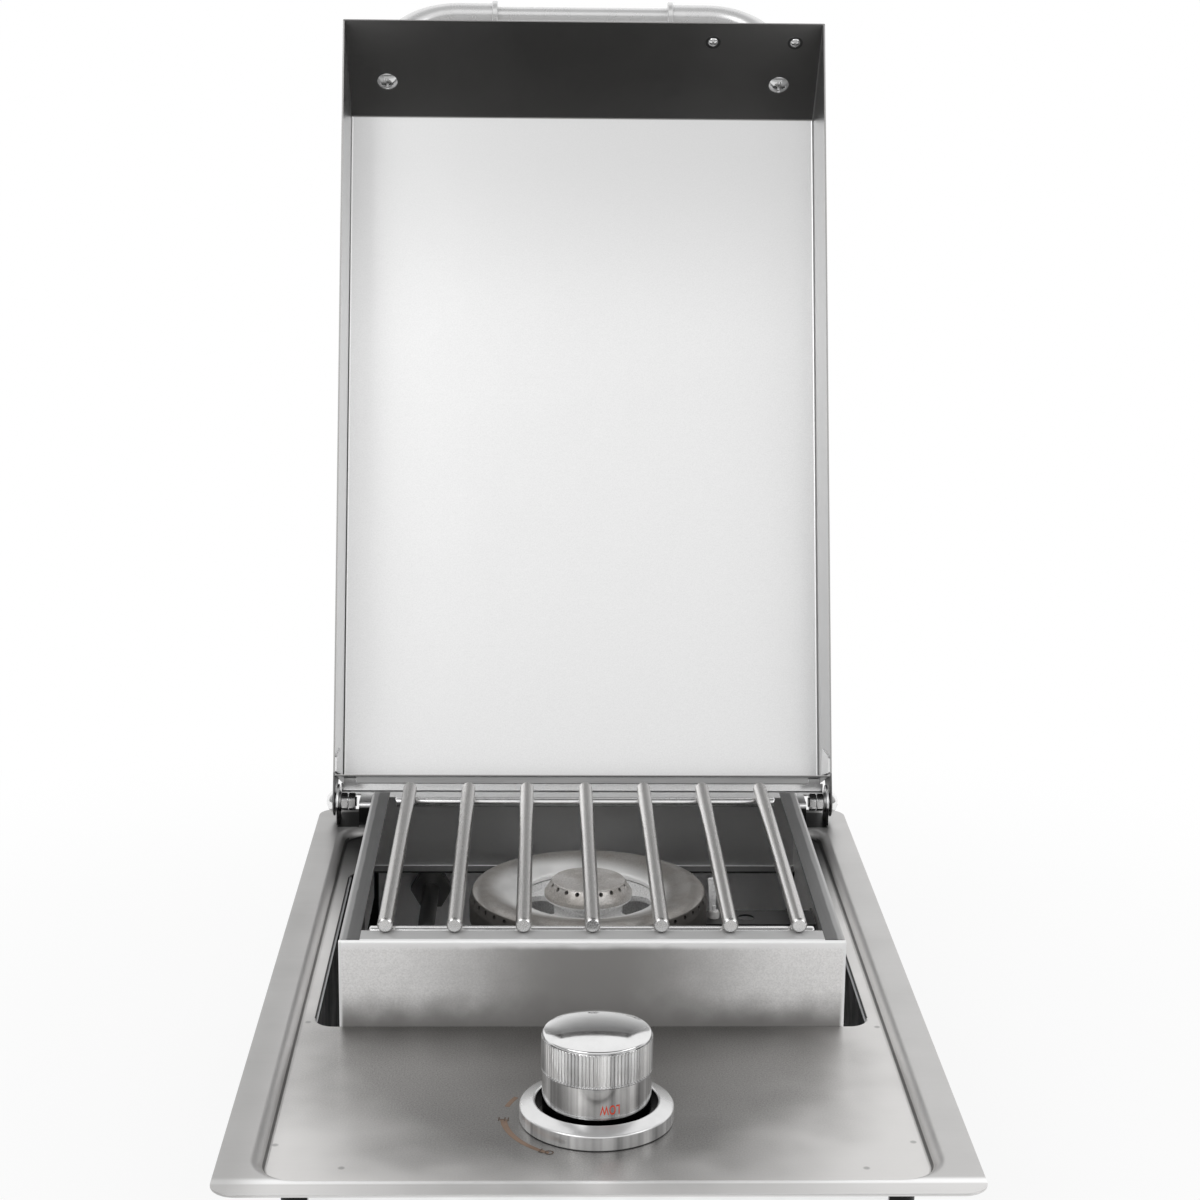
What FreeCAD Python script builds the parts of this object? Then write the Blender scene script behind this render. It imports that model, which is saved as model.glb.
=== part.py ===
import FreeCAD, Part

import math
import os

import Sketcher

# A drop-in gas side burner for an outdoor kitchen, shown with its lid open.
# Frame: +X to the user's right, +Y to the back, +Z up. The origin is on the underside of
# the tray's flange, in the middle of its front strip, which rests on the counter.
# All lengths are in millimetres and all angles in degrees.

SIZES = [
    # tray
    ("tray_width", 337.0, "outer width of the drop-in flange"),
    ("tray_depth", 533.0, "outer depth of the drop-in flange"),
    ("tray_sheet", 1.2, "sheet thickness of the tray"),
    ("tray_corner", 12.0, "corner radius of the flange"),
    ("rest_strip", 6.0, "front edge of the flange to the origin"),
    ("rim_side", 18.1, "flange edge to the recess wall at the sides"),
    ("rim_front", 15.6, "flange edge to the recess wall in front"),
    ("rim_rear", 37.0, "flange edge to the recess wall at the back"),
    ("recess_drop", 5.0, "depth of the pressed recess"),
    ("recess_slope", 28.0, "lean of the recess wall from upright"),
    ("recess_corner", 20.0, "corner radius of the recess"),
    ("recess_wall", 2.5, "width of the pressed wall under the rim"),
    ("shoulder_radius", 6.5, "soft bend from the rim into the recess"),
    ("foot_radius", 1.4, "bend at the foot of the recess wall"),
    ("slot_width", 13.0, "air slot between the burner box and the tray"),
    ("cutout_corner", 10.0, "corner radius of the tray's cut-out"),
    ("ledge_depth", 11.5, "tray ledge in front of the box's rear wall"),
    ("valve_hole", 30.0, "diameter of the hole for the valve"),
    # burner box
    ("box_width", 256.0, "width of the raised burner box"),
    ("box_depth", 246.0, "depth of the raised burner box"),
    ("box_front", 186.5, "origin to the front of the box"),
    ("box_top", 42.8, "top of the box above the origin"),
    ("box_drop", 20.0, "reach of the box walls below the origin"),
    ("box_sheet", 1.0, "sheet thickness of the box"),
    ("bend_inner", 1.2, "inner radius of every folded edge"),
    ("front_lip", 13.4, "folded top strip of the front wall"),
    ("rear_lip", 10.0, "folded top strip of the rear wall"),
    ("side_lip", 10.6, "folded top strip of a side wall"),
    # housing under the tray
    ("housing_width", 282.0, "outer width of the housing"),
    ("housing_front", 22.0, "origin to the front of the housing"),
    ("housing_depth", 454.0, "outer depth of the housing"),
    ("housing_height", 105.0, "depth of the housing under the tray"),
    ("housing_sheet", 1.0, "sheet thickness of the housing"),
    ("housing_corner", 8.0, "corner radius of the housing"),
    ("housing_flange", 5.5, "welding flange round the housing's mouth"),
    ("vent_length", 60.0, "length of an air vent in the housing"),
    ("vent_width", 8.0, "width of an air vent"),
    ("vent_pitch", 20.0, "spacing of the air vents"),
    ("vent_count", 4.0, "vents in a row"),
    # hinge
    ("hinge_inset", 22.0, "flange's rear edge to the lid's hinge axis"),
    ("hinge_z", 13.2, "height of the hinge axis"),
    ("bracket_sheet", 1.2, "sheet thickness of the hinge bracket"),
    ("bracket_front", 11.0, "hinge axis to the bracket's front face"),
    ("bracket_rise", 14.6, "height of the bracket's step above the flange"),
    ("bracket_step", 25.0, "depth of the bracket's step"),
    ("bracket_lip", 5.0, "height of the bracket's rear lip"),
    ("ear_radius", 11.0, "radius of an ear about the hinge axis"),
    ("nut_notch", 13.0, "width of the bracket's notch round the nuts"),
    ("nut_room", 8.0, "hinge axis to the back of the notch"),
    ("tab_width", 7.8, "width of a lid stop tab"),
    ("tab_inset", 1.7, "ear to the lid stop tab"),
    ("bolt_radius", 3.0, "radius of a hinge bolt"),
    ("bolt_play", 0.06, "running clearance round a hinge bolt"),
    ("bolt_head", 7.2, "radius of a hinge bolt's domed head"),
    ("bolt_dome", 4.2, "height of the domed head"),
    ("nut_flats", 10.0, "width across a hinge nut's flats"),
    ("nut_height", 4.4, "height of a hinge nut"),
    ("hinge_washer", 6.2, "outer radius of a hinge washer"),
    ("washer_height", 1.2, "thickness of a hinge washer"),
    ("nut_gap", 0.3, "clearance between a hinge nut and its lock nut"),
    ("side_gap", 0.3, "side clearance of the lid at the hinge"),
    # lid
    ("lid_width", 316.4, "outer width of the lid"),
    ("lid_sheet", 1.0, "sheet thickness of the lid"),
    ("lid_rear", 15.8, "hinge axis to the lid's rear skirt"),
    ("lid_fold", 465.8, "hinge axis to the fold of the sloped front"),
    ("lid_front", 510.2, "hinge axis to the free edge of the sloped front"),
    ("lid_height", 58.0, "hinge axis to the outside of the lid's panel"),
    ("lid_edge", 7.5, "hinge axis to the lid's free edges"),
    ("lid_bend", 2.6, "outer radius of the lid's folds"),
    ("lid_tilt", 19.0, "lean of the open lid behind upright"),
    ("arm_radius", 9.0, "radius of the lid's arm round the bolt"),
    ("arm_foot", 26.0, "reach of the arm's rear edge"),
    ("corner_tab", 17.0, "length of a folded corner tab in the lid"),
    ("corner_tab_width", 34.0, "width of a folded corner tab"),
    # handle
    ("handle_inset", 26.7, "lid's side to the handle's screw"),
    ("handle_seat", 29.5, "fold to the handle's screws along the sloped front"),
    ("handle_reach", 74.0, "sloped front to the handle's centre line"),
    ("handle_bend", 46.0, "bend radius of the handle's centre line"),
    ("handle_radius", 8.0, "radius of the handle's ends"),
    ("grip_radius", 5.7, "radius of the handle's middle"),
    ("grip_length", 121.0, "length of the handle's middle"),
    ("collar_radius", 9.8, "radius of a handle collar"),
    ("collar_width", 3.6, "width of a handle collar"),
    ("handle_washer", 10.0, "radius of the washer under a handle's foot"),
    ("handle_washer_height", 2.0, "thickness of the washer under a handle's foot"),
    ("handle_screw", 2.5, "radius of a handle screw"),
    ("handle_screw_head", 6.8, "radius of a handle screw's head"),
    ("handle_screw_dome", 2.8, "height of a handle screw's head"),
    ("handle_screw_length", 20.0, "reach of a handle screw into the handle"),
    ("plate_screw_inset", 45.7, "lid's side to the middle of the small screws"),
    ("plate_screw_gap", 54.4, "spacing of the two small screws"),
    ("plate_screw_seat", 64.2, "fold to the small screws along the sloped front"),
    ("plate_screw", 1.5, "radius of a small screw"),
    ("plate_screw_head", 3.6, "radius of a small screw's head"),
    ("plate_screw_height", 2.0, "height of a small screw's head"),
    # grate
    ("bar_count", 7.0, "bars of the grate"),
    ("bar_pitch", 35.0, "spacing of the bars"),
    ("bar_radius", 4.0, "radius of a bar"),
    ("bar_length", 231.0, "length of a bar"),
    ("bar_chamfer", 0.8, "chamfer of a bar's ends"),
    ("bar_front", 195.0, "origin to the front ends of the bars"),
    ("cross_radius", 3.0, "radius of a cross rod"),
    ("cross_length", 228.0, "length of a cross rod"),
    ("cross_inset", 3.4, "cross rod's centre line inside the box's lip"),
    ("weld_sink", 0.6, "how far the bars are welded into the cross rods"),
    ("grate_gap", 0.3, "clearance under the loose grate"),
    # burner
    ("burner_y", 309.0, "origin to the burner's axis"),
    ("ring_radius", 66.0, "outer radius of the burner ring"),
    ("ring_skirt", 9.5, "bottom of the ring's skirt above the origin"),
    ("ring_rim", 25.0, "height of the ring's rim"),
    ("ring_crest", 29.3, "height of the ring's crest"),
    ("ring_crest_radius", 54.0, "radius of the ring's crest"),
    ("ring_inner", 37.4, "radius of the ring's opening"),
    ("ring_lip", 22.0, "height of the ring's inner edge"),
    ("ring_wall", 2.4, "wall thickness of the ring"),
    ("ring_dome", 17.0, "radius of the ring's curve from rim to crest"),
    ("ring_dip", 21.0, "radius of the ring's curve from crest to opening"),
    ("ring_ledge", 2.2, "width of the ledge that the ring stands on"),
    ("ring_overlap", 4.0, "how far the ring's skirt hangs over the bowl"),
    ("ring_ports", 48.0, "ports round the ring's skirt"),
    ("ring_port", 1.2, "radius of a ring port"),
    ("ring_port_z", 20.2, "height of the ring ports"),
    ("cap_radius", 24.4, "radius of the centre cap's foot"),
    ("cap_top", 19.9, "radius of the centre cap's top"),
    ("cap_foot", 22.6, "height of the centre cap's foot"),
    ("cap_edge", 2.0, "height of the cap's upright edge"),
    ("cap_slope", 31.2, "height of the edge of the cap's top"),
    ("cap_crown", 32.2, "height of the cap's middle"),
    ("cap_wall", 2.2, "wall thickness of the cap"),
    ("cap_ports", 20.0, "ports round the cap"),
    ("cap_port", 1.15, "radius of a cap port"),
    ("dish_top", 15.5, "height of the bright dish inside the ring"),
    ("dish_rim", 19.0, "height of the dish's raised rim"),
    ("dish_rim_lean", 1.2, "lean of the dish's raised rim"),
    ("dish_sheet", 3.0, "thickness of the dish"),
    ("hub_radius", 21.0, "radius of the bowl's hub"),
    ("hub_bottom", 46.0, "reach of the hub's stem below the origin"),
    ("stem_pipe", 14.0, "outer radius of the hub's stem"),
    ("hub_wall", 3.0, "wall of the hub"),
    ("channel_inner", 38.5, "inner radius of the gas channel's wall"),
    ("channel_outer", 63.0, "outer radius of the gas channel's wall"),
    ("channel_wall", 2.6, "wall of the gas channel"),
    ("channel_floor", 13.8, "underside of the gas channel below the origin"),
    ("kidney_inner", 25.0, "inner radius of a kidney opening"),
    ("kidney_outer", 35.8, "outer radius of a kidney opening"),
    ("kidney_angle", 48.0, "angle between the ends of a kidney opening's round corners"),
    ("kidney_count", 4.0, "kidney openings round the dish"),
    ("lift_gap", 0.3, "clearance under a loose burner part"),
    ("strap_width", 40.0, "width of the strap that carries the burner"),
    ("strap_sheet", 1.2, "thickness of the strap"),
    ("strap_foot", 22.0, "height of the strap's upturned ends"),
    ("burner_screw_x", 50.0, "burner's axis to a burner screw"),
    ("burner_screw", 2.0, "radius of a burner screw"),
    # gas train
    ("gas_z", 32.0, "gas line's axis below the origin"),
    ("mixer_mouth", 12.0, "radius of the mixing tube's mouth"),
    ("mixer_throat", 8.0, "radius of the mixing tube's throat"),
    ("mixer_tube", 10.0, "outer radius of the mixing tube"),
    ("mixer_wall", 1.0, "wall of the mixing tube"),
    ("mixer_start", 134.0, "origin to the mixing tube's mouth"),
    ("mixer_sink", 4.0, "reach of the mixing tube into the hub"),
    ("valve_y", 80.9, "origin to the knob's axis"),
    ("valve_radius", 13.0, "radius of the valve's barrel"),
    ("valve_bottom", 52.0, "bottom of the valve below the origin"),
    ("valve_bore", 7.05, "bore of the valve's barrel"),
    ("valve_floor", 47.0, "bottom of the valve's bore below the origin"),
    ("valve_flange", 3.0, "thickness of the valve's flange"),
    ("valve_flange_width", 46.0, "width of the valve's flange"),
    ("valve_screw_x", 18.0, "knob's axis to a valve screw"),
    ("valve_screw", 2.0, "radius of a valve screw"),
    ("outlet_radius", 7.0, "radius of the valve's outlet"),
    ("outlet_length", 32.0, "knob's axis to the end of the outlet"),
    ("spud_radius", 4.6, "radius of the gas orifice"),
    ("spud_length", 12.0, "length of the gas orifice"),
    ("spud_bore", 0.7, "bore of the gas orifice"),
    ("plug_radius", 7.0, "radius of the turning plug"),
    ("plug_length", 30.0, "length of the turning plug"),
    ("plug_socket", 14.0, "depth of the stem's socket in the plug"),
    ("stem_radius", 4.0, "radius of the stem"),
    ("stem_flat", 3.0, "stem's axis to its flat"),
    ("stem_play", 0.05, "running clearance round the stem"),
    ("stem_bottom", 22.0, "bottom of the stem below the origin"),
    ("stem_top", 22.0, "top of the stem above the origin"),
    ("collar_rim", 6.3, "radius of the stem's spring collar"),
    ("spring_outer", 6.2, "outer radius of the return spring"),
    ("spring_inner", 4.6, "inner radius of the return spring"),
    ("collar_height", 1.6, "height of the stem's spring collar"),
    ("flat_start", 8.0, "start of the stem's flat above the origin"),
    ("pipe_radius", 5.0, "radius of the gas pipe"),
    ("pipe_x", 95.0, "middle of the part to the gas pipe"),
    ("pipe_bend", 25.0, "bend radius of the gas pipe"),
    ("pipe_start", 32.0, "knob's axis to the start of the gas pipe"),
    ("inlet_thread", 7.94, "radius of the gas inlet's thread"),
    ("inlet_length", 16.0, "how far the gas inlet stands out behind the housing"),
    ("inlet_relief", 2.0, "length of the plain neck between the housing and the gas inlet's thread"),
    ("inlet_neck", 7.2, "radius of that neck"),
    ("inlet_flats", 22.0, "width across the gas inlet's flats"),
    ("inlet_nut", 9.0, "length of the gas inlet's hexagon"),
    ("inlet_bore", 4.0, "bore of the gas inlet"),
    # ignition
    ("spark_x", 70.0, "burner's axis to the electrode"),
    ("spark_lean", 0.6, "how far the blade leans towards the ring"),
    ("spark_rod", 1.2, "radius of the electrode"),
    ("spark_top", 32.3, "top of the electrode's blade"),
    ("spark_blade", 6.0, "width of the electrode's blade at its top"),
    ("insulator_radius", 3.2, "radius of the electrode's insulator"),
    ("insulator_bottom", 12.0, "bottom of the insulator below the origin"),
    ("insulator_top", 14.0, "top of the insulator above the origin"),
    ("spark_plate", 8.0, "height of the electrode's bracket"),
    ("spark_plate_sheet", 1.0, "thickness of the electrode's bracket"),
    ("spark_fold", 8.0, "height of the bracket's fold against the box"),
    ("spark_window", 4.5, "radius of the round window in the bracket"),
    ("spark_window_x", 18.0, "electrode to the window in the bracket"),
    ("igniter_width", 20.0, "width of the igniter"),
    ("igniter_height", 34.0, "height of the igniter"),
    ("lead_radius", 1.6, "radius of the spark lead"),
    ("lead_bend", 14.0, "bend radius of the spark lead"),
    # knob
    ("knob_radius", 25.8, "radius of the knob"),
    ("knob_bottom", 1.2, "bottom of the knob above the origin"),
    ("knob_height", 38.0, "height of the knob's side"),
    ("knob_band", 16.4, "height of the knurled band"),
    ("knob_step", 0.4, "how far the band stands proud of the skirt"),
    ("knob_crown", 1.2, "rise of the knob's polished top"),
    ("knob_edge", 1.6, "rounding of the knob's top edge"),
    ("knob_wall", 2.4, "wall of the knob"),
    ("knob_hub", 9.0, "radius of the knob's hub"),
    ("knob_hub_gap", 6.0, "hub's end above the knob's lower edge"),
    ("bezel_radius", 36.0, "outer radius of the bezel"),
    ("bezel_inner", 28.5, "inner radius of the bezel"),
    ("bezel_height", 7.5, "height of the bezel"),
    ("bezel_round", 2.2, "rounding of the bezel"),
]


class Size:
    """A number together with the sheet formula that gives it."""

    def __init__(self, number, formula):
        self.number = float(number)
        self.formula = formula

    def joined(self, sign, other, number):
        return Size(number, "(%s %s %s)" % (self.formula, sign, formula_of(other)))

    def __add__(self, other):
        return self.joined("+", other, self.number + number_of(other))

    def __sub__(self, other):
        return self.joined("-", other, self.number - number_of(other))

    def __mul__(self, other):
        return self.joined("*", other, self.number * number_of(other))

    def __truediv__(self, other):
        return self.joined("/", other, self.number / number_of(other))

    def __neg__(self):
        return Size(-self.number, "(0 - %s)" % self.formula)

    def __rmul__(self, other):
        return self * other


def wave(word, angle):
    """Cosine, sine or tangent of an angle in degrees, as a size."""
    ways = {"cos": math.cos, "sin": math.sin, "tan": math.tan}
    return Size(ways[word](math.radians(angle.number)), "%s(%s)" % (word, angle.formula))


def number_of(size):
    return size.number if isinstance(size, Size) else float(size)


def formula_of(size):
    return size.formula if isinstance(size, Size) else "(%r)" % float(size)


def plain(number):
    """A size that is the same whatever the sheet says, such as zero."""
    return Size(number, "(%r)" % float(number))


doc = FreeCAD.newDocument("side_burner")
sheet = doc.addObject("Spreadsheet::Sheet", "sizes")
S = {}
for row, (word, value, meaning) in enumerate(SIZES, start=1):
    sheet.set("A%d" % row, meaning)
    sheet.set("B%d" % row, repr(value))
    sheet.setAlias("B%d" % row, word)
    S[word] = Size(value, "sizes." + word)
doc.recompute()

NODES = []


def node(thing, label):
    """Name a finished piece; its label is also the name of its file."""
    thing.Label = label
    NODES.append(thing)
    return thing


def bind(thing, **sizes):
    for name, size in sizes.items():
        thing.setExpression(name, formula_of(size))


def move(thing, x=0, y=0, z=0, axis=None, angle=0):
    """Place a piece, turned about one axis by a fixed number of degrees."""
    if axis:
        thing.Placement.Rotation = FreeCAD.Rotation(FreeCAD.Vector(*axis), angle)
    for letter, size in (("x", x), ("y", y), ("z", z)):
        thing.setExpression("Placement.Base." + letter, formula_of(size))
    return thing


def block(name, x, y, z, length, width, height):
    made = doc.addObject("Part::Box", name)
    bind(made, Length=length, Width=width, Height=height)
    return move(made, x, y, z)


def rod(name, radius, height, x=0, y=0, z=0, axis=None, angle=0):
    made = doc.addObject("Part::Cylinder", name)
    bind(made, Radius=radius, Height=height)
    return move(made, x, y, z, axis, angle)


def fuse(name, *things):
    made = doc.addObject("Part::MultiFuse", name)
    made.Shapes = list(things)
    return made


def cut(name, base, tool):
    made = doc.addObject("Part::Cut", name)
    made.Base = base
    made.Tool = tool
    return made


def group(name, *things):
    """Several separate solids in one piece's file."""
    made = doc.addObject("Part::Compound", name)
    made.Links = list(things)
    return made


def body(name):
    return doc.addObject("PartDesign::Body", name)


def plane(owner, role):
    return [feature for feature in owner.Origin.OriginFeatures if feature.Role == role][0]


def arc_between(start, end, radius):
    """Arc from start to end; a positive radius turns left, a negative one right."""
    chord = end - start
    middle = (start + end) * 0.5
    side = FreeCAD.Vector(-chord.y, chord.x, 0)
    side.normalize()
    rise = math.sqrt(max(radius * radius - (chord.Length / 2) ** 2, 0.0))
    centre = middle + side * (rise if radius > 0 else -rise)
    circle = Part.Circle(centre, FreeCAD.Vector(0, 0, 1), abs(radius))
    first, last = (start, end) if radius > 0 else (end, start)
    angles = [math.atan2(point.y - centre.y, point.x - centre.x) for point in (first, last)]
    if angles[1] <= angles[0]:
        angles[1] += 2 * math.pi
    return Part.ArcOfCircle(circle, angles[0], angles[1])


def outline(owner, name, role, points, offset=None):
    """Closed sketch in one of the owner's origin planes. Each point ends an edge; a third
    value is the radius of the arc that reaches it, negative where it turns right."""
    drawn = owner.newObject("Sketcher::SketchObject", name)
    drawn.AttachmentSupport = [(plane(owner, role), "")]
    drawn.MapMode = "FlatFace"
    if offset is not None:
        drawn.setExpression("AttachmentOffset.Base.z", formula_of(offset))
    add_loop(drawn, points)
    return drawn


def add_loop(drawn, points):
    base = drawn.GeometryCount
    count = len(points)
    ends = []
    for index, point in enumerate(points):
        before = points[index - 1]
        start = FreeCAD.Vector(number_of(before[0]), number_of(before[1]), 0)
        end = FreeCAD.Vector(number_of(point[0]), number_of(point[1]), 0)
        if len(point) == 2:
            drawn.addGeometry(Part.LineSegment(start, end), False)
            ends.append((1, 2))
        else:
            turn = number_of(point[2])
            drawn.addGeometry(arc_between(start, end, turn), False)
            ends.append((1, 2) if turn > 0 else (2, 1))
    for index, point in enumerate(points):
        edge = base + index
        before = base + (index - 1) % count
        drawn.addConstraint(
            Sketcher.Constraint("Coincident", before, ends[index - 1][1], edge, ends[index][0]))
        for kind, size in (("DistanceX", point[0]), ("DistanceY", point[1])):
            made = drawn.addConstraint(
                Sketcher.Constraint(kind, -1, 1, edge, ends[index][1], number_of(size)))
            drawn.setExpression("Constraints[%d]" % made, formula_of(size))
        if len(point) == 3:
            bend = point[2] if number_of(point[2]) > 0 else -point[2]
            made = drawn.addConstraint(Sketcher.Constraint("Radius", edge, number_of(bend)))
            drawn.setExpression("Constraints[%d]" % made, formula_of(bend))


def ring_outline(owner, name, role, circles, offset=None):
    """Sketch of circles, each given as its centre and radius."""
    drawn = owner.newObject("Sketcher::SketchObject", name)
    drawn.AttachmentSupport = [(plane(owner, role), "")]
    drawn.MapMode = "FlatFace"
    if offset is not None:
        drawn.setExpression("AttachmentOffset.Base.z", formula_of(offset))
    for across, along, radius in circles:
        centre = FreeCAD.Vector(number_of(across), number_of(along), 0)
        made = drawn.addGeometry(
            Part.Circle(centre, FreeCAD.Vector(0, 0, 1), number_of(radius)), False)
        rules = (
            (Sketcher.Constraint("Radius", made, number_of(radius)), radius),
            (Sketcher.Constraint("DistanceX", -1, 1, made, 3, number_of(across)), across),
            (Sketcher.Constraint("DistanceY", -1, 1, made, 3, number_of(along)), along),
        )
        for rule, size in rules:
            index = drawn.addConstraint(rule)
            drawn.setExpression("Constraints[%d]" % index, formula_of(size))
    return drawn


def rounded(low_x, high_x, low_y, high_y, corner):
    """Corner points of a rectangle with rounded corners."""
    return [
        (high_x - corner, low_y),
        (high_x, low_y + corner, corner),
        (high_x, high_y - corner),
        (high_x - corner, high_y, corner),
        (low_x + corner, high_y),
        (low_x, high_y - corner, corner),
        (low_x, low_y + corner),
        (low_x + corner, low_y, corner),
    ]


def folded(path, sheet_size, side):
    """Outline of a folded sheet that follows a path of square bends. The path is one face of
    the sheet, and the sheet lies on its left (side 1) or right (side -1)."""
    inner = S["bend_inner"]
    outer = inner + sheet_size
    near = [path[0]]
    steps = []
    for before, after in zip(path, path[1:]):
        across = number_of(after[0]) - number_of(before[0])
        along = number_of(after[1]) - number_of(before[1])
        length = math.hypot(across, along)
        steps.append((across / length, along / length))
    normals = [(-side * step[1], side * step[0]) for step in steps]
    far = [(path[0][0] + sheet_size * normals[0][0], path[0][1] + sheet_size * normals[0][1])]
    for index in range(1, len(path) - 1):
        corner = path[index]
        step, after = steps[index - 1], steps[index]
        left = step[0] * after[1] - step[1] * after[0] > 0
        turn = 1 if left else -1
        inside = turn == side
        near_bend = outer if inside else inner
        far_bend = inner if inside else outer
        shift = [sheet_size * (normals[index - 1][axis] + normals[index][axis]) for axis in (0, 1)]
        far_corner = (corner[0] + shift[0], corner[1] + shift[1])
        for points, place, bend in ((near, corner, near_bend), (far, far_corner, far_bend)):
            points.append((place[0] - bend * step[0], place[1] - bend * step[1]))
            points.append((place[0] + bend * after[0], place[1] + bend * after[1], bend * turn))
    near.append(path[-1])
    last = normals[-1]
    far.append((path[-1][0] + sheet_size * last[0], path[-1][1] + sheet_size * last[1]))
    points = [near[0]] + near[1:]
    back = far[::-1]
    # an arc belongs to the edge that reaches its point, so arcs move one point back here
    bends = [point[2] if len(point) == 3 else None for point in far]
    for index, point in enumerate(back):
        source = len(far) - index
        bend = bends[source] if source < len(far) else None
        points.append((point[0], point[1]) if bend is None else (point[0], point[1], -bend))
    return points


def pad(owner, profile, length, reverse=False, midplane=False, taper=None):
    made = owner.newObject("PartDesign::Pad", profile.Name + "_pad")
    made.Profile = profile
    bind(made, Length=length)
    made.Reversed = reverse
    made.Midplane = midplane
    if taper is not None:
        bind(made, TaperAngle=taper)
    profile.Visibility = False
    return made


def pocket(owner, profile, length=None, reverse=False, midplane=False, taper=None):
    made = owner.newObject("PartDesign::Pocket", profile.Name + "_cut")
    made.Profile = profile
    if length is None:
        made.Type = "ThroughAll"
    else:
        bind(made, Length=length)
    made.Reversed = reverse
    made.Midplane = midplane
    if taper is not None:
        bind(made, TaperAngle=taper)
    profile.Visibility = False
    return made


def revolve(owner, profile):
    made = owner.newObject("PartDesign::Revolution", profile.Name + "_turned")
    made.Profile = (profile, [""])
    made.ReferenceAxis = (profile, ["V_Axis"])
    made.Angle = 360
    return made


def repeat_round(owner, feature, count):
    made = owner.newObject("PartDesign::PolarPattern", feature.Name + "_round")
    made.Originals = [feature]
    made.Axis = (plane(owner, "Z_Axis"), [""])
    made.Angle = 360
    bind(made, Occurrences=count)
    owner.Tip = made
    return made


def edge_names(shape, wanted):
    """Names of the edges whose middle point passes the test."""
    names = []
    for index, edge in enumerate(shape.Edges, start=1):
        middle = edge.valueAt((edge.FirstParameter + edge.LastParameter) / 2)
        if wanted(middle, edge):
            names.append("Edge%d" % index)
    return names


def soften(owner, name, base, wanted, radius):
    doc.recompute()
    made = owner.newObject("PartDesign::Fillet", name)
    made.Base = (base, edge_names(base.Shape, wanted))
    bind(made, Radius=radius)
    return made


def close_to(first, second, reach=0.01):
    return abs(first - number_of(second)) < reach


def hexagon(name, flats, height, x=0, y=0, z=0, axis=None, angle=0):
    made = doc.addObject("Part::Prism", name)
    made.Polygon = 6
    bind(made, Circumradius=flats / math.sqrt(3.0), Height=height)
    return move(made, x, y, z, axis, angle)


TO_RIGHT = (0, 1, 0)
TO_BACK = (1, 0, 0)

TRAY_TOP = S["tray_sheet"]
PANEL_TOP = S["tray_sheet"] - S["recess_drop"]
PANEL_UNDER = -S["recess_drop"]
TRAY_FRONT = -S["rest_strip"]
TRAY_BACK = S["tray_depth"] - S["rest_strip"]
HINGE_Y = TRAY_BACK - S["hinge_inset"]
BOX_HALF = S["box_width"] / 2
BOX_BACK = S["box_front"] + S["box_depth"]
CUTOUT_HALF = BOX_HALF + S["slot_width"]
LID_HALF = S["lid_width"] / 2
ARM_INNER = LID_HALF - S["lid_sheet"]
EAR_OUTER = ARM_INNER - S["side_gap"] - S["washer_height"]
EAR_INNER = EAR_OUTER - S["bracket_sheet"]
HANDLE_X = LID_HALF - S["handle_inset"]
PLATE_SCREW_X = LID_HALF - S["plate_screw_inset"]


def make_tray():
    """Pressed stainless tray: flat rim, soft shoulder, recessed panel and burner cut-out."""
    owner = body("tray_body")
    half = S["tray_width"] / 2
    rim = rounded(-half, half, TRAY_FRONT, TRAY_BACK, S["tray_corner"])
    pad(owner, outline(owner, "rim", "XY_Plane", rim), S["tray_sheet"])
    side = half - S["rim_side"]
    front = TRAY_FRONT + S["rim_front"]
    back = TRAY_BACK - S["rim_rear"]
    wall = S["recess_wall"]
    under = rounded(-side - wall, side + wall, front - wall, back + wall, S["recess_corner"] + wall)
    pad(owner, outline(owner, "recess_back", "XY_Plane", under), S["recess_drop"],
        reverse=True, taper=-S["recess_slope"])
    inside = rounded(-side, side, front, back, S["recess_corner"])
    hollow = pocket(owner, outline(owner, "recess", "XY_Plane", inside, S["tray_sheet"]),
                    S["recess_drop"], taper=-S["recess_slope"])
    reach = number_of(side) + 1
    nearest = number_of(front) - 1
    farthest = number_of(back) + 1

    def on_shoulder(middle, edge):
        across = close_to(middle.z, TRAY_TOP) and abs(middle.x) < reach
        return across and nearest < middle.y < farthest

    def on_foot(middle, edge):
        return close_to(middle.z, PANEL_TOP)

    shoulder = soften(owner, "shoulder", hollow, on_shoulder, S["shoulder_radius"])
    soften(owner, "foot", shoulder, on_foot, S["foot_radius"])
    ledge = BOX_BACK - S["ledge_depth"]
    opening = rounded(-CUTOUT_HALF, CUTOUT_HALF, S["box_front"], ledge, S["cutout_corner"])
    pocket(owner, outline(owner, "burner_opening", "XY_Plane", opening, S["tray_sheet"]))
    holes = [(plain(0), S["valve_y"], S["valve_hole"] / 2)]
    pocket(owner, ring_outline(owner, "valve_opening", "XY_Plane", holes, S["tray_sheet"]))
    screw = S["valve_screw"] + S["bolt_play"]
    holes = [(S["valve_screw_x"] * side_sign, S["valve_y"], screw) for side_sign in (-1, 1)]
    pocket(owner, ring_outline(owner, "valve_screw_holes", "XY_Plane", holes, S["tray_sheet"]))
    return node(owner, "tray")


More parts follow.
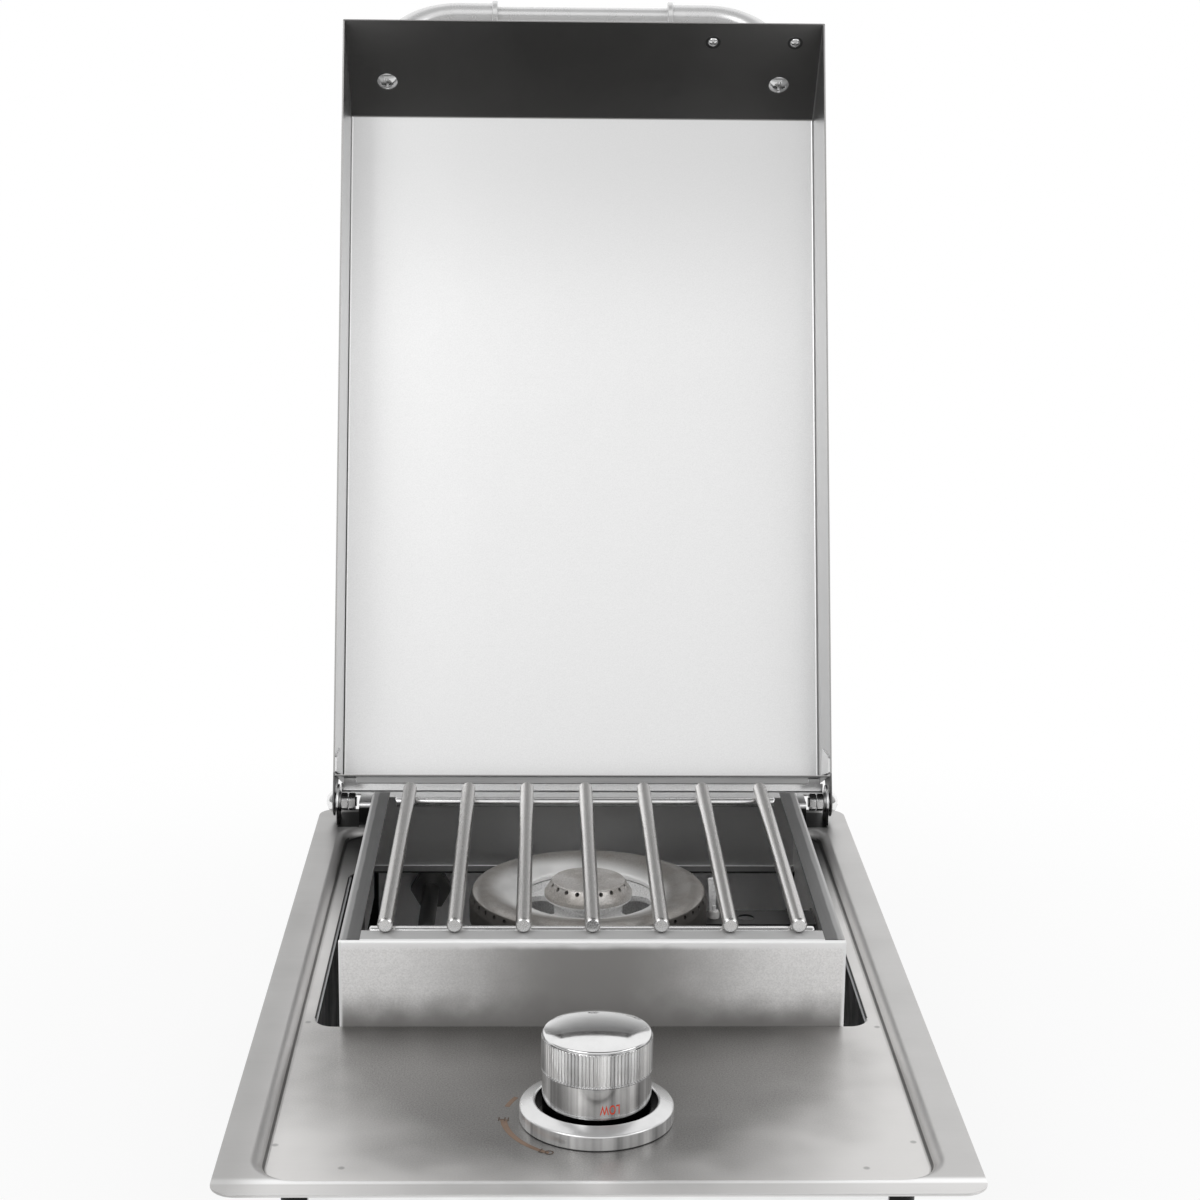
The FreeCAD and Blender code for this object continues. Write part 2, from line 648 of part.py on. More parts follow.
def make_box_end(label, face, lip, inward, bottom):
    """Front or rear wall of the burner box, folded inwards along its top edge."""
    owner = body(label + "_body")
    path = [(face, bottom), (face, S["box_top"]), (face + lip * inward, S["box_top"])]
    profile = outline(owner, label + "_fold", "YZ_Plane", folded(path, S["box_sheet"], -inward))
    pad(owner, profile, S["box_width"], midplane=True)
    inner = BOX_HALF - S["side_lip"]
    near = face + S["box_sheet"] * inward
    far = face + (lip + 1) * inward
    low, high = (near, far) if inward > 0 else (far, near)
    notch = owner.newObject("Sketcher::SketchObject", label + "_notches")
    notch.AttachmentSupport = [(plane(owner, "XY_Plane"), "")]
    notch.MapMode = "FlatFace"
    notch.setExpression("AttachmentOffset.Base.z", formula_of(S["box_top"] + 1))
    for start, end in ((-BOX_HALF - 1, -inner), (inner, BOX_HALF + 1)):
        add_loop(notch, [(end, low), (end, high), (start, high), (start, low)])
    pocket(owner, notch, S["bend_inner"] + S["box_sheet"] + 1)
    return node(owner, label)


def make_box_side(label, sign):
    """Side wall of the burner box with the top strip that the rail shows."""
    owner = body(label + "_body")
    face = BOX_HALF * sign
    path = [(face, -S["box_drop"]), (face, S["box_top"]), (face - S["side_lip"] * sign, S["box_top"])]
    profile = outline(owner, label + "_fold", "XZ_Plane", folded(path, S["box_sheet"], sign))
    pad(owner, profile, S["box_depth"] - S["box_sheet"] * 2, reverse=True)
    move(owner, 0, S["box_front"] + S["box_sheet"], 0)
    ledge = BOX_BACK - S["ledge_depth"]
    low = -S["box_drop"] - 1
    room = block(label + "_ledge_room", face - 2, ledge, low, 4, S["ledge_depth"] + 1, PANEL_TOP - low)
    return node(cut(label + "_cut", owner, room), label)


def make_housing():
    """Open-topped housing under the tray, with its welding flange, air vents and gas hole."""
    owner = body("housing_body")
    half = S["housing_width"] / 2
    front = S["housing_front"]
    back = front + S["housing_depth"]
    wall = S["housing_sheet"]
    edge = S["housing_flange"]
    lip = rounded(-half - edge, half + edge, front - edge, back + edge, S["housing_corner"] + edge)
    pad(owner, outline(owner, "mouth", "XY_Plane", lip, PANEL_UNDER), wall, reverse=True)
    shell = rounded(-half, half, front, back, S["housing_corner"])
    pad(owner, outline(owner, "walls", "XY_Plane", shell, PANEL_UNDER), S["housing_height"], reverse=True)
    room = rounded(-half + wall, half - wall, front + wall, back - wall, S["housing_corner"] - wall)
    pocket(owner, outline(owner, "room", "XY_Plane", room, PANEL_UNDER), S["housing_height"] - wall)
    middle = front + S["housing_depth"] / 2
    row_start = middle - S["vent_pitch"] * (S["vent_count"] - 1) / 2
    floor_vent = rounded(
        -S["vent_length"] / 2, S["vent_length"] / 2,
        row_start - S["vent_width"] / 2, row_start + S["vent_width"] / 2, S["vent_width"] / 2 - 0.01)
    above = PANEL_UNDER - S["housing_height"] / 2
    first = pocket(owner, outline(owner, "floor_vent", "XY_Plane", floor_vent, above), S["housing_height"])
    row = owner.newObject("PartDesign::LinearPattern", "floor_vents")
    row.Originals = [first]
    row.Direction = (plane(owner, "Y_Axis"), [""])
    row.Mode = "Spacing"
    bind(row, Offset=S["vent_pitch"], Occurrences=S["vent_count"])
    owner.Tip = row
    side_vent = rounded(
        middle - S["vent_length"] / 2, middle + S["vent_length"] / 2,
        above - S["vent_width"] / 2, above + S["vent_width"] / 2, S["vent_width"] / 2 - 0.01)
    pocket(owner, outline(owner, "side_vents", "YZ_Plane", side_vent), S["housing_width"] + 2, midplane=True)
    hole = [(-S["pipe_x"], -S["gas_z"], S["inlet_thread"] + S["bolt_play"])]
    drawn = ring_outline(owner, "gas_hole", "XZ_Plane", hole, -(back - wall * 3))
    pocket(owner, drawn, wall * 6)
    return node(owner, "lower_housing")


def make_bracket():
    """Folded hinge bracket: step, rear lip with two lid stops, and an ear at each end."""
    owner = body("bracket_body")
    face = HINGE_Y - S["bracket_front"]
    step = TRAY_TOP + S["bracket_rise"]
    rear = face + S["bracket_step"]
    path = [(face, TRAY_TOP), (face, step), (rear, step), (rear, step + S["bracket_lip"])]
    profile = outline(owner, "bracket_fold", "YZ_Plane", folded(path, S["bracket_sheet"], -1))
    pad(owner, profile, EAR_INNER * 2, midplane=True)
    pieces = [owner]
    reach = S["bracket_step"] + S["bracket_sheet"] - S["bracket_front"]
    lean = S["lid_rear"] / wave("cos", S["lid_tilt"]) - wave("tan", S["lid_tilt"]) * reach
    tab_top = S["hinge_z"] + lean - S["side_gap"]
    for sign, word in ((-1, "left"), (1, "right")):
        inner = EAR_INNER * sign if sign > 0 else -EAR_INNER - S["bracket_sheet"]
        upright = block("ear_plate_" + word, inner, HINGE_Y - S["ear_radius"], TRAY_TOP,
                        S["bracket_sheet"], S["ear_radius"] * 2, S["hinge_z"] - TRAY_TOP)
        crown = rod("ear_crown_" + word, S["ear_radius"], S["bracket_sheet"],
                    inner, HINGE_Y, S["hinge_z"], TO_RIGHT, 90)
        edge = EAR_INNER - S["tab_inset"]
        start = edge - S["tab_width"] if sign > 0 else -edge
        tab = block("stop_tab_" + word, start, rear, step,
                    S["tab_width"], S["bracket_sheet"], tab_top - step)
        pieces += [upright, crown, tab]
    whole = fuse("bracket_whole", *pieces)
    rooms = []
    for sign, word in ((-1, "left"), (1, "right")):
        start = EAR_INNER - 1 if sign > 0 else -EAR_OUTER - 1
        rooms.append(rod("ear_hole_" + word, S["bolt_radius"], S["bracket_sheet"] + 2,
                         start, HINGE_Y, S["hinge_z"], TO_RIGHT, 90))
        start = EAR_INNER - S["nut_notch"] if sign > 0 else -EAR_INNER
        rooms.append(block("nut_room_" + word, start, face - 1, TRAY_TOP - 1,
                           S["nut_notch"], S["bracket_front"] + S["nut_room"] + 1, S["bracket_rise"] + 2))
    return node(cut("bracket_cut", whole, fuse("bracket_rooms", *rooms)), "hinge_bracket")


def hinge_stack():
    """Bolts, washers and nuts of both hinges; the lid's arm turns on the bolt's shank."""
    nut_start = EAR_INNER - S["washer_height"]
    head_face = LID_HALF + S["side_gap"]
    lock_start = nut_start - S["nut_height"] * 2 - S["nut_gap"]
    shank = head_face - nut_start + S["nut_height"] * 2 + 1
    bolts, washers, nuts, lock_nuts = [], [], [], []
    for sign, word in ((-1, "left"), (1, "right")):
        angle = 90 * sign
        at = {"y": HINGE_Y, "z": S["hinge_z"], "axis": TO_RIGHT, "angle": angle}
        stem = rod("bolt_shank_" + word, S["bolt_radius"], shank, (head_face - shank) * sign, **at)
        dome = doc.addObject("Part::Sphere", "bolt_dome_" + word)
        sphere = (S["bolt_head"] * S["bolt_head"] + S["bolt_dome"] * S["bolt_dome"]) / (S["bolt_dome"] * 2)
        bind(dome, Radius=sphere)
        move(dome, (head_face + S["bolt_dome"] - sphere) * sign, HINGE_Y, S["hinge_z"])
        limit = rod("bolt_limit_" + word, S["bolt_head"] + 2, S["bolt_dome"] + 2, head_face * sign, **at)
        head = doc.addObject("Part::Common", "bolt_head_" + word)
        head.Base = dome
        head.Tool = limit
        bolts.append(fuse("bolt_" + word, stem, head))
        stacks = (
            (washers, "outer_washer_", EAR_OUTER, S["washer_height"]),
            (washers, "inner_washer_", nut_start, S["washer_height"]),
        )
        for where, name, start, height in stacks:
            disc = rod(name + word, S["hinge_washer"], height, start * sign, **at)
            bore = rod(name + "bore_" + word, S["bolt_radius"], height, start * sign, **at)
            where.append(cut(name + "cut_" + word, disc, bore))
        pairs = ((nuts, "nut_", nut_start - S["nut_height"]), (lock_nuts, "lock_nut_", lock_start))
        for where, name, start in pairs:
            prism = hexagon(name + word, S["nut_flats"], S["nut_height"], start * sign, **at)
            bore = rod(name + "bore_" + word, S["bolt_radius"], S["nut_height"], start * sign, **at)
            where.append(cut(name + "cut_" + word, prism, bore))
    node(group("bolt_pair", *bolts), "hinge_bolts")
    node(group("washer_set", *washers), "hinge_washers")
    node(group("nut_pair", *nuts), "hinge_nuts")
    node(group("lock_nut_pair", *lock_nuts), "hinge_lock_nuts")


def on_lid(label, *things):
    """A piece drawn about the hinge axis with the lid upright, turned back to the open pose."""
    made = group(label + "_on_lid", *things)
    made.Placement.Rotation = FreeCAD.Rotation(FreeCAD.Vector(1, 0, 0), -number_of(S["lid_tilt"]))
    made.setExpression("Placement.Rotation.Angle", "%s * 1 deg" % S["lid_tilt"].formula)
    made.setExpression("Placement.Rotation.Axis.x", "-1")
    return node(move(made, 0, HINGE_Y, S["hinge_z"]), label)


def lid_profile(inset):
    """Side outline of the lid in its upright pose, shrunk evenly by an inset."""
    run = S["lid_front"] - S["lid_fold"]
    drop = S["lid_height"] + S["lid_edge"]
    slope = Size(math.hypot(number_of(run), number_of(drop)),
                 "sqrt(%s * %s + %s * %s)" % (run.formula, run.formula, drop.formula, drop.formula))
    # an inset moves the slanted line square to itself
    along_panel = inset * ((slope - run) / drop)
    along_edge = inset * slope / drop
    open_edge = -S["lid_edge"]
    return [
        (open_edge - inset, S["lid_rear"] + inset),
        (S["lid_height"] - inset, S["lid_rear"] + inset),
        (S["lid_height"] - inset, S["lid_fold"] - along_panel),
        (open_edge, S["lid_front"] - along_edge),
    ] + ([(open_edge - inset, S["lid_front"] - along_edge + inset * run / drop)] if number_of(inset) else [])


def lid_solid(name, inset):
    owner = body(name)
    profile = outline(owner, name + "_side", "YZ_Plane", lid_profile(inset))
    whole = pad(owner, profile, S["lid_width"] - inset * 2, midplane=True)
    back = S["lid_height"] - inset
    edge = number_of(S["lid_width"] / 2 - inset)
    rear = number_of(S["lid_rear"] + inset)

    def on_panel(middle, line):
        """The folds round the flat panel and up the two rear corners."""
        panel = close_to(middle.y, back)
        corner = close_to(abs(middle.x), edge) and close_to(middle.z, rear)
        return panel or corner

    soften(owner, name + "_bends", whole, on_panel, S["lid_bend"] - inset)
    return owner


def make_lid():
    """Folded lid: flat panel, two side skirts, rear skirt and a sloped front."""
    shell = cut("lid_hollowed", lid_solid("lid_outside", plain(0)), lid_solid("lid_inside", S["lid_sheet"]))
    arms = []
    for sign, word in ((-1, "left"), (1, "right")):
        owner = body("lid_arm_" + word)
        start = ARM_INNER if sign > 0 else -LID_HALF
        radius = S["arm_radius"]
        points = [
            (-S["lid_edge"], S["lid_rear"] + S["lid_bend"]),
            (-radius, plain(0)),
            (plain(0), -radius, radius),
            (radius, plain(0), radius),
            (S["arm_foot"], S["lid_rear"] + S["lid_bend"]),
        ]
        profile = outline(owner, "arm_outline_" + word, "YZ_Plane", points, start)
        pad(owner, profile, S["lid_sheet"])
        arms.append(owner)
    whole = fuse("lid_whole", shell, *arms)
    bore = rod("lid_bore", S["bolt_radius"] + S["bolt_play"], S["lid_width"] + 10,
               -S["lid_width"] / 2 - 5, 0, 0, TO_RIGHT, 90)
    holes = [bore]
    for x, radius, seat in lid_screw_places():
        hole = rod("lid_screw_hole", radius, S["lid_sheet"] * 6, *front_place(x, seat, S["lid_sheet"] * -3))
        turn_to_front(hole)
        holes.append(hole)
    return on_lid("lid_shell", cut("lid_drilled", whole, fuse("lid_holes", *holes)))


def lid_screw_places():
    """Across, hole radius and distance down the sloped front of each screw in the lid."""
    half = HANDLE_X
    places = [(half * sign, S["handle_screw"] + 0.1, S["handle_seat"]) for sign in (-1, 1)]
    gap = S["plate_screw_gap"] / 2
    places += [(PLATE_SCREW_X + gap * sign, S["plate_screw"] + 0.1, S["plate_screw_seat"])
               for sign in (-1, 1)]
    return places


def front_direction():
    """Cosine and sine of the sloped front, measured from the lid's length."""
    run = S["lid_front"] - S["lid_fold"]
    drop = S["lid_height"] + S["lid_edge"]
    slope = Size(math.hypot(number_of(run), number_of(drop)),
                 "sqrt(%s * %s + %s * %s)" % (run.formula, run.formula, drop.formula, drop.formula))
    return run / slope, drop / slope


def front_place(across, seat, out):
    """Point on the lid's sloped front: seat is measured from the fold, out from the outside face."""
    cosine, sine = front_direction()
    y = S["lid_height"] - sine * seat + cosine * out
    z = S["lid_fold"] + cosine * seat + sine * out
    return across, y, z


def turn_to_front(thing):
    """Turn a piece so that its own +Z points straight out of the lid's sloped front."""
    cosine, sine = front_direction()
    angle = math.degrees(math.atan2(number_of(cosine), number_of(sine)))
    thing.Placement.Rotation = FreeCAD.Rotation(FreeCAD.Vector(1, 0, 0), -angle)
    thing.setExpression("Placement.Rotation.Angle", "atan2(%s; %s)" % (cosine.formula, sine.formula))
    thing.setExpression("Placement.Rotation.Axis.x", "-1")
    return thing


def make_corner_tabs():
    """Tapered tabs that fold from the rear skirt onto the side skirts."""
    tabs = []
    for sign, word in ((-1, "left"), (1, "right")):
        owner = body("corner_tab_" + word)
        start = ARM_INNER - S["lid_sheet"] if sign > 0 else -ARM_INNER
        foot = S["lid_rear"] + S["lid_bend"]
        points = [
            (-S["lid_edge"] + S["lid_sheet"], foot),
            (S["corner_tab_width"], foot),
            (S["corner_tab_width"] * 0.8, foot + S["corner_tab"]),
            (-S["lid_edge"] + S["lid_sheet"], foot + S["corner_tab"] * 0.6),
        ]
        pad(owner, outline(owner, "tab_outline_" + word, "YZ_Plane", points, start), S["lid_sheet"])
        tabs.append(owner)
    return on_lid("lid_corner_tabs", *tabs)


def on_front(name, thing, across, seat, out):
    """A piece in its own frame, set on the lid's sloped front."""
    made = group(name + "_seated", thing)
    move(made, *front_place(across, seat, out))
    return turn_to_front(made)


def make_handle():
    """Bent handle ends, thinner middle grip, collars, foot washers and screws."""
    foot = S["handle_washer_height"]
    half = HANDLE_X
    bend = S["handle_bend"]
    top = S["handle_reach"]
    grip = S["grip_length"] / 2
    owner = body("handle_end")
    circle = ring_outline(owner, "handle_section", "XY_Plane", [(half, plain(0), S["handle_radius"])], foot)
    path = owner.newObject("Sketcher::SketchObject", "handle_path")
    path.AttachmentSupport = [(plane(owner, "XZ_Plane"), "")]
    path.MapMode = "FlatFace"
    points = [(half, foot), (half, top - bend), (half - bend, top), (grip, top)]
    spots = [FreeCAD.Vector(number_of(across), number_of(up), 0) for across, up in points]
    path.addGeometry(Part.LineSegment(spots[0], spots[1]), False)
    path.addGeometry(arc_between(spots[1], spots[2], number_of(bend)), False)
    path.addGeometry(Part.LineSegment(spots[2], spots[3]), False)
    path.addConstraint(Sketcher.Constraint("Coincident", 0, 2, 1, 1))
    path.addConstraint(Sketcher.Constraint("Coincident", 1, 2, 2, 1))
    rules = [(0, 1, points[0]), (0, 2, points[1]), (1, 2, points[2]), (2, 2, points[3])]
    for edge, end, (across, up) in rules:
        for kind, size in (("DistanceX", across), ("DistanceY", up)):
            made = path.addConstraint(Sketcher.Constraint(kind, -1, 1, edge, end, number_of(size)))
            path.setExpression("Constraints[%d]" % made, formula_of(size))
    made = path.addConstraint(Sketcher.Constraint("Radius", 1, number_of(bend)))
    path.setExpression("Constraints[%d]" % made, formula_of(bend))
    pipe = owner.newObject("PartDesign::AdditivePipe", "handle_pipe")
    pipe.Profile = circle
    pipe.Spine = path
    hole = ring_outline(owner, "handle_hole", "XY_Plane", [(half, plain(0), S["handle_screw"])])
    pocket(owner, hole, S["handle_screw_length"], reverse=True)
    other = doc.addObject("Part::Mirroring", "handle_end_left")
    other.Source = owner
    other.Normal = (1, 0, 0)
    seat = S["handle_seat"]
    ends = [on_front("end_right", owner, 0, seat, 0), on_front("end_left", other, 0, seat, 0)]
    on_lid("handle_ends", *ends)
    bar = rod("grip_rod", S["grip_radius"], S["grip_length"], -grip, 0, top, TO_RIGHT, 90)
    on_lid("handle_grip", on_front("grip", bar, 0, seat, 0))
    collars, washers, screws = [], [], []
    for sign, word in ((-1, "left"), (1, "right")):
        start = grip - S["collar_width"] / 2 if sign > 0 else -grip - S["collar_width"] / 2
        disc = rod("collar_disc_" + word, S["collar_radius"], S["collar_width"], start, 0, top, TO_RIGHT, 90)
        bore = rod("collar_bore_" + word, S["handle_radius"], S["collar_width"], start, 0, top, TO_RIGHT, 90)
        collars.append(on_front("collar_" + word, cut("collar_cut_" + word, disc, bore), 0, seat, 0))
        disc = rod("foot_disc_" + word, S["handle_washer"], foot)
        bore = rod("foot_bore_" + word, S["handle_screw"], foot)
        washer = cut("foot_cut_" + word, disc, bore)
        washers.append(on_front("foot_" + word, washer, half * sign, seat, 0))
        inside = S["lid_sheet"]
        reach = S["handle_screw_length"] + inside
        shank = rod("handle_shank_" + word, S["handle_screw"], reach, 0, 0, -inside)
        head = dome_head("handle_head_" + word, S["handle_screw_head"], S["handle_screw_dome"], -inside)
        screws.append(on_front("handle_screw_" + word, fuse("handle_screw_whole_" + word, shank, head),
                               half * sign, seat, 0))
    on_lid("handle_collars", *collars)
    on_lid("handle_washers", *washers)
    on_lid("handle_screws", *screws)


def dome_head(name, radius, height, top):
    """Shallow domed screw head that hangs below its seat at the given height."""
    owner = body(name)
    points = [
        (plain(0), top - height),
        (radius * 0.55, top - height * 0.82),
        (radius, top - height * 0.25),
        (radius, top),
        (plain(0), top),
    ]
    revolve(owner, outline(owner, name + "_outline", "XZ_Plane", points))
    return owner


def make_plate_screws():
    """Two small screws near the edge of the sloped front."""
    screws = []
    for sign, word in ((-1, "left"), (1, "right")):
        across = PLATE_SCREW_X + S["plate_screw_gap"] / 2 * sign
        inside = S["lid_sheet"]
        shank = rod("plate_shank_" + word, S["plate_screw"], inside * 2, 0, 0, -inside)
        head = dome_head("plate_head_" + word, S["plate_screw_head"], S["plate_screw_height"], -inside)
        outer = rod("plate_button_" + word, S["plate_screw_head"], S["lid_sheet"], 0, 0, 0)
        whole = fuse("plate_screw_whole_" + word, shank, head, outer)
        screws.append(on_front("plate_screw_" + word, whole, across, S["plate_screw_seat"], 0))
    return on_lid("front_screws", *screws)


def make_grate():
    """Round bars on two cross rods that drop inside the box's folded lip."""
    centre = S["box_top"] + S["grate_gap"] + S["bar_radius"]
    bars = []
    for index in range(int(number_of(S["bar_count"]))):
        shift = (S["bar_count"] - 1) / 2 * -1 + index
        bar = rod("bar_%d" % index, S["bar_radius"], S["bar_length"],
                  S["bar_pitch"] * shift, S["bar_front"], centre, TO_BACK, -90)
        bevel = doc.addObject("Part::Chamfer", "bar_end_%d" % index)
        doc.recompute()
        bevel.Base = bar
        size = number_of(S["bar_chamfer"])
        ends = [number for number, edge in enumerate(bar.Shape.Edges, start=1)
                if edge.Curve.TypeId == "Part::GeomCircle"]
        bevel.Edges = [(number, size, size) for number in ends]
        bars.append(bevel)
    rods = []
    low = centre - S["bar_radius"] + S["weld_sink"] - S["cross_radius"]
    front = S["box_front"] + S["front_lip"] + S["cross_inset"]
    back = BOX_BACK - S["rear_lip"] - S["cross_inset"]
    for word, along in (("front", front), ("rear", back)):
        rods.append(rod("cross_" + word, S["cross_radius"], S["cross_length"],
                        -S["cross_length"] / 2, along, low, TO_RIGHT, 90))
    grate_bars = group("bar_set", *bars)
    node(grate_bars, "grate_bars")
    notched = [cut("cross_notched_" + word, one, grate_bars) for word, one in zip(("front", "rear"), rods)]
    node(group("cross_pair", *notched), "grate_cross_rods")


def centred(owner, label):
    """A turned burner part, set on the burner's axis."""
    move(owner, 0, S["burner_y"], 0)
    return node(owner, label)


def make_ring():
    """Annular burner ring: ported skirt, domed top and open middle."""
    owner = body("ring_body")
    wall = S["ring_wall"]
    seat = S["ring_skirt"] + S["ring_overlap"] + S["lift_gap"]
    dome = S["ring_dome"]
    points = [
        (S["ring_radius"], S["ring_skirt"]),
        (S["ring_radius"], S["ring_rim"]),
        (S["ring_crest_radius"], S["ring_crest"], dome),
        (S["ring_inner"], S["ring_lip"], S["ring_dip"]),
        (S["ring_inner"] + 1.4, S["ring_lip"] - wall),
        (S["ring_crest_radius"], S["ring_crest"] - wall, -(dome + 2)),
        (S["ring_radius"] - wall, S["ring_rim"] - wall * 0.6, -dome),
        (S["ring_radius"] - wall - S["ring_ledge"], S["ring_port_z"] + S["ring_port"] * 2),
        (S["ring_radius"] - wall - S["ring_ledge"], seat),
        (S["ring_radius"] - wall, seat),
        (S["ring_radius"] - wall, S["ring_skirt"]),
    ]
    revolve(owner, outline(owner, "ring_profile", "XZ_Plane", points))
    drawn = ring_outline(owner, "ring_port_hole", "YZ_Plane", [(plain(0), S["ring_port_z"], S["ring_port"])],
                         S["ring_radius"] + 2)
    hole = pocket(owner, drawn, wall + S["ring_ledge"] + 4)
    repeat_round(owner, hole, S["ring_ports"])
    return centred(owner, "burner_ring")


def make_cap():
    """Loose centre cap: sloped side with ports and a slightly domed top."""
    owner = body("cap_body")
    wall = S["cap_wall"]
    points = [
        (S["cap_radius"], S["cap_foot"]),
        (S["cap_radius"], S["cap_foot"] + S["cap_edge"]),
        (S["cap_top"], S["cap_slope"]),
        (plain(0), S["cap_crown"]),
        (plain(0), S["cap_crown"] - wall),
        (S["cap_top"] - wall, S["cap_slope"] - wall),
        (S["cap_radius"] - wall, S["cap_foot"] + S["cap_edge"] * 0.6),
        (S["cap_radius"] - wall, S["cap_foot"]),
    ]
    revolve(owner, outline(owner, "cap_profile", "XZ_Plane", points))
    height = (S["cap_slope"] + S["cap_foot"] + S["cap_edge"]) / 2
    drawn = ring_outline(owner, "cap_port_hole", "YZ_Plane", [(plain(0), height, S["cap_port"])],
                         S["cap_radius"] + 2)
    hole = pocket(owner, drawn, S["cap_radius"] - S["cap_top"] + wall + 4)
    repeat_round(owner, hole, S["cap_ports"])
    return centred(owner, "burner_cap")


def make_bowl():
    """Cast bowl: gas channel round the outside, hub in the middle, dish with four openings."""
    owner = body("bowl_body")
    channel = S["channel_wall"]
    ring_seat = S["ring_skirt"] + S["ring_overlap"]
    hub_top = S["cap_foot"] - S["lift_gap"]
    dish = S["dish_top"]
    under = dish - S["dish_sheet"]
    floor = -S["channel_floor"]
    points = [
        (S["stem_pipe"], -S["hub_bottom"]),
        (S["stem_pipe"], -S["stem_pipe"] / 2),
        (S["hub_radius"], under - S["dish_sheet"]),
        (S["hub_radius"], under),
        (S["channel_inner"], under),
        (S["channel_inner"], floor),
        (S["channel_outer"] - 8, floor),
        (S["channel_outer"], floor + 14),
        (S["channel_outer"], ring_seat),
        (S["channel_outer"] - channel, ring_seat),
        (S["channel_outer"] - channel, floor + 14),
        (S["channel_outer"] - 8 - channel, floor + channel),
        (S["channel_inner"] + channel, floor + channel),
        (S["channel_inner"] + channel, S["dish_rim"]),
        (S["channel_inner"], S["dish_rim"]),
        (S["channel_inner"] - S["dish_rim_lean"], dish),
        (S["hub_radius"] + 1, dish),
        (S["cap_radius"] - 0.4, hub_top - 2),
        (S["cap_radius"] - 0.4, hub_top),
        (S["hub_radius"] - S["hub_wall"], hub_top),
        (S["hub_radius"] - S["hub_wall"], under - S["dish_sheet"]),
        (S["stem_pipe"] - S["hub_wall"], -S["stem_pipe"] / 2),
        (S["stem_pipe"] - S["hub_wall"], -S["hub_bottom"] + S["hub_wall"]),
        (plain(0), -S["hub_bottom"] + S["hub_wall"]),
        (plain(0), -S["hub_bottom"]),
    ]
    revolve(owner, outline(owner, "bowl_profile", "XZ_Plane", points))
    half = number_of(S["kidney_angle"]) / 2
    end = (S["kidney_outer"] - S["kidney_inner"]) / 2
    corners = []
    for radius, turn in ((S["kidney_inner"], -1), (S["kidney_outer"], 1)):
        corners.append([(radius * math.cos(math.radians(90 + half * side)),
                         radius * math.sin(math.radians(90 + half * side))) for side in (-turn, turn)])
    inner, outer = corners
    points = [
        (outer[0][0], outer[0][1], end * 1.02),
        (outer[1][0], outer[1][1], S["kidney_outer"]),
        (inner[0][0], inner[0][1], end * 1.02),
        (inner[1][0], inner[1][1], -S["kidney_inner"]),
    ]
    drawn = outline(owner, "kidney", "XY_Plane", points, dish + 1)
    hole = pocket(owner, drawn, S["dish_sheet"] + 2)
    repeat_round(owner, hole, S["kidney_count"])
    bore = ring_outline(owner, "mixer_hole", "XZ_Plane", [(plain(0), -S["gas_z"], S["mixer_tube"])])
    pocket(owner, bore, S["stem_pipe"] + 2, reverse=True)
    return centred(owner, "burner_bowl")


def make_strap():
    """Strap across the box that carries the burner, with upturned ends."""
    owner = body("strap_body")
    half = BOX_HALF - S["box_sheet"]
    low = -S["channel_floor"] - S["strap_sheet"]
    path = [(-half, low + S["strap_foot"]), (-half, low), (half, low), (half, low + S["strap_foot"])]
    profile = outline(owner, "strap_fold", "XZ_Plane", folded(path, S["strap_sheet"], 1))
    pad(owner, profile, S["strap_width"], midplane=True)
    holes = [(plain(0), plain(0), S["stem_pipe"] + 0.5)]
    holes += [(S["burner_screw_x"] * sign, plain(0), S["burner_screw"] + S["bolt_play"]) for sign in (-1, 1)]
    holes += [(S["spark_x"], plain(0), S["insulator_radius"] + S["bolt_play"])]
    pocket(owner, ring_outline(owner, "strap_holes", "XY_Plane", holes), S["box_drop"] * 2, midplane=True)
    return centred(owner, "burner_strap")


def make_burner_screws():
    """Screws that hold the bowl down on its strap."""
    screws = []
    low = -S["channel_floor"] - S["strap_sheet"]
    for sign, word in ((-1, "left"), (1, "right")):
        across = S["burner_screw_x"] * sign
        shank = rod("burner_shank_" + word, S["burner_screw"], S["strap_sheet"],
                    across, S["burner_y"], low)
        head = rod("burner_head_" + word, S["burner_screw"] * 1.9, S["burner_screw"],
                   across, S["burner_y"], low - S["burner_screw"])
        screws.append(fuse("burner_screw_" + word, shank, head))
    return node(group("burner_screw_pair", *screws), "burner_screws")


def make_mixer():
    """Mixing tube from the gas orifice to the burner's hub."""
    owner = body("mixer_body")
    end = S["burner_y"] - S["stem_pipe"] + S["mixer_sink"] - S["mixer_start"]
    wall = S["mixer_wall"]
    outside = [(S["mixer_mouth"], plain(0)), (S["mixer_throat"] + wall, plain(18)),
               (S["mixer_throat"] + wall, plain(34)), (S["mixer_tube"], plain(60)), (S["mixer_tube"], end)]
    inside = [(radius - wall, along) for radius, along in outside[::-1]]
    revolve(owner, outline(owner, "mixer_profile", "XZ_Plane", outside + inside))
    move(owner, 0, S["mixer_start"], -S["gas_z"], TO_BACK, -90)
    return node(owner, "mixing_tube")


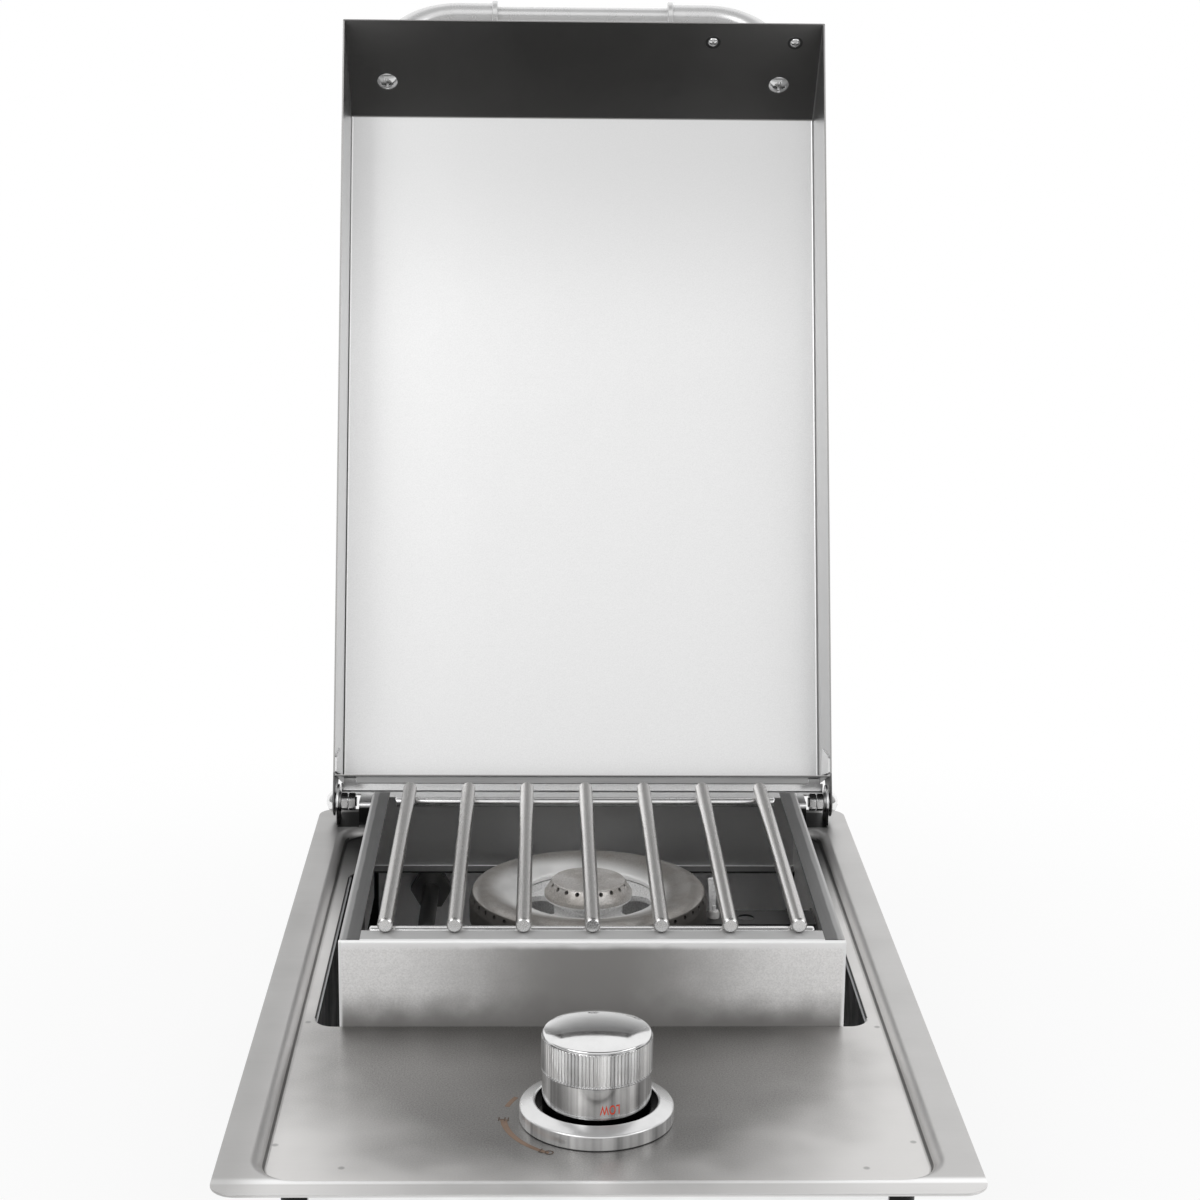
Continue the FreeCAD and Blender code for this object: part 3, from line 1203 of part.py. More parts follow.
def make_valve():
    """Gas valve under the tray: barrel, flange, outlet towards the burner and side inlet."""
    top = PANEL_UNDER
    y = S["valve_y"]
    barrel = rod("valve_barrel", S["valve_radius"], S["valve_bottom"] + top, 0, y, -S["valve_bottom"])
    wide = S["valve_flange_width"]
    thick = S["valve_flange"]
    flange = block("valve_flange", -wide / 2, y - S["valve_radius"], top - thick,
                   wide, S["valve_radius"] * 2, thick)
    outlet = rod("valve_outlet", S["outlet_radius"], S["outlet_length"], 0, y, -S["gas_z"], TO_BACK, -90)
    inlet = rod("valve_inlet", S["outlet_radius"] + 1, S["pipe_start"] + S["pipe_radius"],
                0, y, -S["gas_z"], TO_RIGHT, -90)
    whole = fuse("valve_whole", barrel, flange, outlet, inlet)
    bore = rod("valve_bore_room", S["valve_bore"], S["valve_floor"] - S["valve_flange"] + top,
               0, y, -S["valve_floor"])
    neck = rod("valve_neck_room", S["stem_radius"] + 0.3, S["valve_floor"] + 2, 0, y, -S["valve_floor"] + 1)
    way = S["spud_radius"] - 1.5
    gas_way = rod("valve_gas_way", way, S["outlet_length"] + 1, 0, y, -S["gas_z"], TO_BACK, -90)
    spud_seat = rod("valve_spud_seat", S["spud_radius"], S["spud_length"],
                    0, y + S["outlet_length"] - S["spud_length"] / 2, -S["gas_z"], TO_BACK, -90)
    pipe_seat = rod("valve_pipe_seat", S["pipe_radius"], S["pipe_radius"] + 1,
                    -S["pipe_start"], y, -S["gas_z"], TO_RIGHT, -90)
    gas_in = rod("valve_gas_in", way, S["pipe_start"] + 1, 0, y, -S["gas_z"], TO_RIGHT, -90)
    holes = [rod("valve_screw_room_%d" % sign, S["valve_screw"], S["valve_flange"] + 2,
                 S["valve_screw_x"] * sign, y, top - S["valve_flange"] - 1) for sign in (-1, 1)]
    rooms = fuse("valve_rooms", bore, neck, gas_way, spud_seat, pipe_seat, gas_in, *holes)
    return node(cut("valve_cut", whole, rooms), "valve_body")


def make_gas_parts():
    """Orifice, turning plug, stem, return spring, gas pipe and inlet fitting."""
    y = S["valve_y"]
    start = y + S["outlet_length"] - S["spud_length"] / 2
    spud = rod("spud_barrel", S["spud_radius"], S["spud_length"], 0, start, -S["gas_z"], TO_BACK, -90)
    hexa = hexagon("spud_hexagon", S["spud_radius"] * 2.2, S["spud_length"] / 3,
                   0, y + S["outlet_length"], -S["gas_z"], TO_BACK, -90)
    jet = rod("spud_jet", S["spud_bore"], S["spud_length"] + 4, 0, start - 1, -S["gas_z"], TO_BACK, -90)
    node(cut("spud_drilled", fuse("spud_whole", spud, hexa), jet), "gas_orifice")

    plug_low = -S["valve_floor"] + 0.3
    plug = rod("plug_barrel", S["plug_radius"], S["plug_length"], 0, y, plug_low)
    plug_top = plug_low + S["plug_length"]
    socket = rod("plug_socket_room", S["stem_radius"] + S["stem_play"], S["plug_socket"] + 1,
                 0, y, plug_top - S["plug_socket"])
    cross = rod("plug_gas_way", S["spud_radius"] - 1.6, S["plug_radius"] * 3,
                -S["plug_radius"] * 1.5, y, -S["gas_z"] - 4, TO_RIGHT, 90)
    node(cut("plug_cut", plug, fuse("plug_rooms", socket, cross)), "valve_plug")

    spring_low = plug_top + 0.3
    spring_top = PANEL_UNDER - S["valve_flange"] - 2
    sleeve = rod("spring_outside", S["spring_outer"], spring_top - spring_low, 0, y, spring_low)
    room = rod("spring_inside", S["spring_inner"], spring_top - spring_low, 0, y, spring_low)
    node(cut("spring_cut", sleeve, room), "return_spring")

    stem = rod("stem_shaft", S["stem_radius"], S["stem_bottom"] + S["stem_top"], 0, y, -S["stem_bottom"])
    collar = rod("stem_collar", S["collar_rim"], S["collar_height"], 0, y, spring_top)
    flat = block("stem_flat_room", S["stem_flat"], y - S["stem_radius"], S["flat_start"],
                 S["stem_radius"], S["stem_radius"] * 2, S["stem_top"])
    node(cut("stem_cut", fuse("stem_whole", stem, collar), flat), "valve_stem")

    screws = []
    for sign, word in ((-1, "left"), (1, "right")):
        across = S["valve_screw_x"] * sign
        shank = rod("valve_shank_" + word, S["valve_screw"], S["valve_flange"] + S["tray_sheet"],
                    across, y, PANEL_UNDER - S["valve_flange"])
        head = rod("valve_head_" + word, S["valve_screw"] * 1.8, S["valve_screw"] * 0.9,
                   across, y, PANEL_TOP)
        screws.append(fuse("valve_screw_" + word, shank, head))
    node(group("valve_screw_pair", *screws), "valve_screws")


def make_gas_pipe():
    """Gas pipe from the valve's side, round one bend and back to the inlet fitting."""
    owner = body("pipe_body")
    path = owner.newObject("Sketcher::SketchObject", "pipe_path")
    path.AttachmentSupport = [(plane(owner, "XY_Plane"), "")]
    path.MapMode = "FlatFace"
    back = S["housing_front"] + S["housing_depth"] - S["housing_sheet"] - S["inlet_nut"] - S["valve_y"]
    points = [(-S["pipe_start"], plain(0)), (-S["pipe_x"] + S["pipe_bend"], plain(0)),
              (-S["pipe_x"], S["pipe_bend"]), (-S["pipe_x"], back)]
    spots = [FreeCAD.Vector(number_of(across), number_of(along), 0) for across, along in points]
    path.addGeometry(Part.LineSegment(spots[0], spots[1]), False)
    path.addGeometry(arc_between(spots[1], spots[2], -number_of(S["pipe_bend"])), False)
    path.addGeometry(Part.LineSegment(spots[2], spots[3]), False)
    path.addConstraint(Sketcher.Constraint("Coincident", 0, 2, 1, 2))
    path.addConstraint(Sketcher.Constraint("Coincident", 1, 1, 2, 1))
    rules = [(0, 1, points[0]), (0, 2, points[1]), (1, 1, points[2]), (2, 2, points[3])]
    for edge, end, (across, along) in rules:
        for kind, size in (("DistanceX", across), ("DistanceY", along)):
            made = path.addConstraint(Sketcher.Constraint(kind, -1, 1, edge, end, number_of(size)))
            path.setExpression("Constraints[%d]" % made, formula_of(size))
    made = path.addConstraint(Sketcher.Constraint("Radius", 1, number_of(S["pipe_bend"])))
    path.setExpression("Constraints[%d]" % made, formula_of(S["pipe_bend"]))
    circle = ring_outline(owner, "pipe_section", "YZ_Plane", [(plain(0), plain(0), S["pipe_radius"])],
                          -S["pipe_start"])
    pipe = owner.newObject("PartDesign::AdditivePipe", "pipe_sweep")
    pipe.Profile = circle
    pipe.Spine = path
    move(owner, 0, S["valve_y"], -S["gas_z"])
    node(owner, "gas_pipe")

    back_wall = S["housing_front"] + S["housing_depth"]
    start = back_wall - S["housing_sheet"] - S["inlet_nut"]
    x = -S["pipe_x"]
    z = -S["gas_z"]
    length = S["inlet_nut"] + S["housing_sheet"] + S["inlet_length"]
    thread_length = S["inlet_length"] - S["inlet_relief"]
    nut = hexagon("inlet_hexagon", S["inlet_flats"], S["inlet_nut"], x, start, z, TO_BACK, -90)
    neck = rod("inlet_shaft", S["inlet_neck"], length, x, start, z, TO_BACK, -90)
    thread = rod("inlet_barrel", S["inlet_thread"], thread_length, x, back_wall + S["inlet_relief"], z,
                 TO_BACK, -90)
    bore = rod("inlet_room", S["inlet_bore"], length + 2, x, start - 1, z, TO_BACK, -90)
    node(cut("inlet_cut", fuse("inlet_whole", nut, neck, thread), bore), "gas_inlet_fitting")


def make_ignition():
    """Electrode with its insulator and bracket, the igniter on the valve and the lead between."""
    x = S["spark_x"]
    y = S["burner_y"]
    owner = body("blade_body")
    half = S["spark_blade"] / 2
    low = S["insulator_top"] - 1
    tip = x - S["spark_lean"]
    points = [(x - S["spark_rod"], low), (x + S["spark_rod"], low), (tip + half, S["spark_top"]),
              (tip - half, S["spark_top"])]
    pad(owner, outline(owner, "blade_outline", "XZ_Plane", points), S["spark_rod"], midplane=True)
    move(owner, 0, y, 0)
    wire = rod("spark_wire", S["spark_rod"], S["insulator_bottom"] + S["insulator_top"] + 2,
               x, y, -S["insulator_bottom"] - 2)
    node(fuse("spark_whole", owner, wire), "spark_electrode")
    tube = rod("insulator_tube", S["insulator_radius"], S["insulator_bottom"] + S["insulator_top"],
               x, y, -S["insulator_bottom"])
    bore = rod("insulator_bore", S["spark_rod"], S["insulator_bottom"] + S["insulator_top"],
               x, y, -S["insulator_bottom"])
    notch = rod("insulator_top_room", S["spark_blade"], plain(1), x, y, S["insulator_top"] - 1)
    node(cut("insulator_cut", tube, fuse("insulator_rooms", bore, notch)), "electrode_insulator")

    start = x - S["insulator_radius"] - 2
    wide = BOX_HALF - S["box_sheet"] - S["strap_sheet"]
    depth = S["strap_width"] * 0.55
    height = S["spark_plate"]
    thick = S["spark_plate_sheet"]
    plate = block("spark_shelf", start, y - depth / 2, height, wide - start, depth, thick)
    fold_down = block("spark_fold", wide - thick, y - depth / 2, height - S["spark_fold"],
                      thick, depth, S["spark_fold"])
    hole = rod("spark_plate_hole", S["insulator_radius"], thick * 4, x, y, height - 1)
    view = rod("spark_plate_window", S["spark_window"], thick * 4, x + S["spark_window_x"], y, height - 1)
    node(cut("spark_plate_cut", fuse("spark_plate_whole", plate, fold_down),
             fuse("spark_plate_holes", hole, view)), "electrode_bracket")

    side = S["valve_radius"] - 1
    height = S["igniter_height"]
    base = -S["valve_bottom"] + 6
    case = block("igniter_case", side, S["valve_y"] - S["igniter_width"] / 2, base,
                 S["igniter_width"], S["igniter_width"], height)
    room = rod("igniter_room", S["valve_radius"], height + 2, 0, S["valve_y"], base - 1)
    node(cut("igniter_cut", case, room), "spark_igniter")

    lead_z = base + height / 2
    bend = number_of(S["lead_bend"])
    start_x = number_of(side + S["igniter_width"])
    first = FreeCAD.Vector(start_x, number_of(S["valve_y"]), number_of(lead_z))
    turn = FreeCAD.Vector(number_of(x), first.y, first.z)
    rise = FreeCAD.Vector(number_of(x), number_of(y), first.z)
    top = FreeCAD.Vector(number_of(x), number_of(y), -number_of(S["insulator_bottom"]) - 2)
    lead = doc.addObject("Part::Feature", "lead_sweep")
    lead.Shape = swept_lead([first, turn, rise, top], bend, number_of(S["lead_radius"]))
    node(lead, "spark_lead")


def swept_lead(corners, bend, radius):
    """Round lead along straight runs joined by arcs of one radius."""
    edges = []
    here = corners[0]
    for index in range(1, len(corners) - 1):
        corner = corners[index]
        before = (corners[index - 1] - corner).normalize()
        after = (corners[index + 1] - corner).normalize()
        enter = corner + before * bend
        leave = corner + after * bend
        middle = corner + (before + after) * bend - (before + after).normalize() * bend
        edges.append(Part.LineSegment(here, enter).toShape())
        edges.append(Part.Arc(enter, middle, leave).toShape())
        here = leave
    edges.append(Part.LineSegment(here, corners[-1]).toShape())
    spine = Part.Wire(edges)
    circle = Part.Wire(Part.makeCircle(radius, corners[0], corners[1] - corners[0]))
    return spine.makePipeShell([circle], True, True)


def make_knob():
    """Chrome knob: polished crown, band for the fingers, plain skirt and D-shaped hub."""
    owner = body("knob_body")
    radius = S["knob_radius"]
    low = S["knob_bottom"]
    high = low + S["knob_height"]
    edge = S["knob_edge"]
    wall = S["knob_wall"]
    band = high - edge - S["knob_band"]
    hub_low = low + S["knob_hub_gap"]
    points = [
        (radius - S["knob_step"], low),
        (radius - S["knob_step"], band),
        (radius, band + S["knob_step"]),
        (radius, high - edge),
        (radius - edge, high, edge),
        (plain(0), high + S["knob_crown"]),
        (plain(0), hub_low),
        (S["knob_hub"], hub_low),
        (S["knob_hub"], high - wall),
        (radius - wall, high - wall),
        (radius - wall, low),
    ]
    revolve(owner, outline(owner, "knob_profile", "XZ_Plane", points))
    move(owner, 0, S["valve_y"], 0)
    socket = rod("knob_socket", S["stem_radius"], S["stem_top"] - hub_low + 1, 0, S["valve_y"], hub_low - 1)
    flat = block("knob_flat", S["stem_flat"], S["valve_y"] - S["stem_radius"], S["flat_start"],
                 S["stem_radius"], S["stem_radius"] * 2, S["stem_top"])
    return node(cut("knob_cut", owner, cut("knob_socket_d", socket, flat)), "knob")


def make_bezel():
    """Round trim ring on the tray's panel that the knob stands in."""
    owner = body("bezel_body")
    low = PANEL_TOP
    high = low + S["bezel_height"]
    bend = S["bezel_round"]
    points = [
        (S["bezel_radius"], low),
        (S["bezel_radius"], high - bend),
        (S["bezel_radius"] - bend, high, bend),
        (S["bezel_inner"] + bend / 2, high),
        (S["bezel_inner"], high - bend / 2, bend / 2),
        (S["bezel_inner"], low),
    ]
    revolve(owner, outline(owner, "bezel_profile", "XZ_Plane", points))
    move(owner, 0, S["valve_y"], 0)
    return node(owner, "bezel")


def check_all():
    """Stop before any file is written if a feature failed or a shape isn't whole."""
    doc.recompute()
    faults = [thing.Name for thing in doc.Objects
              if "Invalid" in thing.State or "Error" in thing.State]
    for thing in NODES:
        shape = thing.Shape
        if shape.isNull() or not shape.isValid() or not shape.Solids:
            faults.append(thing.Label)
    if faults:
        raise RuntimeError("not whole: " + ", ".join(faults))


def export_all():
    os.makedirs("parts", exist_ok=True)
    for thing in NODES:
        thing.Shape.exportStep(os.path.join("parts", thing.Label + ".step"))
        box = thing.Shape.BoundBox
        print("%-20s solids %2d  x %7.1f %7.1f  y %7.1f %7.1f  z %7.1f %7.1f" % (
            thing.Label, len(thing.Shape.Solids), box.XMin, box.XMax, box.YMin, box.YMax, box.ZMin, box.ZMax))


make_tray()
make_box_end("box_front_wall", S["box_front"], S["front_lip"], 1, -S["box_drop"])
make_box_end("box_rear_wall", BOX_BACK, S["rear_lip"], -1, PANEL_TOP)
make_box_side("box_left_wall", -1)
make_box_side("box_right_wall", 1)
make_housing()
make_bracket()
hinge_stack()
make_lid()
make_corner_tabs()
make_handle()
make_plate_screws()
make_grate()
make_ring()
make_cap()
make_bowl()
make_strap()
make_burner_screws()
make_mixer()
make_valve()
make_gas_parts()
make_gas_pipe()
make_ignition()
make_knob()
make_bezel()
check_all()
export_all()
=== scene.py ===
import math

import bmesh
import bpy
import numpy as np
from mathutils import Matrix, Vector
from mathutils.geometry import delaunay_2d_cdt


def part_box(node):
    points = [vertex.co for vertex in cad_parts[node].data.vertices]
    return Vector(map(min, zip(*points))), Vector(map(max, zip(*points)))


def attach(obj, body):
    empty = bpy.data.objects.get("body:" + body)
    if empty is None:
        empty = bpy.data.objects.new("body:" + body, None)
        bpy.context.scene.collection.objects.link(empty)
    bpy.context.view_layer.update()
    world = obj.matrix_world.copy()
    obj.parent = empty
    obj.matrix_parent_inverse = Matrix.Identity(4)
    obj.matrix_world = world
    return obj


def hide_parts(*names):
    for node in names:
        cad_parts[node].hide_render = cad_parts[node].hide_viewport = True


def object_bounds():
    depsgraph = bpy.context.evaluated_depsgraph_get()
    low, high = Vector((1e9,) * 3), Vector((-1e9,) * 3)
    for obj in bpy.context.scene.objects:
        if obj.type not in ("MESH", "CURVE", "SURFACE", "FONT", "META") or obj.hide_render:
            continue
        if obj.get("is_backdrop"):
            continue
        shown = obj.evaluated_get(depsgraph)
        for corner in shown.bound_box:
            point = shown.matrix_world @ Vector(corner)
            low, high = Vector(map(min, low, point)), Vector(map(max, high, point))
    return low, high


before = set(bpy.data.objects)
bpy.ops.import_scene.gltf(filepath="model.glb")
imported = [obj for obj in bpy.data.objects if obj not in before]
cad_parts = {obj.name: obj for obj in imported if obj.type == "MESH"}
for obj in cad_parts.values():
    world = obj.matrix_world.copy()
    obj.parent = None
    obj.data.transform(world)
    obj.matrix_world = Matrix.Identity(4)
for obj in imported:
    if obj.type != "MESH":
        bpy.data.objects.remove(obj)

bl_info = {
    "name": "Built in side burner",
    "version": (1, 0, 0),
    "blender": (4, 5, 0),
    "location": "3D View > Sidebar > Side burner",
    "description": "Dresses the packed side burner: sheet metal, grate, burner, knob and handle",
    "category": "Add Mesh",
}

# Shapes are worked out in millimetres and go into their meshes in metres.
MM = 0.001
MERGE = 1e-6


def reach(node):
    """Lowest and highest corner of a CAD node, in millimetres."""
    low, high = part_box(node)
    return np.round(np.array(low) / MM, 3), np.round(np.array(high) / MM, 3)


def middle_of(node, axis):
    """Middle of a CAD node along one axis, in millimetres."""
    low, high = reach(node)
    return float(np.round((low[axis] + high[axis]) / 2, 2))


# The knob's axis, the burner's axis and the lid's hinge, from the frame.
KNOB_Y = middle_of("bezel", 1)
BURNER_Y = middle_of("burner_ring", 1)
HINGE_Y = middle_of("hinge_bolts", 1)
HINGE_Z = middle_of("hinge_bolts", 2)
LID_LEAN = math.radians(19.0)

# Levels: the top of the tray's rim, of its recessed panel and of the burner box.
RIM_Z = float(reach("tray")[1][2])
PANEL_Z = float(reach("bezel")[0][2])
BOX_Z = float(reach("box_front_wall")[1][2])


def grey(level, warm=0.0):
    """Linear colour of a grey given as it looks on screen, a little warmer or cooler."""
    screen = np.clip(np.array([level + warm, level, level - warm]), 0.0, 1.0)
    linear = np.where(screen <= 0.04045, screen / 12.92, ((screen + 0.055) / 1.055) ** 2.4)
    return tuple(float(value) for value in linear)


# Settings


class BurnerSizes(bpy.types.PropertyGroup):
    """Small sizes of the dressed part that a user may change."""

    edge_round: bpy.props.FloatProperty(
        name="Edge rounding", description="Rounding of cut sheet edges",
        default=0.0002, min=0.0, max=0.001, unit="LENGTH")
    shoulder: bpy.props.FloatProperty(
        name="Tray shoulder", description="Radius of the soft bend from the tray's rim into its recess",
        default=0.0065, min=0.001, max=0.01, unit="LENGTH")
    flute_depth: bpy.props.FloatProperty(
        name="Flute depth", description="Depth of the grooves round the knob's band",
        default=0.0005, min=0.0, max=0.001, unit="LENGTH")
    flute_count: bpy.props.IntProperty(
        name="Flutes", description="Grooves round the knob's band", default=92, min=20, max=200)
    bar_chamfer: bpy.props.FloatProperty(
        name="Bar chamfer", description="Chamfer at the ends of the grate bars",
        default=0.0009, min=0.0, max=0.002, unit="LENGTH")
    weld_bead: bpy.props.FloatProperty(
        name="Weld bead", description="Radius of the weld beads under the grate bars",
        default=0.0014, min=0.0, max=0.003, unit="LENGTH")


class BurnerColours(bpy.types.PropertyGroup):
    """Colours of the finishes."""

    tray: bpy.props.FloatVectorProperty(
        name="Tray", description="Brushed steel of the tray", subtype="COLOR",
        default=grey(0.60, 0.006), min=0.0, max=1.0)
    box: bpy.props.FloatVectorProperty(
        name="Burner box", description="Steel of the burner box's front", subtype="COLOR",
        default=grey(0.96, 0.003), min=0.0, max=1.0)
    rail: bpy.props.FloatVectorProperty(
        name="Side rails", description="Dark ground steel on top of the side walls", subtype="COLOR",
        default=grey(0.40), min=0.0, max=1.0)
    lid_inside: bpy.props.FloatVectorProperty(
        name="Lid inside", description="Bright inside of the lid's panel", subtype="COLOR",
        default=grey(0.915), min=0.0, max=1.0)
    # The lid band colour is painted shade and reflection on the inside of the sloped front.
    lid_band: bpy.props.FloatVectorProperty(
        name="Lid band", description="Dark inside of the lid's sloped front", subtype="COLOR",
        default=grey(0.50, 0.003), min=0.0, max=1.0)
    bars: bpy.props.FloatVectorProperty(
        name="Grate", description="Drawn rod of the grate", subtype="COLOR",
        default=grey(0.72, 0.006), min=0.0, max=1.0)
    burner: bpy.props.FloatVectorProperty(
        name="Burner ring", description="Cast metal of the burner ring", subtype="COLOR",
        default=grey(0.62, 0.012), min=0.0, max=1.0)
    chrome: bpy.props.FloatVectorProperty(
        name="Chrome", description="Polished plating of the knob, the bezel and the handle", subtype="COLOR",
        default=grey(0.90), min=0.0, max=1.0)
    print_brown: bpy.props.FloatVectorProperty(
        name="Panel print", description="Print round the knob", subtype="COLOR",
        default=(0.22, 0.145, 0.10), min=0.0, max=1.0)
    print_red: bpy.props.FloatVectorProperty(
        name="Knob print", description="Red print on the knob", subtype="COLOR",
        default=(0.68, 0.055, 0.018), min=0.0, max=1.0)


class BurnerStage(bpy.types.PropertyGroup):
    """Light and background."""

    key: bpy.props.FloatProperty(
        name="Key light", description="Power of the large soft light in front and to the left",
        default=11.0, min=0.0, unit="POWER")
    fill: bpy.props.FloatProperty(
        name="Fill light", description="Power of the soft light on the right",
        default=5.0, min=0.0, unit="POWER")
    sky: bpy.props.FloatProperty(
        name="Sky", description="Strength of the even light from all round", default=0.75, min=0.0, max=2.0)


# Surfaces


def net(points, across=False, around=False):
    """Points of a grid, and its faces: each face joins neighbouring rows and columns. The last row
    joins the first where the grid closes across, and the last column where it closes around."""
    rows, columns = points.shape[:2]
    i = np.arange(rows if across else rows - 1)[:, None]
    j = np.arange(columns if around else columns - 1)[None, :]
    below = (i + 1) % rows
    beside = (j + 1) % columns
    faces = np.stack([i * columns + j, i * columns + beside,
                      below * columns + beside, below * columns + j], -1)
    return points.reshape(-1, 3), faces.reshape(-1, 4)


def turned(profile, steps, start=0.0):
    """Profile of radius r and height h carried round the z axis: (r cos a, r sin a, h)."""
    angle = start + np.linspace(0, 2 * np.pi, steps, endpoint=False)
    profile = np.asarray(profile, float)
    radius = profile[:, :1]
    height = np.broadcast_to(profile[:, 1:2], (len(profile), steps))
    return net(np.stack([radius * np.cos(angle), radius * np.sin(angle), height], -1), around=True)


def bent(corners, closed=False, finest=8):
    """Line through corners (a, b, radius): every corner with a radius becomes the arc that touches both
    runs, centre + radius (cos t, sin t), in steps of up to 90 degrees / finest."""
    corners = np.asarray(corners, float)
    points = corners[:, :2]
    count = len(points)
    line = []
    for index in range(count):
        radius = corners[index, 2]
        if radius == 0 or (not closed and index in (0, count - 1)):
            line.append(points[index:index + 1])
            continue
        before = points[index - 1] - points[index]
        after = points[(index + 1) % count] - points[index]
        before = before / np.hypot(*before)
        after = after / np.hypot(*after)
        half = math.acos(float(np.clip(before @ after, -1, 1))) / 2
        middle = (before + after) / np.hypot(*(before + after))
        centre = points[index] + middle * radius / math.sin(half)
        start = points[index] + before * radius / math.tan(half) - centre
        end = points[index] + after * radius / math.tan(half) - centre
        first = math.atan2(start[1], start[0])
        sweep = (math.atan2(end[1], end[0]) - first + math.pi) % (2 * math.pi) - math.pi
        steps = max(3, int(round(abs(sweep) / (math.pi / 2) * finest)) + 1)
        angle = first + sweep * np.linspace(0, 1, steps)
        line.append(centre + abs(radius) * np.stack([np.cos(angle), np.sin(angle)], -1))
    return np.concatenate(line)


def arc_to(start, end, radius, steps=8):
    """Arc of a given radius from start to end, without its first point; positive turns left."""
    start, end = np.asarray(start, float), np.asarray(end, float)
    chord = end - start
    side = np.array([-chord[1], chord[0]]) / np.hypot(*chord)
    rise = math.sqrt(max(radius * radius - (chord @ chord) / 4, 0.0))
    centre = (start + end) / 2 + side * (rise if radius > 0 else -rise)
    first = math.atan2(*(start - centre)[::-1])
    last = math.atan2(*(end - centre)[::-1])
    sweep = (last - first + math.pi) % (2 * math.pi) - math.pi
    angle = first + sweep * np.linspace(0, 1, steps + 1)[1:]
    return centre + abs(radius) * np.stack([np.cos(angle), np.sin(angle)], -1)


def along_x(line, x):
    """A (y, z) line as points at one x."""
    return np.stack([np.full(len(line), float(x)), line[:, 0], line[:, 1]], -1)


def along_y(line, y):
    """An (x, z) line as points at one y."""
    return np.stack([line[:, 0], np.full(len(line), float(y)), line[:, 1]], -1)


def circle(radius, steps=48, middle=(0.0, 0.0)):
    """Closed loop of a circle: middle + radius (cos t, sin t)."""
    angle = np.linspace(0, 2 * np.pi, steps, endpoint=False)
    return np.column_stack([middle[0] + radius * np.cos(angle), middle[1] + radius * np.sin(angle)])


def inside(points, loop):
    """Which points lie inside a closed loop: a ray to the right crosses its edges an odd number of times."""
    x, y = points[:, :1], points[:, 1:2]
    ax, ay = loop[None, :, 0], loop[None, :, 1]
    bx, by = np.roll(ax, -1, 1), np.roll(ay, -1, 1)
    spans = (ay > y) != (by > y)
    slope = np.where(by == ay, 1.0, by - ay)
    return (spans & (x < ax + (y - ay) / slope * (bx - ax))).sum(1) % 2 == 1


def filled(outer, holes=()):
    """Flat triangles between an outer loop and its holes, by constrained Delaunay triangulation."""
    loops = [np.asarray(loop, float) for loop in (outer, *holes)]
    points = np.concatenate(loops)
    starts = np.cumsum([0] + [len(loop) for loop in loops])
    edges = np.concatenate([
        start + np.stack([np.arange(len(loop)), (np.arange(len(loop)) + 1) % len(loop)], -1)
        for start, loop in zip(starts, loops)])
    found = delaunay_2d_cdt([Vector(point) for point in points], edges.tolist(), [], 0, 1e-7)
    corners = np.array([tuple(point) for point in found[0]])
    faces = np.array(found[2])
    middles = corners[faces].mean(1)
    keep = inside(middles, loops[0])
    for loop in loops[1:]:
        keep &= ~inside(middles, loop)
    return corners, faces[keep]


def rounded_loop(low, high, corner, bend=12, run=8):
    """Closed loop of a rectangle between two corners (x, y), with quarter-circle corners; each side is
    cut into equal steps."""
    centres = np.array([[high[0] - corner, low[1] + corner], [high[0] - corner, high[1] - corner],
                        [low[0] + corner, high[1] - corner], [low[0] + corner, low[1] + corner]])
    angle = np.radians([-90, 0, 90, 180])[:, None] + np.linspace(0, np.pi / 2, bend)[None, :]
    arcs = centres[:, None, :] + corner * np.stack([np.cos(angle), np.sin(angle)], -1)
    last = arcs[:, -1]
    following = np.roll(arcs[:, 0], -1, axis=0)
    share = (np.arange(1, run) / run)[None, :, None]
    sides = last[:, None] + (following - last)[:, None] * share
    return np.concatenate([arcs, sides], 1).reshape(-1, 2)


def tube(path, radius, across, steps=32, ends=True):
    """Round tube: at each point of a flat path, a circle in the plane square to the path,
    p + r (cos t n + sin t b), where n is the path's normal and b its plane's normal."""
    path = np.asarray(path, float)
    tangent = np.gradient(path, axis=0)
    tangent /= np.linalg.norm(tangent, axis=1)[:, None]
    across = np.asarray(across, float)
    normal = np.cross(tangent, across)
    radius = np.broadcast_to(np.asarray(radius, float), len(path))[:, None, None]
    angle = np.linspace(0, 2 * np.pi, steps, endpoint=False)[None, :, None]
    rings = path[:, None] + radius * (np.cos(angle) * normal[:, None] + np.sin(angle) * across[None, None])
    nets = [net(rings, around=True)]
    if ends:
        for at in (0, -1):
            nets.append(net(np.stack([rings[at], np.broadcast_to(path[at], rings[at].shape)]), around=True))
    return nets


def placed(nets, change):
    """The same nets with their points changed by a function of the points."""
    return [(change(part[0]),) + tuple(part[1:]) for part in nets]


def side_stack(x, sign):
    """Turns a piece drawn about z so that its axis runs outwards along x at the hinge."""
    def change(points):
        return np.stack([sign * (x + points[:, 2]), HINGE_Y + points[:, 0], HINGE_Z + points[:, 1]], -1)
    return change


def opened(points):
    """The lid's own frame (x, height above the hinge, length from the hinge) in its open pose:
    y and z turned by the lid's lean about the hinge."""
    cosine, sine = math.cos(LID_LEAN), math.sin(LID_LEAN)
    return np.stack([points[:, 0],
                     HINGE_Y + points[:, 1] * cosine + points[:, 2] * sine,
                     HINGE_Z - points[:, 1] * sine + points[:, 2] * cosine], -1)


# Pieces


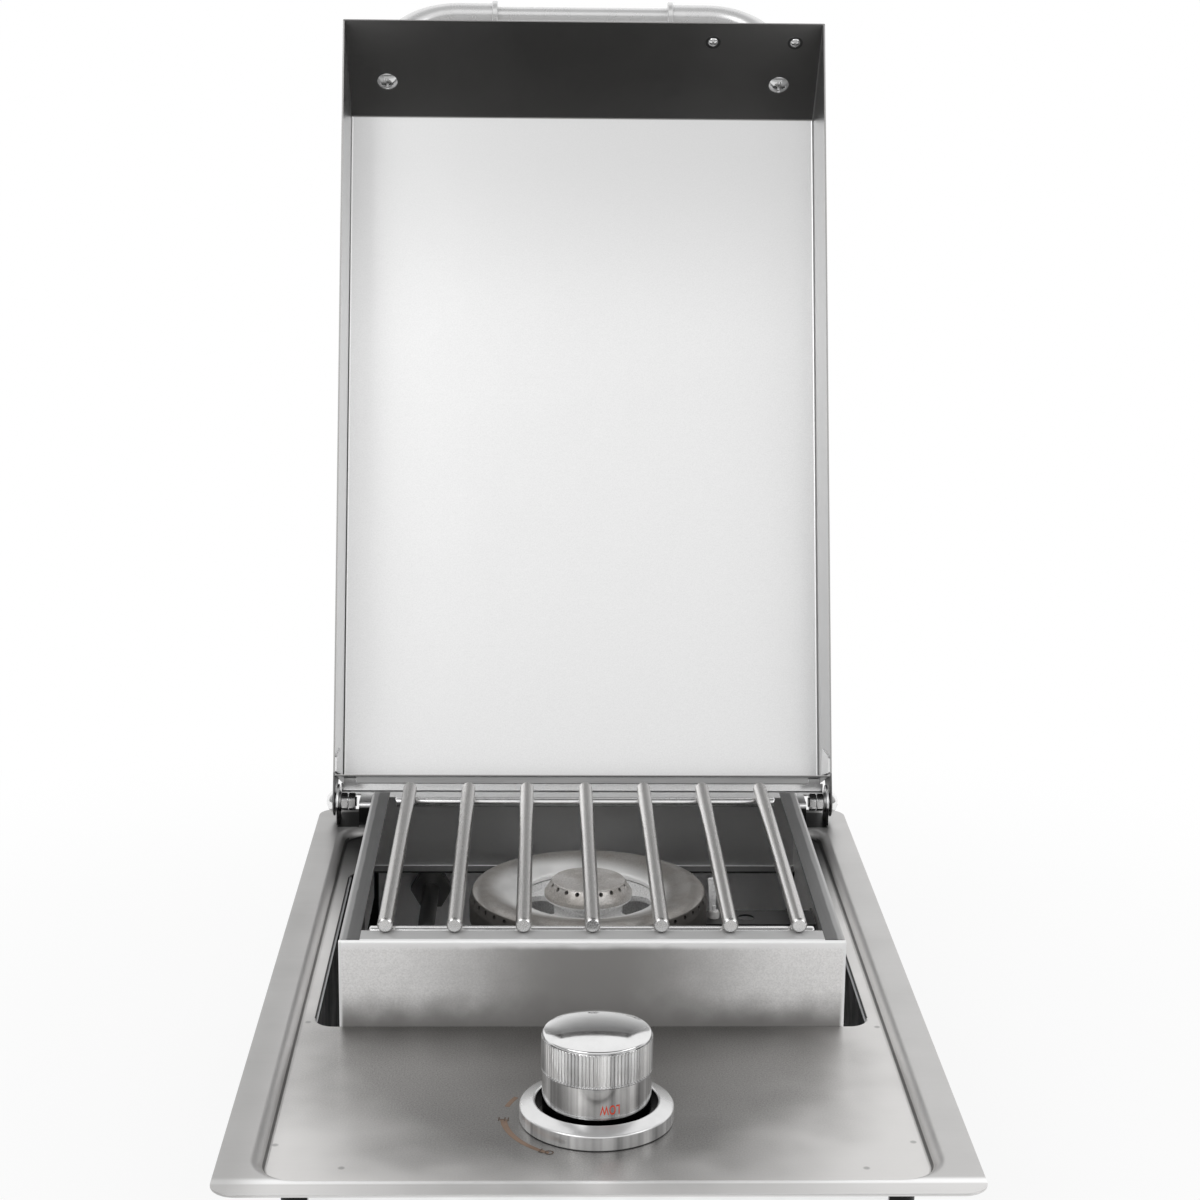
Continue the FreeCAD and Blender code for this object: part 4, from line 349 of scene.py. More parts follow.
def merged_mesh(name, nets, facing=None):
    """One mesh from several nets: doubles merged, empty faces dropped, faces turned outwards. An open
    surface is turned so that its faces look on the whole the way that facing points."""
    points = np.concatenate([part[0] for part in nets])
    starts = np.cumsum([0] + [len(part[0]) for part in nets])
    faces = []
    kinds = []
    for start, part in zip(starts, nets):
        faces += (part[1] + start).tolist()
        kinds.append(np.broadcast_to(part[2] if len(part) > 2 else 0, len(part[1])))
    mesh = bpy.data.meshes.new(name)
    mesh.from_pydata((points * MM).tolist(), [], faces)
    mesh.polygons.foreach_set("material_index", np.concatenate(kinds).astype(np.int32))
    work = bmesh.new()
    work.from_mesh(mesh)
    bmesh.ops.remove_doubles(work, verts=work.verts, dist=MERGE)
    bmesh.ops.dissolve_degenerate(work, edges=work.edges, dist=MERGE / 4)
    loose = [vertex for vertex in work.verts if not vertex.link_faces]
    bmesh.ops.delete(work, geom=loose, context="VERTS")
    bmesh.ops.recalc_face_normals(work, faces=work.faces)
    if facing is not None:
        looks = sum((face.normal * face.calc_area() for face in work.faces), Vector())
        if looks.dot(Vector(facing)) < 0:
            bmesh.ops.reverse_faces(work, faces=work.faces)
    work.to_mesh(mesh)
    work.free()
    return mesh


def dress(name, nets, body, materials, nodes=(), sheet=0.0, edge=0.0, sharp=35.0, facing=None):
    """A finished piece: its mesh, materials, thickness and rounded edges, and what it stands for. A second
    material goes on the inner side of a sheet."""
    mesh = merged_mesh(name, nets, facing)
    for material in materials:
        mesh.materials.append(material)
    mesh.shade_smooth()
    thing = bpy.data.objects.new(name, mesh)
    bpy.context.scene.collection.objects.link(thing)
    if sheet:
        wall = thing.modifiers.new("thickness", "SOLIDIFY")
        wall.thickness = sheet * MM
        wall.offset = -1.0
        wall.use_even_offset = True
        wall.material_offset = len(materials) - 1
    if edge:
        soft = thing.modifiers.new("edges", "BEVEL")
        soft.width = edge * MM
        soft.segments = 2
        soft.limit_method = "ANGLE"
        soft.angle_limit = math.radians(40.0)
        flat = thing.modifiers.new("normals", "WEIGHTED_NORMAL")
        flat.keep_sharp = True
    else:
        mesh.set_sharp_from_angle(angle=math.radians(sharp))
    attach(thing, body)
    if nodes:
        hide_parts(*nodes)
    return thing


# Finishes


def effect(name, inputs, outputs):
    """A node group with named inputs and outputs, and its two end nodes."""
    tree = bpy.data.node_groups.new(name, "ShaderNodeTree")
    for label, kind, default in inputs:
        socket = tree.interface.new_socket(label, in_out="INPUT", socket_type="NodeSocket" + kind)
        if default is not None:
            socket.default_value = default
    for label, kind in outputs:
        tree.interface.new_socket(label, in_out="OUTPUT", socket_type="NodeSocket" + kind)
    return tree, tree.nodes.new("NodeGroupInput"), tree.nodes.new("NodeGroupOutput")


def noise(tree, vector, scale, detail=2.0, rough=0.5):
    """Noise between 0 and 1 over a vector."""
    made = tree.nodes.new("ShaderNodeTexNoise")
    made.inputs["Scale"].default_value = scale
    made.inputs["Detail"].default_value = detail
    made.inputs["Roughness"].default_value = rough
    tree.links.new(vector, made.inputs["Vector"])
    return made.outputs["Fac"]


def sums(tree, kind, first, second, third=None, clamp=False):
    """A Math node; each value is a number or another node's output."""
    made = tree.nodes.new("ShaderNodeMath")
    made.operation = kind
    made.use_clamp = clamp
    for slot, value in zip(made.inputs, (first, second, third)):
        if value is None:
            continue
        if isinstance(value, (int, float)):
            slot.default_value = value
        else:
            tree.links.new(value, slot)
    return made.outputs[0]


def ramp(tree, value, low, high, out_low=0.0, out_high=1.0, smooth=False):
    """Maps a value from one range to another, and keeps it inside."""
    made = tree.nodes.new("ShaderNodeMapRange")
    made.interpolation_type = "SMOOTHSTEP" if smooth else "LINEAR"
    made.inputs["From Min"].default_value = low
    made.inputs["From Max"].default_value = high
    made.inputs["To Min"].default_value = out_low
    made.inputs["To Max"].default_value = out_high
    tree.links.new(value, made.inputs["Value"])
    return made.outputs["Result"]


def steel_effect():
    """Rolled and brushed sheet: streaks along one way, soft cloudy patches and fine bright and dark
    specks change the colour; the streaks change the roughness and the height too."""
    tree, given, told = effect(
        "Sheet steel",
        [("Vector", "Vector", None), ("Streaks", "Vector", (20.0, 900.0, 900.0)), ("Grain", "Float", 0.1),
         ("Patches", "Float", 0.1), ("Specks", "Float", 0.1), ("Colour", "Color", (0.4, 0.4, 0.4, 1.0)),
         ("Roughness", "Float", 0.35)],
        [("Colour", "Color"), ("Roughness", "Float"), ("Height", "Float")])
    stretch = tree.nodes.new("ShaderNodeMapping")
    tree.links.new(given.outputs["Vector"], stretch.inputs["Vector"])
    tree.links.new(given.outputs["Streaks"], stretch.inputs["Scale"])
    streak = sums(tree, "SUBTRACT", noise(tree, stretch.outputs["Vector"], 1.0, 3.0, 0.6), 0.5)
    cloud = sums(tree, "SUBTRACT", noise(tree, given.outputs["Vector"], 26.0, 4.0, 0.55), 0.5)
    fine = noise(tree, given.outputs["Vector"], 1300.0, 1.0, 0.5)
    speck = ramp(tree, fine, 0.25, 0.75, -1.0, 1.0)
    streak_share = sums(tree, "MULTIPLY", streak, given.outputs["Grain"])
    cloud_share = sums(tree, "MULTIPLY", cloud, given.outputs["Patches"])
    tone = sums(tree, "ADD", sums(tree, "ADD", streak_share, cloud_share), 1.0)
    tone = sums(tree, "MULTIPLY_ADD", speck, given.outputs["Specks"], tone)
    shade = tree.nodes.new("ShaderNodeVectorMath")
    shade.operation = "SCALE"
    tree.links.new(given.outputs["Colour"], shade.inputs[0])
    tree.links.new(tone, shade.inputs["Scale"])
    tree.links.new(shade.outputs[0], told.inputs["Colour"])
    rough = sums(tree, "MULTIPLY_ADD", streak_share, 1.2, given.outputs["Roughness"])
    rough = sums(tree, "MULTIPLY_ADD", cloud_share, 1.2, rough, clamp=True)
    tree.links.new(rough, told.inputs["Roughness"])
    tree.links.new(streak, told.inputs["Height"])
    return tree


def cast_effect():
    """Cast or fired surface: pits, cloudy stains and a darker tint in the hollows of the noise."""
    tree, given, told = effect(
        "Cast skin",
        [("Vector", "Vector", None), ("Pit size", "Float", 900.0), ("Stain", "Float", 0.3),
         ("Colour", "Color", (0.4, 0.4, 0.4, 1.0)), ("Stain colour", "Color", (0.2, 0.16, 0.12, 1.0)),
         ("Roughness", "Float", 0.5)],
        [("Colour", "Color"), ("Roughness", "Float"), ("Height", "Float")])
    pits = tree.nodes.new("ShaderNodeTexNoise")
    pits.inputs["Detail"].default_value = 3.0
    tree.links.new(given.outputs["Vector"], pits.inputs["Vector"])
    tree.links.new(given.outputs["Pit size"], pits.inputs["Scale"])
    stain = ramp(tree, noise(tree, given.outputs["Vector"], 70.0, 5.0, 0.6), 0.42, 0.66)
    share = sums(tree, "MULTIPLY", stain, given.outputs["Stain"], clamp=True)
    mixed = tree.nodes.new("ShaderNodeMix")
    mixed.data_type = "RGBA"
    tree.links.new(share, mixed.inputs["Factor"])
    tree.links.new(given.outputs["Colour"], mixed.inputs["A"])
    tree.links.new(given.outputs["Stain colour"], mixed.inputs["B"])
    tone = ramp(tree, pits.outputs["Fac"], 0.3, 0.7, 0.82, 1.16)
    shade = tree.nodes.new("ShaderNodeVectorMath")
    shade.operation = "SCALE"
    tree.links.new(mixed.outputs["Result"], shade.inputs[0])
    tree.links.new(tone, shade.inputs["Scale"])
    tree.links.new(shade.outputs[0], told.inputs["Colour"])
    rough = sums(tree, "MULTIPLY_ADD", stain, 0.18, given.outputs["Roughness"], clamp=True)
    tree.links.new(rough, told.inputs["Roughness"])
    tree.links.new(pits.outputs["Fac"], told.inputs["Height"])
    return tree


def worn_effect():
    """Fine wear on polished plating: hair-thin scratches and smudges in the roughness and the tone."""
    tree, given, told = effect(
        "Worn polish",
        [("Vector", "Vector", None), ("Smudge", "Float", 0.1), ("Colour", "Color", (0.8, 0.8, 0.8, 1.0)),
         ("Roughness", "Float", 0.08)],
        [("Colour", "Color"), ("Roughness", "Float"), ("Height", "Float")])
    smudge = ramp(tree, noise(tree, given.outputs["Vector"], 90.0, 4.0, 0.65), 0.4, 0.75)
    scratch = tree.nodes.new("ShaderNodeMapping")
    scratch.inputs["Scale"].default_value = (60.0, 60.0, 2600.0)
    tree.links.new(given.outputs["Vector"], scratch.inputs["Vector"])
    hair = ramp(tree, noise(tree, scratch.outputs["Vector"], 1.0, 2.0, 0.5), 0.7, 0.8)
    rough = sums(tree, "MULTIPLY_ADD", smudge, given.outputs["Smudge"], given.outputs["Roughness"])
    rough = sums(tree, "MULTIPLY_ADD", hair, 0.06, rough, clamp=True)
    tone = ramp(tree, smudge, 0.0, 1.0, 1.0, 0.93)
    shade = tree.nodes.new("ShaderNodeVectorMath")
    shade.operation = "SCALE"
    tree.links.new(given.outputs["Colour"], shade.inputs[0])
    tree.links.new(tone, shade.inputs["Scale"])
    tree.links.new(shade.outputs[0], told.inputs["Colour"])
    tree.links.new(rough, told.inputs["Roughness"])
    tree.links.new(hair, told.inputs["Height"])
    return tree


def placed_effect(name):
    """The node group of one effect, made once."""
    makers = {"Sheet steel": steel_effect, "Cast skin": cast_effect, "Worn polish": worn_effect}
    return bpy.data.node_groups.get(name) or makers[name]()


def finish(name, effect_name, metallic, bump=0.0, distance=0.0001, coat=0.0, **values):
    """A material: one effect on Object coordinates feeds the colour, the roughness and the bump of its
    shader. Colour values are given as three numbers."""
    found = bpy.data.materials.get(name)
    if found:
        return found
    material = bpy.data.materials.new(name)
    material.use_nodes = True
    tree = material.node_tree
    shader = tree.nodes["Principled BSDF"]
    place = tree.nodes.new("ShaderNodeTexCoord")
    group = tree.nodes.new("ShaderNodeGroup")
    group.node_tree = placed_effect(effect_name)
    tree.links.new(place.outputs["Object"], group.inputs["Vector"])
    for label, value in values.items():
        socket = group.inputs[label.replace("_", " ")]
        socket.default_value = tuple(value) + (1.0,) if socket.type == "RGBA" else value
    shader.inputs["Metallic"].default_value = metallic
    shader.inputs["Coat Weight"].default_value = coat
    tree.links.new(group.outputs["Colour"], shader.inputs["Base Color"])
    tree.links.new(group.outputs["Roughness"], shader.inputs["Roughness"])
    if bump:
        raised = tree.nodes.new("ShaderNodeBump")
        raised.inputs["Strength"].default_value = bump
        raised.inputs["Distance"].default_value = distance
        tree.links.new(group.outputs["Height"], raised.inputs["Height"])
        tree.links.new(raised.outputs["Normal"], shader.inputs["Normal"])
    return material


def tinted(material, share, colour, strength=1.0):
    """Mixes another colour over a material's own by a share between 0 and 1."""
    tree = material.node_tree
    shader = tree.nodes["Principled BSDF"]
    before = shader.inputs["Base Color"].links[0].from_socket
    if strength != 1.0:
        share = sums(tree, "MULTIPLY", share, strength)
    mixed = tree.nodes.new("ShaderNodeMix")
    mixed.data_type = "RGBA"
    tree.links.new(share, mixed.inputs["Factor"])
    tree.links.new(before, mixed.inputs["A"])
    mixed.inputs["B"].default_value = tuple(colour) + (1.0,)
    tree.links.new(mixed.outputs["Result"], shader.inputs["Base Color"])


def place_of(material):
    """A material's tree, its Object coordinates, and their x, y and z."""
    tree = material.node_tree
    vector = tree.nodes["Texture Coordinate"].outputs["Object"]
    split = tree.nodes.new("ShaderNodeSeparateXYZ")
    tree.links.new(vector, split.inputs[0])
    return tree, vector, split.outputs


def from_axis(tree, vector, x, y):
    """Distance of a place from an upright axis through (x, y), which are in millimetres."""
    flat = tree.nodes.new("ShaderNodeVectorMath")
    flat.operation = "MULTIPLY"
    tree.links.new(vector, flat.inputs[0])
    flat.inputs[1].default_value = (1.0, 1.0, 0.0)
    apart = tree.nodes.new("ShaderNodeVectorMath")
    apart.operation = "DISTANCE"
    tree.links.new(flat.outputs[0], apart.inputs[0])
    apart.inputs[1].default_value = (x * MM, y * MM, 0.0)
    return apart.outputs["Value"]


def wavered(tree, vector, at, waver, scale):
    """A place or a distance that noise shifts to both sides by up to waver millimetres."""
    ripple = sums(tree, "SUBTRACT", noise(tree, vector, scale), 0.5)
    return sums(tree, "MULTIPLY_ADD", ripple, 2 * waver * MM, at)


def between(tree, at, first, last, soft):
    """1 between two places along an axis and 0 past them, with ends that blend over soft to both sides,
    all in millimetres."""
    off = sums(tree, "ABSOLUTE", sums(tree, "SUBTRACT", at, (first + last) / 2 * MM), None)
    half = (last - first) / 2
    return ramp(tree, off, (half + soft) * MM, (half - soft) * MM)


def toned(material, axis, low, high, colour, waver=0.0, mirrored=False, strength=1.0):
    """Changes a material to another colour between two places along one axis, in millimetres, with an
    edge that wavers; mirrored measures from the middle to both sides."""
    tree, vector, parts = place_of(material)
    at = parts[axis]
    if mirrored:
        at = sums(tree, "ABSOLUTE", at, None)
    if waver:
        at = wavered(tree, vector, at, waver, 60.0)
    tinted(material, ramp(tree, at, low * MM, high * MM, smooth=True), colour, strength)


def ringed(material, middle, low, high, colour, waver=0.0):
    """Changes a material to another colour between two distances from an upright axis through a place
    (x, y), in millimetres, with an edge that wavers."""
    tree, vector, _ = place_of(material)
    at = from_axis(tree, vector, *middle)
    if waver:
        at = wavered(tree, vector, at, waver, 24.0)
    tinted(material, ramp(tree, at, low * MM, high * MM, smooth=True), colour)


def shaded(material, radius, height, axis_y=KNOB_Y, outwards=False, colour=grey(0.10)):
    """Painted shade: colours a turned surface nearer its axis than a radius, or further out, and under a
    height, in millimetres."""
    tree, vector, parts = place_of(material)
    step = -0.2 if outwards else 0.2
    near = ramp(tree, from_axis(tree, vector, 0.0, axis_y), (radius + step) * MM, radius * MM)
    low = ramp(tree, parts["Z"], (height + 0.2) * MM, height * MM)
    tinted(material, sums(tree, "MULTIPLY", near, low), colour)


def painted_reflection_streaks(material, height):
    """Painted reflection: darker upright streaks round the knob under a height in millimetres, from noise
    over the direction from the knob's axis."""
    tree, vector, parts = place_of(material)
    flat = tree.nodes.new("ShaderNodeVectorMath")
    flat.operation = "MULTIPLY_ADD"
    tree.links.new(vector, flat.inputs[0])
    flat.inputs[1].default_value = (1.0, 1.0, 0.0)
    flat.inputs[2].default_value = (0.0, -KNOB_Y * MM, 0.0)
    way = tree.nodes.new("ShaderNodeVectorMath")
    way.operation = "NORMALIZE"
    tree.links.new(flat.outputs[0], way.inputs[0])
    wide = ramp(tree, noise(tree, way.outputs[0], 2.6, 3.0, 0.75), 0.40, 0.60)
    low = ramp(tree, parts["Z"], (height + 0.3) * MM, height * MM)
    tinted(material, sums(tree, "MULTIPLY", wide, low), grey(0.46), 0.7)


def spotted(material, places):
    """Faint round marks of spot welds at places (x, y) in millimetres."""
    tree, vector, _ = place_of(material)
    nearest = None
    for x, y in places:
        apart = from_axis(tree, vector, x, y)
        nearest = apart if nearest is None else sums(tree, "MINIMUM", nearest, apart)
    tinted(material, ramp(tree, nearest, 2.0 * MM, 0.8 * MM, smooth=True), grey(0.36), 0.45)


def patched(material, low, high, colour, fade=None, level=PANEL_Z, depth=4.6):
    """Colours a patch of a sheet between two corners (x, y), as far above and below one level as depth
    says, in millimetres; fade gives two places along y between which the colour comes up."""
    tree, _, parts = place_of(material)
    off = sums(tree, "ABSOLUTE", sums(tree, "SUBTRACT", parts["Z"], level * MM), None)
    share = ramp(tree, off, depth * MM, 0.2 * MM)
    for axis, first, last in zip("XY", low, high):
        share = sums(tree, "MULTIPLY", share, between(tree, parts[axis], first, last, 0.2))
    if fade:
        share = sums(tree, "MULTIPLY", share, ramp(tree, parts["Y"], fade[0] * MM, fade[1] * MM))
    tinted(material, share, colour)


def boxed(material, low, high, colour, strength=1.0):
    """Colours what lies in a box between two corners in millimetres; x is measured from the middle to
    both sides."""
    tree, _, parts = place_of(material)
    share = between(tree, sums(tree, "ABSOLUTE", parts["X"], None), low[0], high[0], 0.15)
    for axis, first, last in zip("YZ", low[1:], high[1:]):
        share = sums(tree, "MULTIPLY", share, between(tree, parts[axis], first, last, 0.15))
    tinted(material, share, colour, strength)


def steel(name, colour, rough=0.34, streaks=(14.0, 900.0, 900.0), grain=0.22, patches=0.16, specks=0.05,
          bump=0.05, metallic=1.0):
    """Rolled or brushed steel, streaked by noise with a scale of its own along x, y and z."""
    return finish(name, "Sheet steel", metallic, bump=bump, Colour=tuple(colour), Roughness=rough,
                  Streaks=streaks, Grain=grain, Patches=patches, Specks=specks)


def polish(name, colour, rough=0.07, smudge=0.08, bump=0.03, metallic=1.0):
    """Chrome or zinc plating with smudges and hair-thin scratches."""
    return finish(name, "Worn polish", metallic, bump=bump, distance=0.00003, Colour=tuple(colour),
                  Roughness=rough, Smudge=smudge)


def casting(name, colour, stain=(0.16, 0.12, 0.08), amount=0.4, rough=0.45, pit=900.0, bump=0.25,
            metallic=1.0):
    """Cast metal with fine pits and stains."""
    return finish(name, "Cast skin", metallic, bump=bump, distance=0.0002, Colour=tuple(colour),
                  Stain_colour=tuple(stain), Stain=amount, Roughness=rough, Pit_size=pit)


def ink(name, colour):
    """Printed or painted mark."""
    return finish(name, "Cast skin", 0.0, bump=0.08, distance=0.00005, Colour=tuple(colour),
                  Stain_colour=tuple(0.6 * value for value in colour), Stain=0.5, Roughness=0.5,
                  Pit_size=2400.0)


def keep(node, material):
    """Gives a CAD node's own mesh its finish."""
    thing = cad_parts[node]
    thing.data.materials.clear()
    thing.data.materials.append(material)


# Tray and burner box

FLANGE_CORNER = 12.0
RECESS_LOW = np.array([-147.74, 12.26])
RECESS_HIGH = np.array([147.74, 487.34])
RECESS_CORNER = 17.3
CUT_LOW = (-141.0, 186.5)
CUT_HIGH = (141.0, 421.0)
CUT_CORNER = 10.0
KNOB_HOLE = 15.0
BOX_HALF = 128.0
BOX_LIP = 117.4
BOX_FOLD = 2.2
SPOT_WELDS = ((-114.0, 29.6), (119.0, 28.6), (-145.7, 52.5), (143.7, 54.4), (-144.4, 192.0), (145.0, 185.5))


class BURNER_OT_tray(bpy.types.Operator):
    """Pressed tray: flat rim, soft shoulder, sloping side, recessed panel with its cut-outs"""

    bl_idname = "burner.tray"
    bl_label = "Tray"

    def execute(self, context):
        sizes = context.scene.burner_sizes
        low, high = reach("tray")
        run = (RIM_Z - PANEL_Z) * math.tan(math.radians(28.0))
        section = bent([(-3.0, PANEL_Z, 0), (0.0, PANEL_Z, 1.4), (run, RIM_Z, sizes.shoulder / MM),
                        (run + 6.0, RIM_Z, 0)], finest=30)
        rows = []
        for out, height in section:
            loop = rounded_loop(RECESS_LOW - out, RECESS_HIGH + out, RECESS_CORNER + out, 16, 24)
            rows.append(np.column_stack([loop, np.full(len(loop), height)]))
        rim = rounded_loop(low, high, FLANGE_CORNER, 16, 24)
        inner = rows[-1][:, :2]
        for share in (0.4, 0.8, 1.0):
            rows.append(np.column_stack([inner + (rim - inner) * share, np.full(len(rim), RIM_Z)]))
        wall = net(np.stack(rows), around=True)
        hole = circle(KNOB_HOLE, 96, (0.0, KNOB_Y))
        flat, faces = filled(rows[0][:, :2], (rounded_loop(CUT_LOW, CUT_HIGH, CUT_CORNER), hole))
        panel = np.column_stack([flat, np.full(len(flat), PANEL_Z)])
        material = self.brushed(context.scene.burner_colours)
        dress("tray_sheet", [wall, (panel, faces)], "base", [material], ["tray"],
              sheet=1.2, edge=1.5 * sizes.edge_round / MM, facing=(0, 0, 1))
        return {"FINISHED"}

    def brushed(self, colours):
        """Brushed steel with faint spot weld marks and painted light: painted highlights make it paler away
        from the knob, on the rim and slopes and most on the front shoulder, with a thin one behind the box;
        painted shade darkens the left side, the cut-out's edge, the foot of the box's rear wall and of the
        side slopes, and the rim round the hinge ears; a painted reflection darkens it where the lid and the
        burner box mirror in it."""
        material = steel("tray steel", colours.tray, rough=0.38, streaks=(9.0, 480.0, 480.0), grain=0.08,
                         patches=0.14, specks=0.24, bump=0.04)
        # Painted highlight: paler further out from a place near the knob.
        ringed(material, (-10.0, 150.0), 90.0, 175.0, grey(0.86, 0.006), waver=30.0)
        # Painted highlight on the slopes and the rim.
        toned(material, "Z", PANEL_Z + 1.5, RIM_Z - 0.2, grey(0.76, 0.004))
        # Painted highlight on the front shoulder, greyer at its very front edge.
        toned(material, "Y", 11.0, 7.0, grey(1.0))
        toned(material, "Y", 5.4, 3.4, grey(0.86, 0.004))
        # Painted shade on the left side.
        toned(material, "X", -140.0, -164.0, grey(0.64, 0.004), waver=2.0, strength=0.7)
        # Painted reflection of the lid and the burner box, dark behind the box.
        patched(material, (-160.0, 300.0), (160.0, 520.0), grey(0.18), fade=(330.0, 465.0))
        # Painted shade along the edge of the cut-out.
        patched(material, (-141.6, 197.0), (141.6, 411.0), grey(0.10))
        # Painted shade on the tray by the box's rear wall, with a thin painted highlight where it meets the
        # wall.
        patched(material, (-128.5, 400.0), (128.5, 432.6), grey(0.22))
        patched(material, (-128.5, 430.8), (128.5, 432.0), grey(0.95))
        # Painted shade at the foot of both side slopes.
        boxed(material, (146.6, 8.0, PANEL_Z + 0.3), (170.0, 494.0, PANEL_Z + 1.9), grey(0.26), 0.8)
        spotted(material, SPOT_WELDS)
        # Painted shadow on the rim round the hinge ears.
        for sign in (-1, 1):
            patched(material, (148.0 * sign - 6.6, 490.0), (148.0 * sign + 6.6, 520.0), grey(0.10),
                    level=RIM_Z, depth=0.3)
        return material


def kept_faces(part, test):
    """The same net with only the faces whose middles pass a test on their x, y and z."""
    points, faces = part[:2]
    middle = points[faces].mean(1)
    return points, faces[test(middle[:, 0], middle[:, 1], middle[:, 2])]


def columns_of(*stops):
    """Places along one axis: each stretch between two stops is cut into its own number of steps."""
    places = [stops[0]]
    for steps, stop in zip(stops[1::2], stops[2::2]):
        places += np.linspace(places[-1], stop, int(steps) + 1)[1:].tolist()
    return places


class BURNER_OT_box(bpy.types.Operator):
    """Four walls of the raised burner box, folded inwards along their top edges"""

    bl_idname = "burner.box"
    bl_label = "Burner box"

    def execute(self, context):
        rounding = context.scene.burner_sizes.edge_round / MM
        colours = context.scene.burner_colours
        across = columns_of(-BOX_HALF, 4, -BOX_LIP, 24, BOX_LIP, 4, BOX_HALF)
        for node, end, lip, way, material in (
                ("box_front_wall", 0, 13.4, 1, self.front_steel(colours)),
                ("box_rear_wall", 1, 10.0, -1, self.rear_steel())):
            face = reach(node)[end][1]
            low = reach(node)[0][2]
            line = bent([(face, low, 0), (face, BOX_Z - 8, 0), (face, BOX_Z, BOX_FOLD),
                         (face + way * lip, BOX_Z, 0)])
            whole = net(np.stack([along_x(line, x) for x in across]))
            sheet = kept_faces(whole, lambda x, y, z, face=face, way=way:
                               (np.abs(x) < BOX_LIP) | ((y - face) * way < 1.0))
            dress(node.replace("_wall", "_sheet"), [sheet], "base", [material], [node],
                  sheet=1.0, edge=rounding, facing=(0, -way, 0.3))
        rail = self.rail_steel(colours)
        for node, sign in (("box_left_wall", -1), ("box_right_wall", 1)):
            low, high = reach(node)
            along = columns_of(low[1], 24, CUT_HIGH[1], 2, high[1])
            line = bent([(BOX_HALF * sign, low[2], 0), (BOX_HALF * sign, PANEL_Z, 0),
                         (BOX_HALF * sign, BOX_Z, BOX_FOLD), (BOX_LIP * sign, BOX_Z, 0)])
            whole = net(np.stack([along_y(line, y) for y in along]))
            sheet = kept_faces(whole, lambda x, y, z: (y < CUT_HIGH[1]) | (z > PANEL_Z))
            dress(node.replace("_wall", "_sheet"), [sheet], "base", [rail], [node], sheet=1.0,
                  edge=rounding, facing=(sign, 0, 0.3))
        return {"FINISHED"}

    def front_steel(self, colours):
        """Painted light on the front: painted reflections leave it bright at both ends and grey in its middle
        and towards its foot, painted highlights pale its fold and its ends, and the flat top of the fold is a
        greyer painted reflection.
        """
        front = steel("box front steel", colours.box, rough=0.36, streaks=(10.0, 500.0, 700.0), grain=0.12,
                      patches=0.16, specks=0.10, metallic=0.3)
        # Painted reflection: grey in the middle of the front.
        toned(front, "X", 104.0, 14.0, grey(0.60, 0.006), waver=8.0, mirrored=True)
        # Painted reflection: grey towards the foot.
        toned(front, "Z", 18.0, -4.0, grey(0.52, 0.006), waver=5.0)
        # Painted highlight on the fold.
        toned(front, "Z", BOX_Z - 6.0, BOX_Z - 2.4, grey(1.0), waver=1.2)
        # Painted highlight at both ends.
        toned(front, "X", 125.6, 127.4, grey(0.98), waver=0.8, mirrored=True)
        # Painted reflection: greyer flat top of the fold.
        toned(front, "Z", BOX_Z - 0.35, BOX_Z - 0.08, grey(0.72))
        return front

    def rear_steel(self):
        """Bright steel of the wall in front of the hinge, with painted shade a little darker under its fold.
        """
        rear = steel("box rear steel", grey(0.97), rough=0.34, streaks=(10.0, 500.0, 700.0), grain=0.10,
                     patches=0.10, specks=0.06)
        # Painted shade under the fold.
        toned(rear, "Z", BOX_Z - 0.35, BOX_Z - 1.5, grey(0.92))
        return rear

    def rail_steel(self, colours):
        """Side walls: grey towards the top, and dark on the folded strip."""
        rail = steel("side rail steel", colours.box, rough=0.36, streaks=(500.0, 10.0, 700.0), grain=0.12,
                     patches=0.12, specks=0.16)
        toned(rail, "Z", BOX_Z - 3.0, BOX_Z - 1.6, grey(0.62))
        toned(rail, "X", 124.4, 123.2, colours.rail, waver=0.5, mirrored=True)
        return rail


# Hinge

STEP_Y = 494.0
STEP_Z = 15.8
STEP_HALF = 141.5
LIP_Y = 519.0
LIP_Z = 20.8
TAB_NEAR = 145.0
TAB_FAR = 152.8
TAB_Z = 24.4
EAR_X = 154.5
EAR_RADIUS = 11.0


def flat_plate(loop, holes, low, high, make):
    """Closed flat plate with holes: both faces as triangles, and a wall round each loop."""
    flat, faces = filled(loop, holes)
    parts = [(make(flat, low), faces), (make(flat, high), faces)]
    for line in (loop, *holes):
        parts.append(net(np.stack([make(line, low), make(line, high)]), around=True))
    return parts


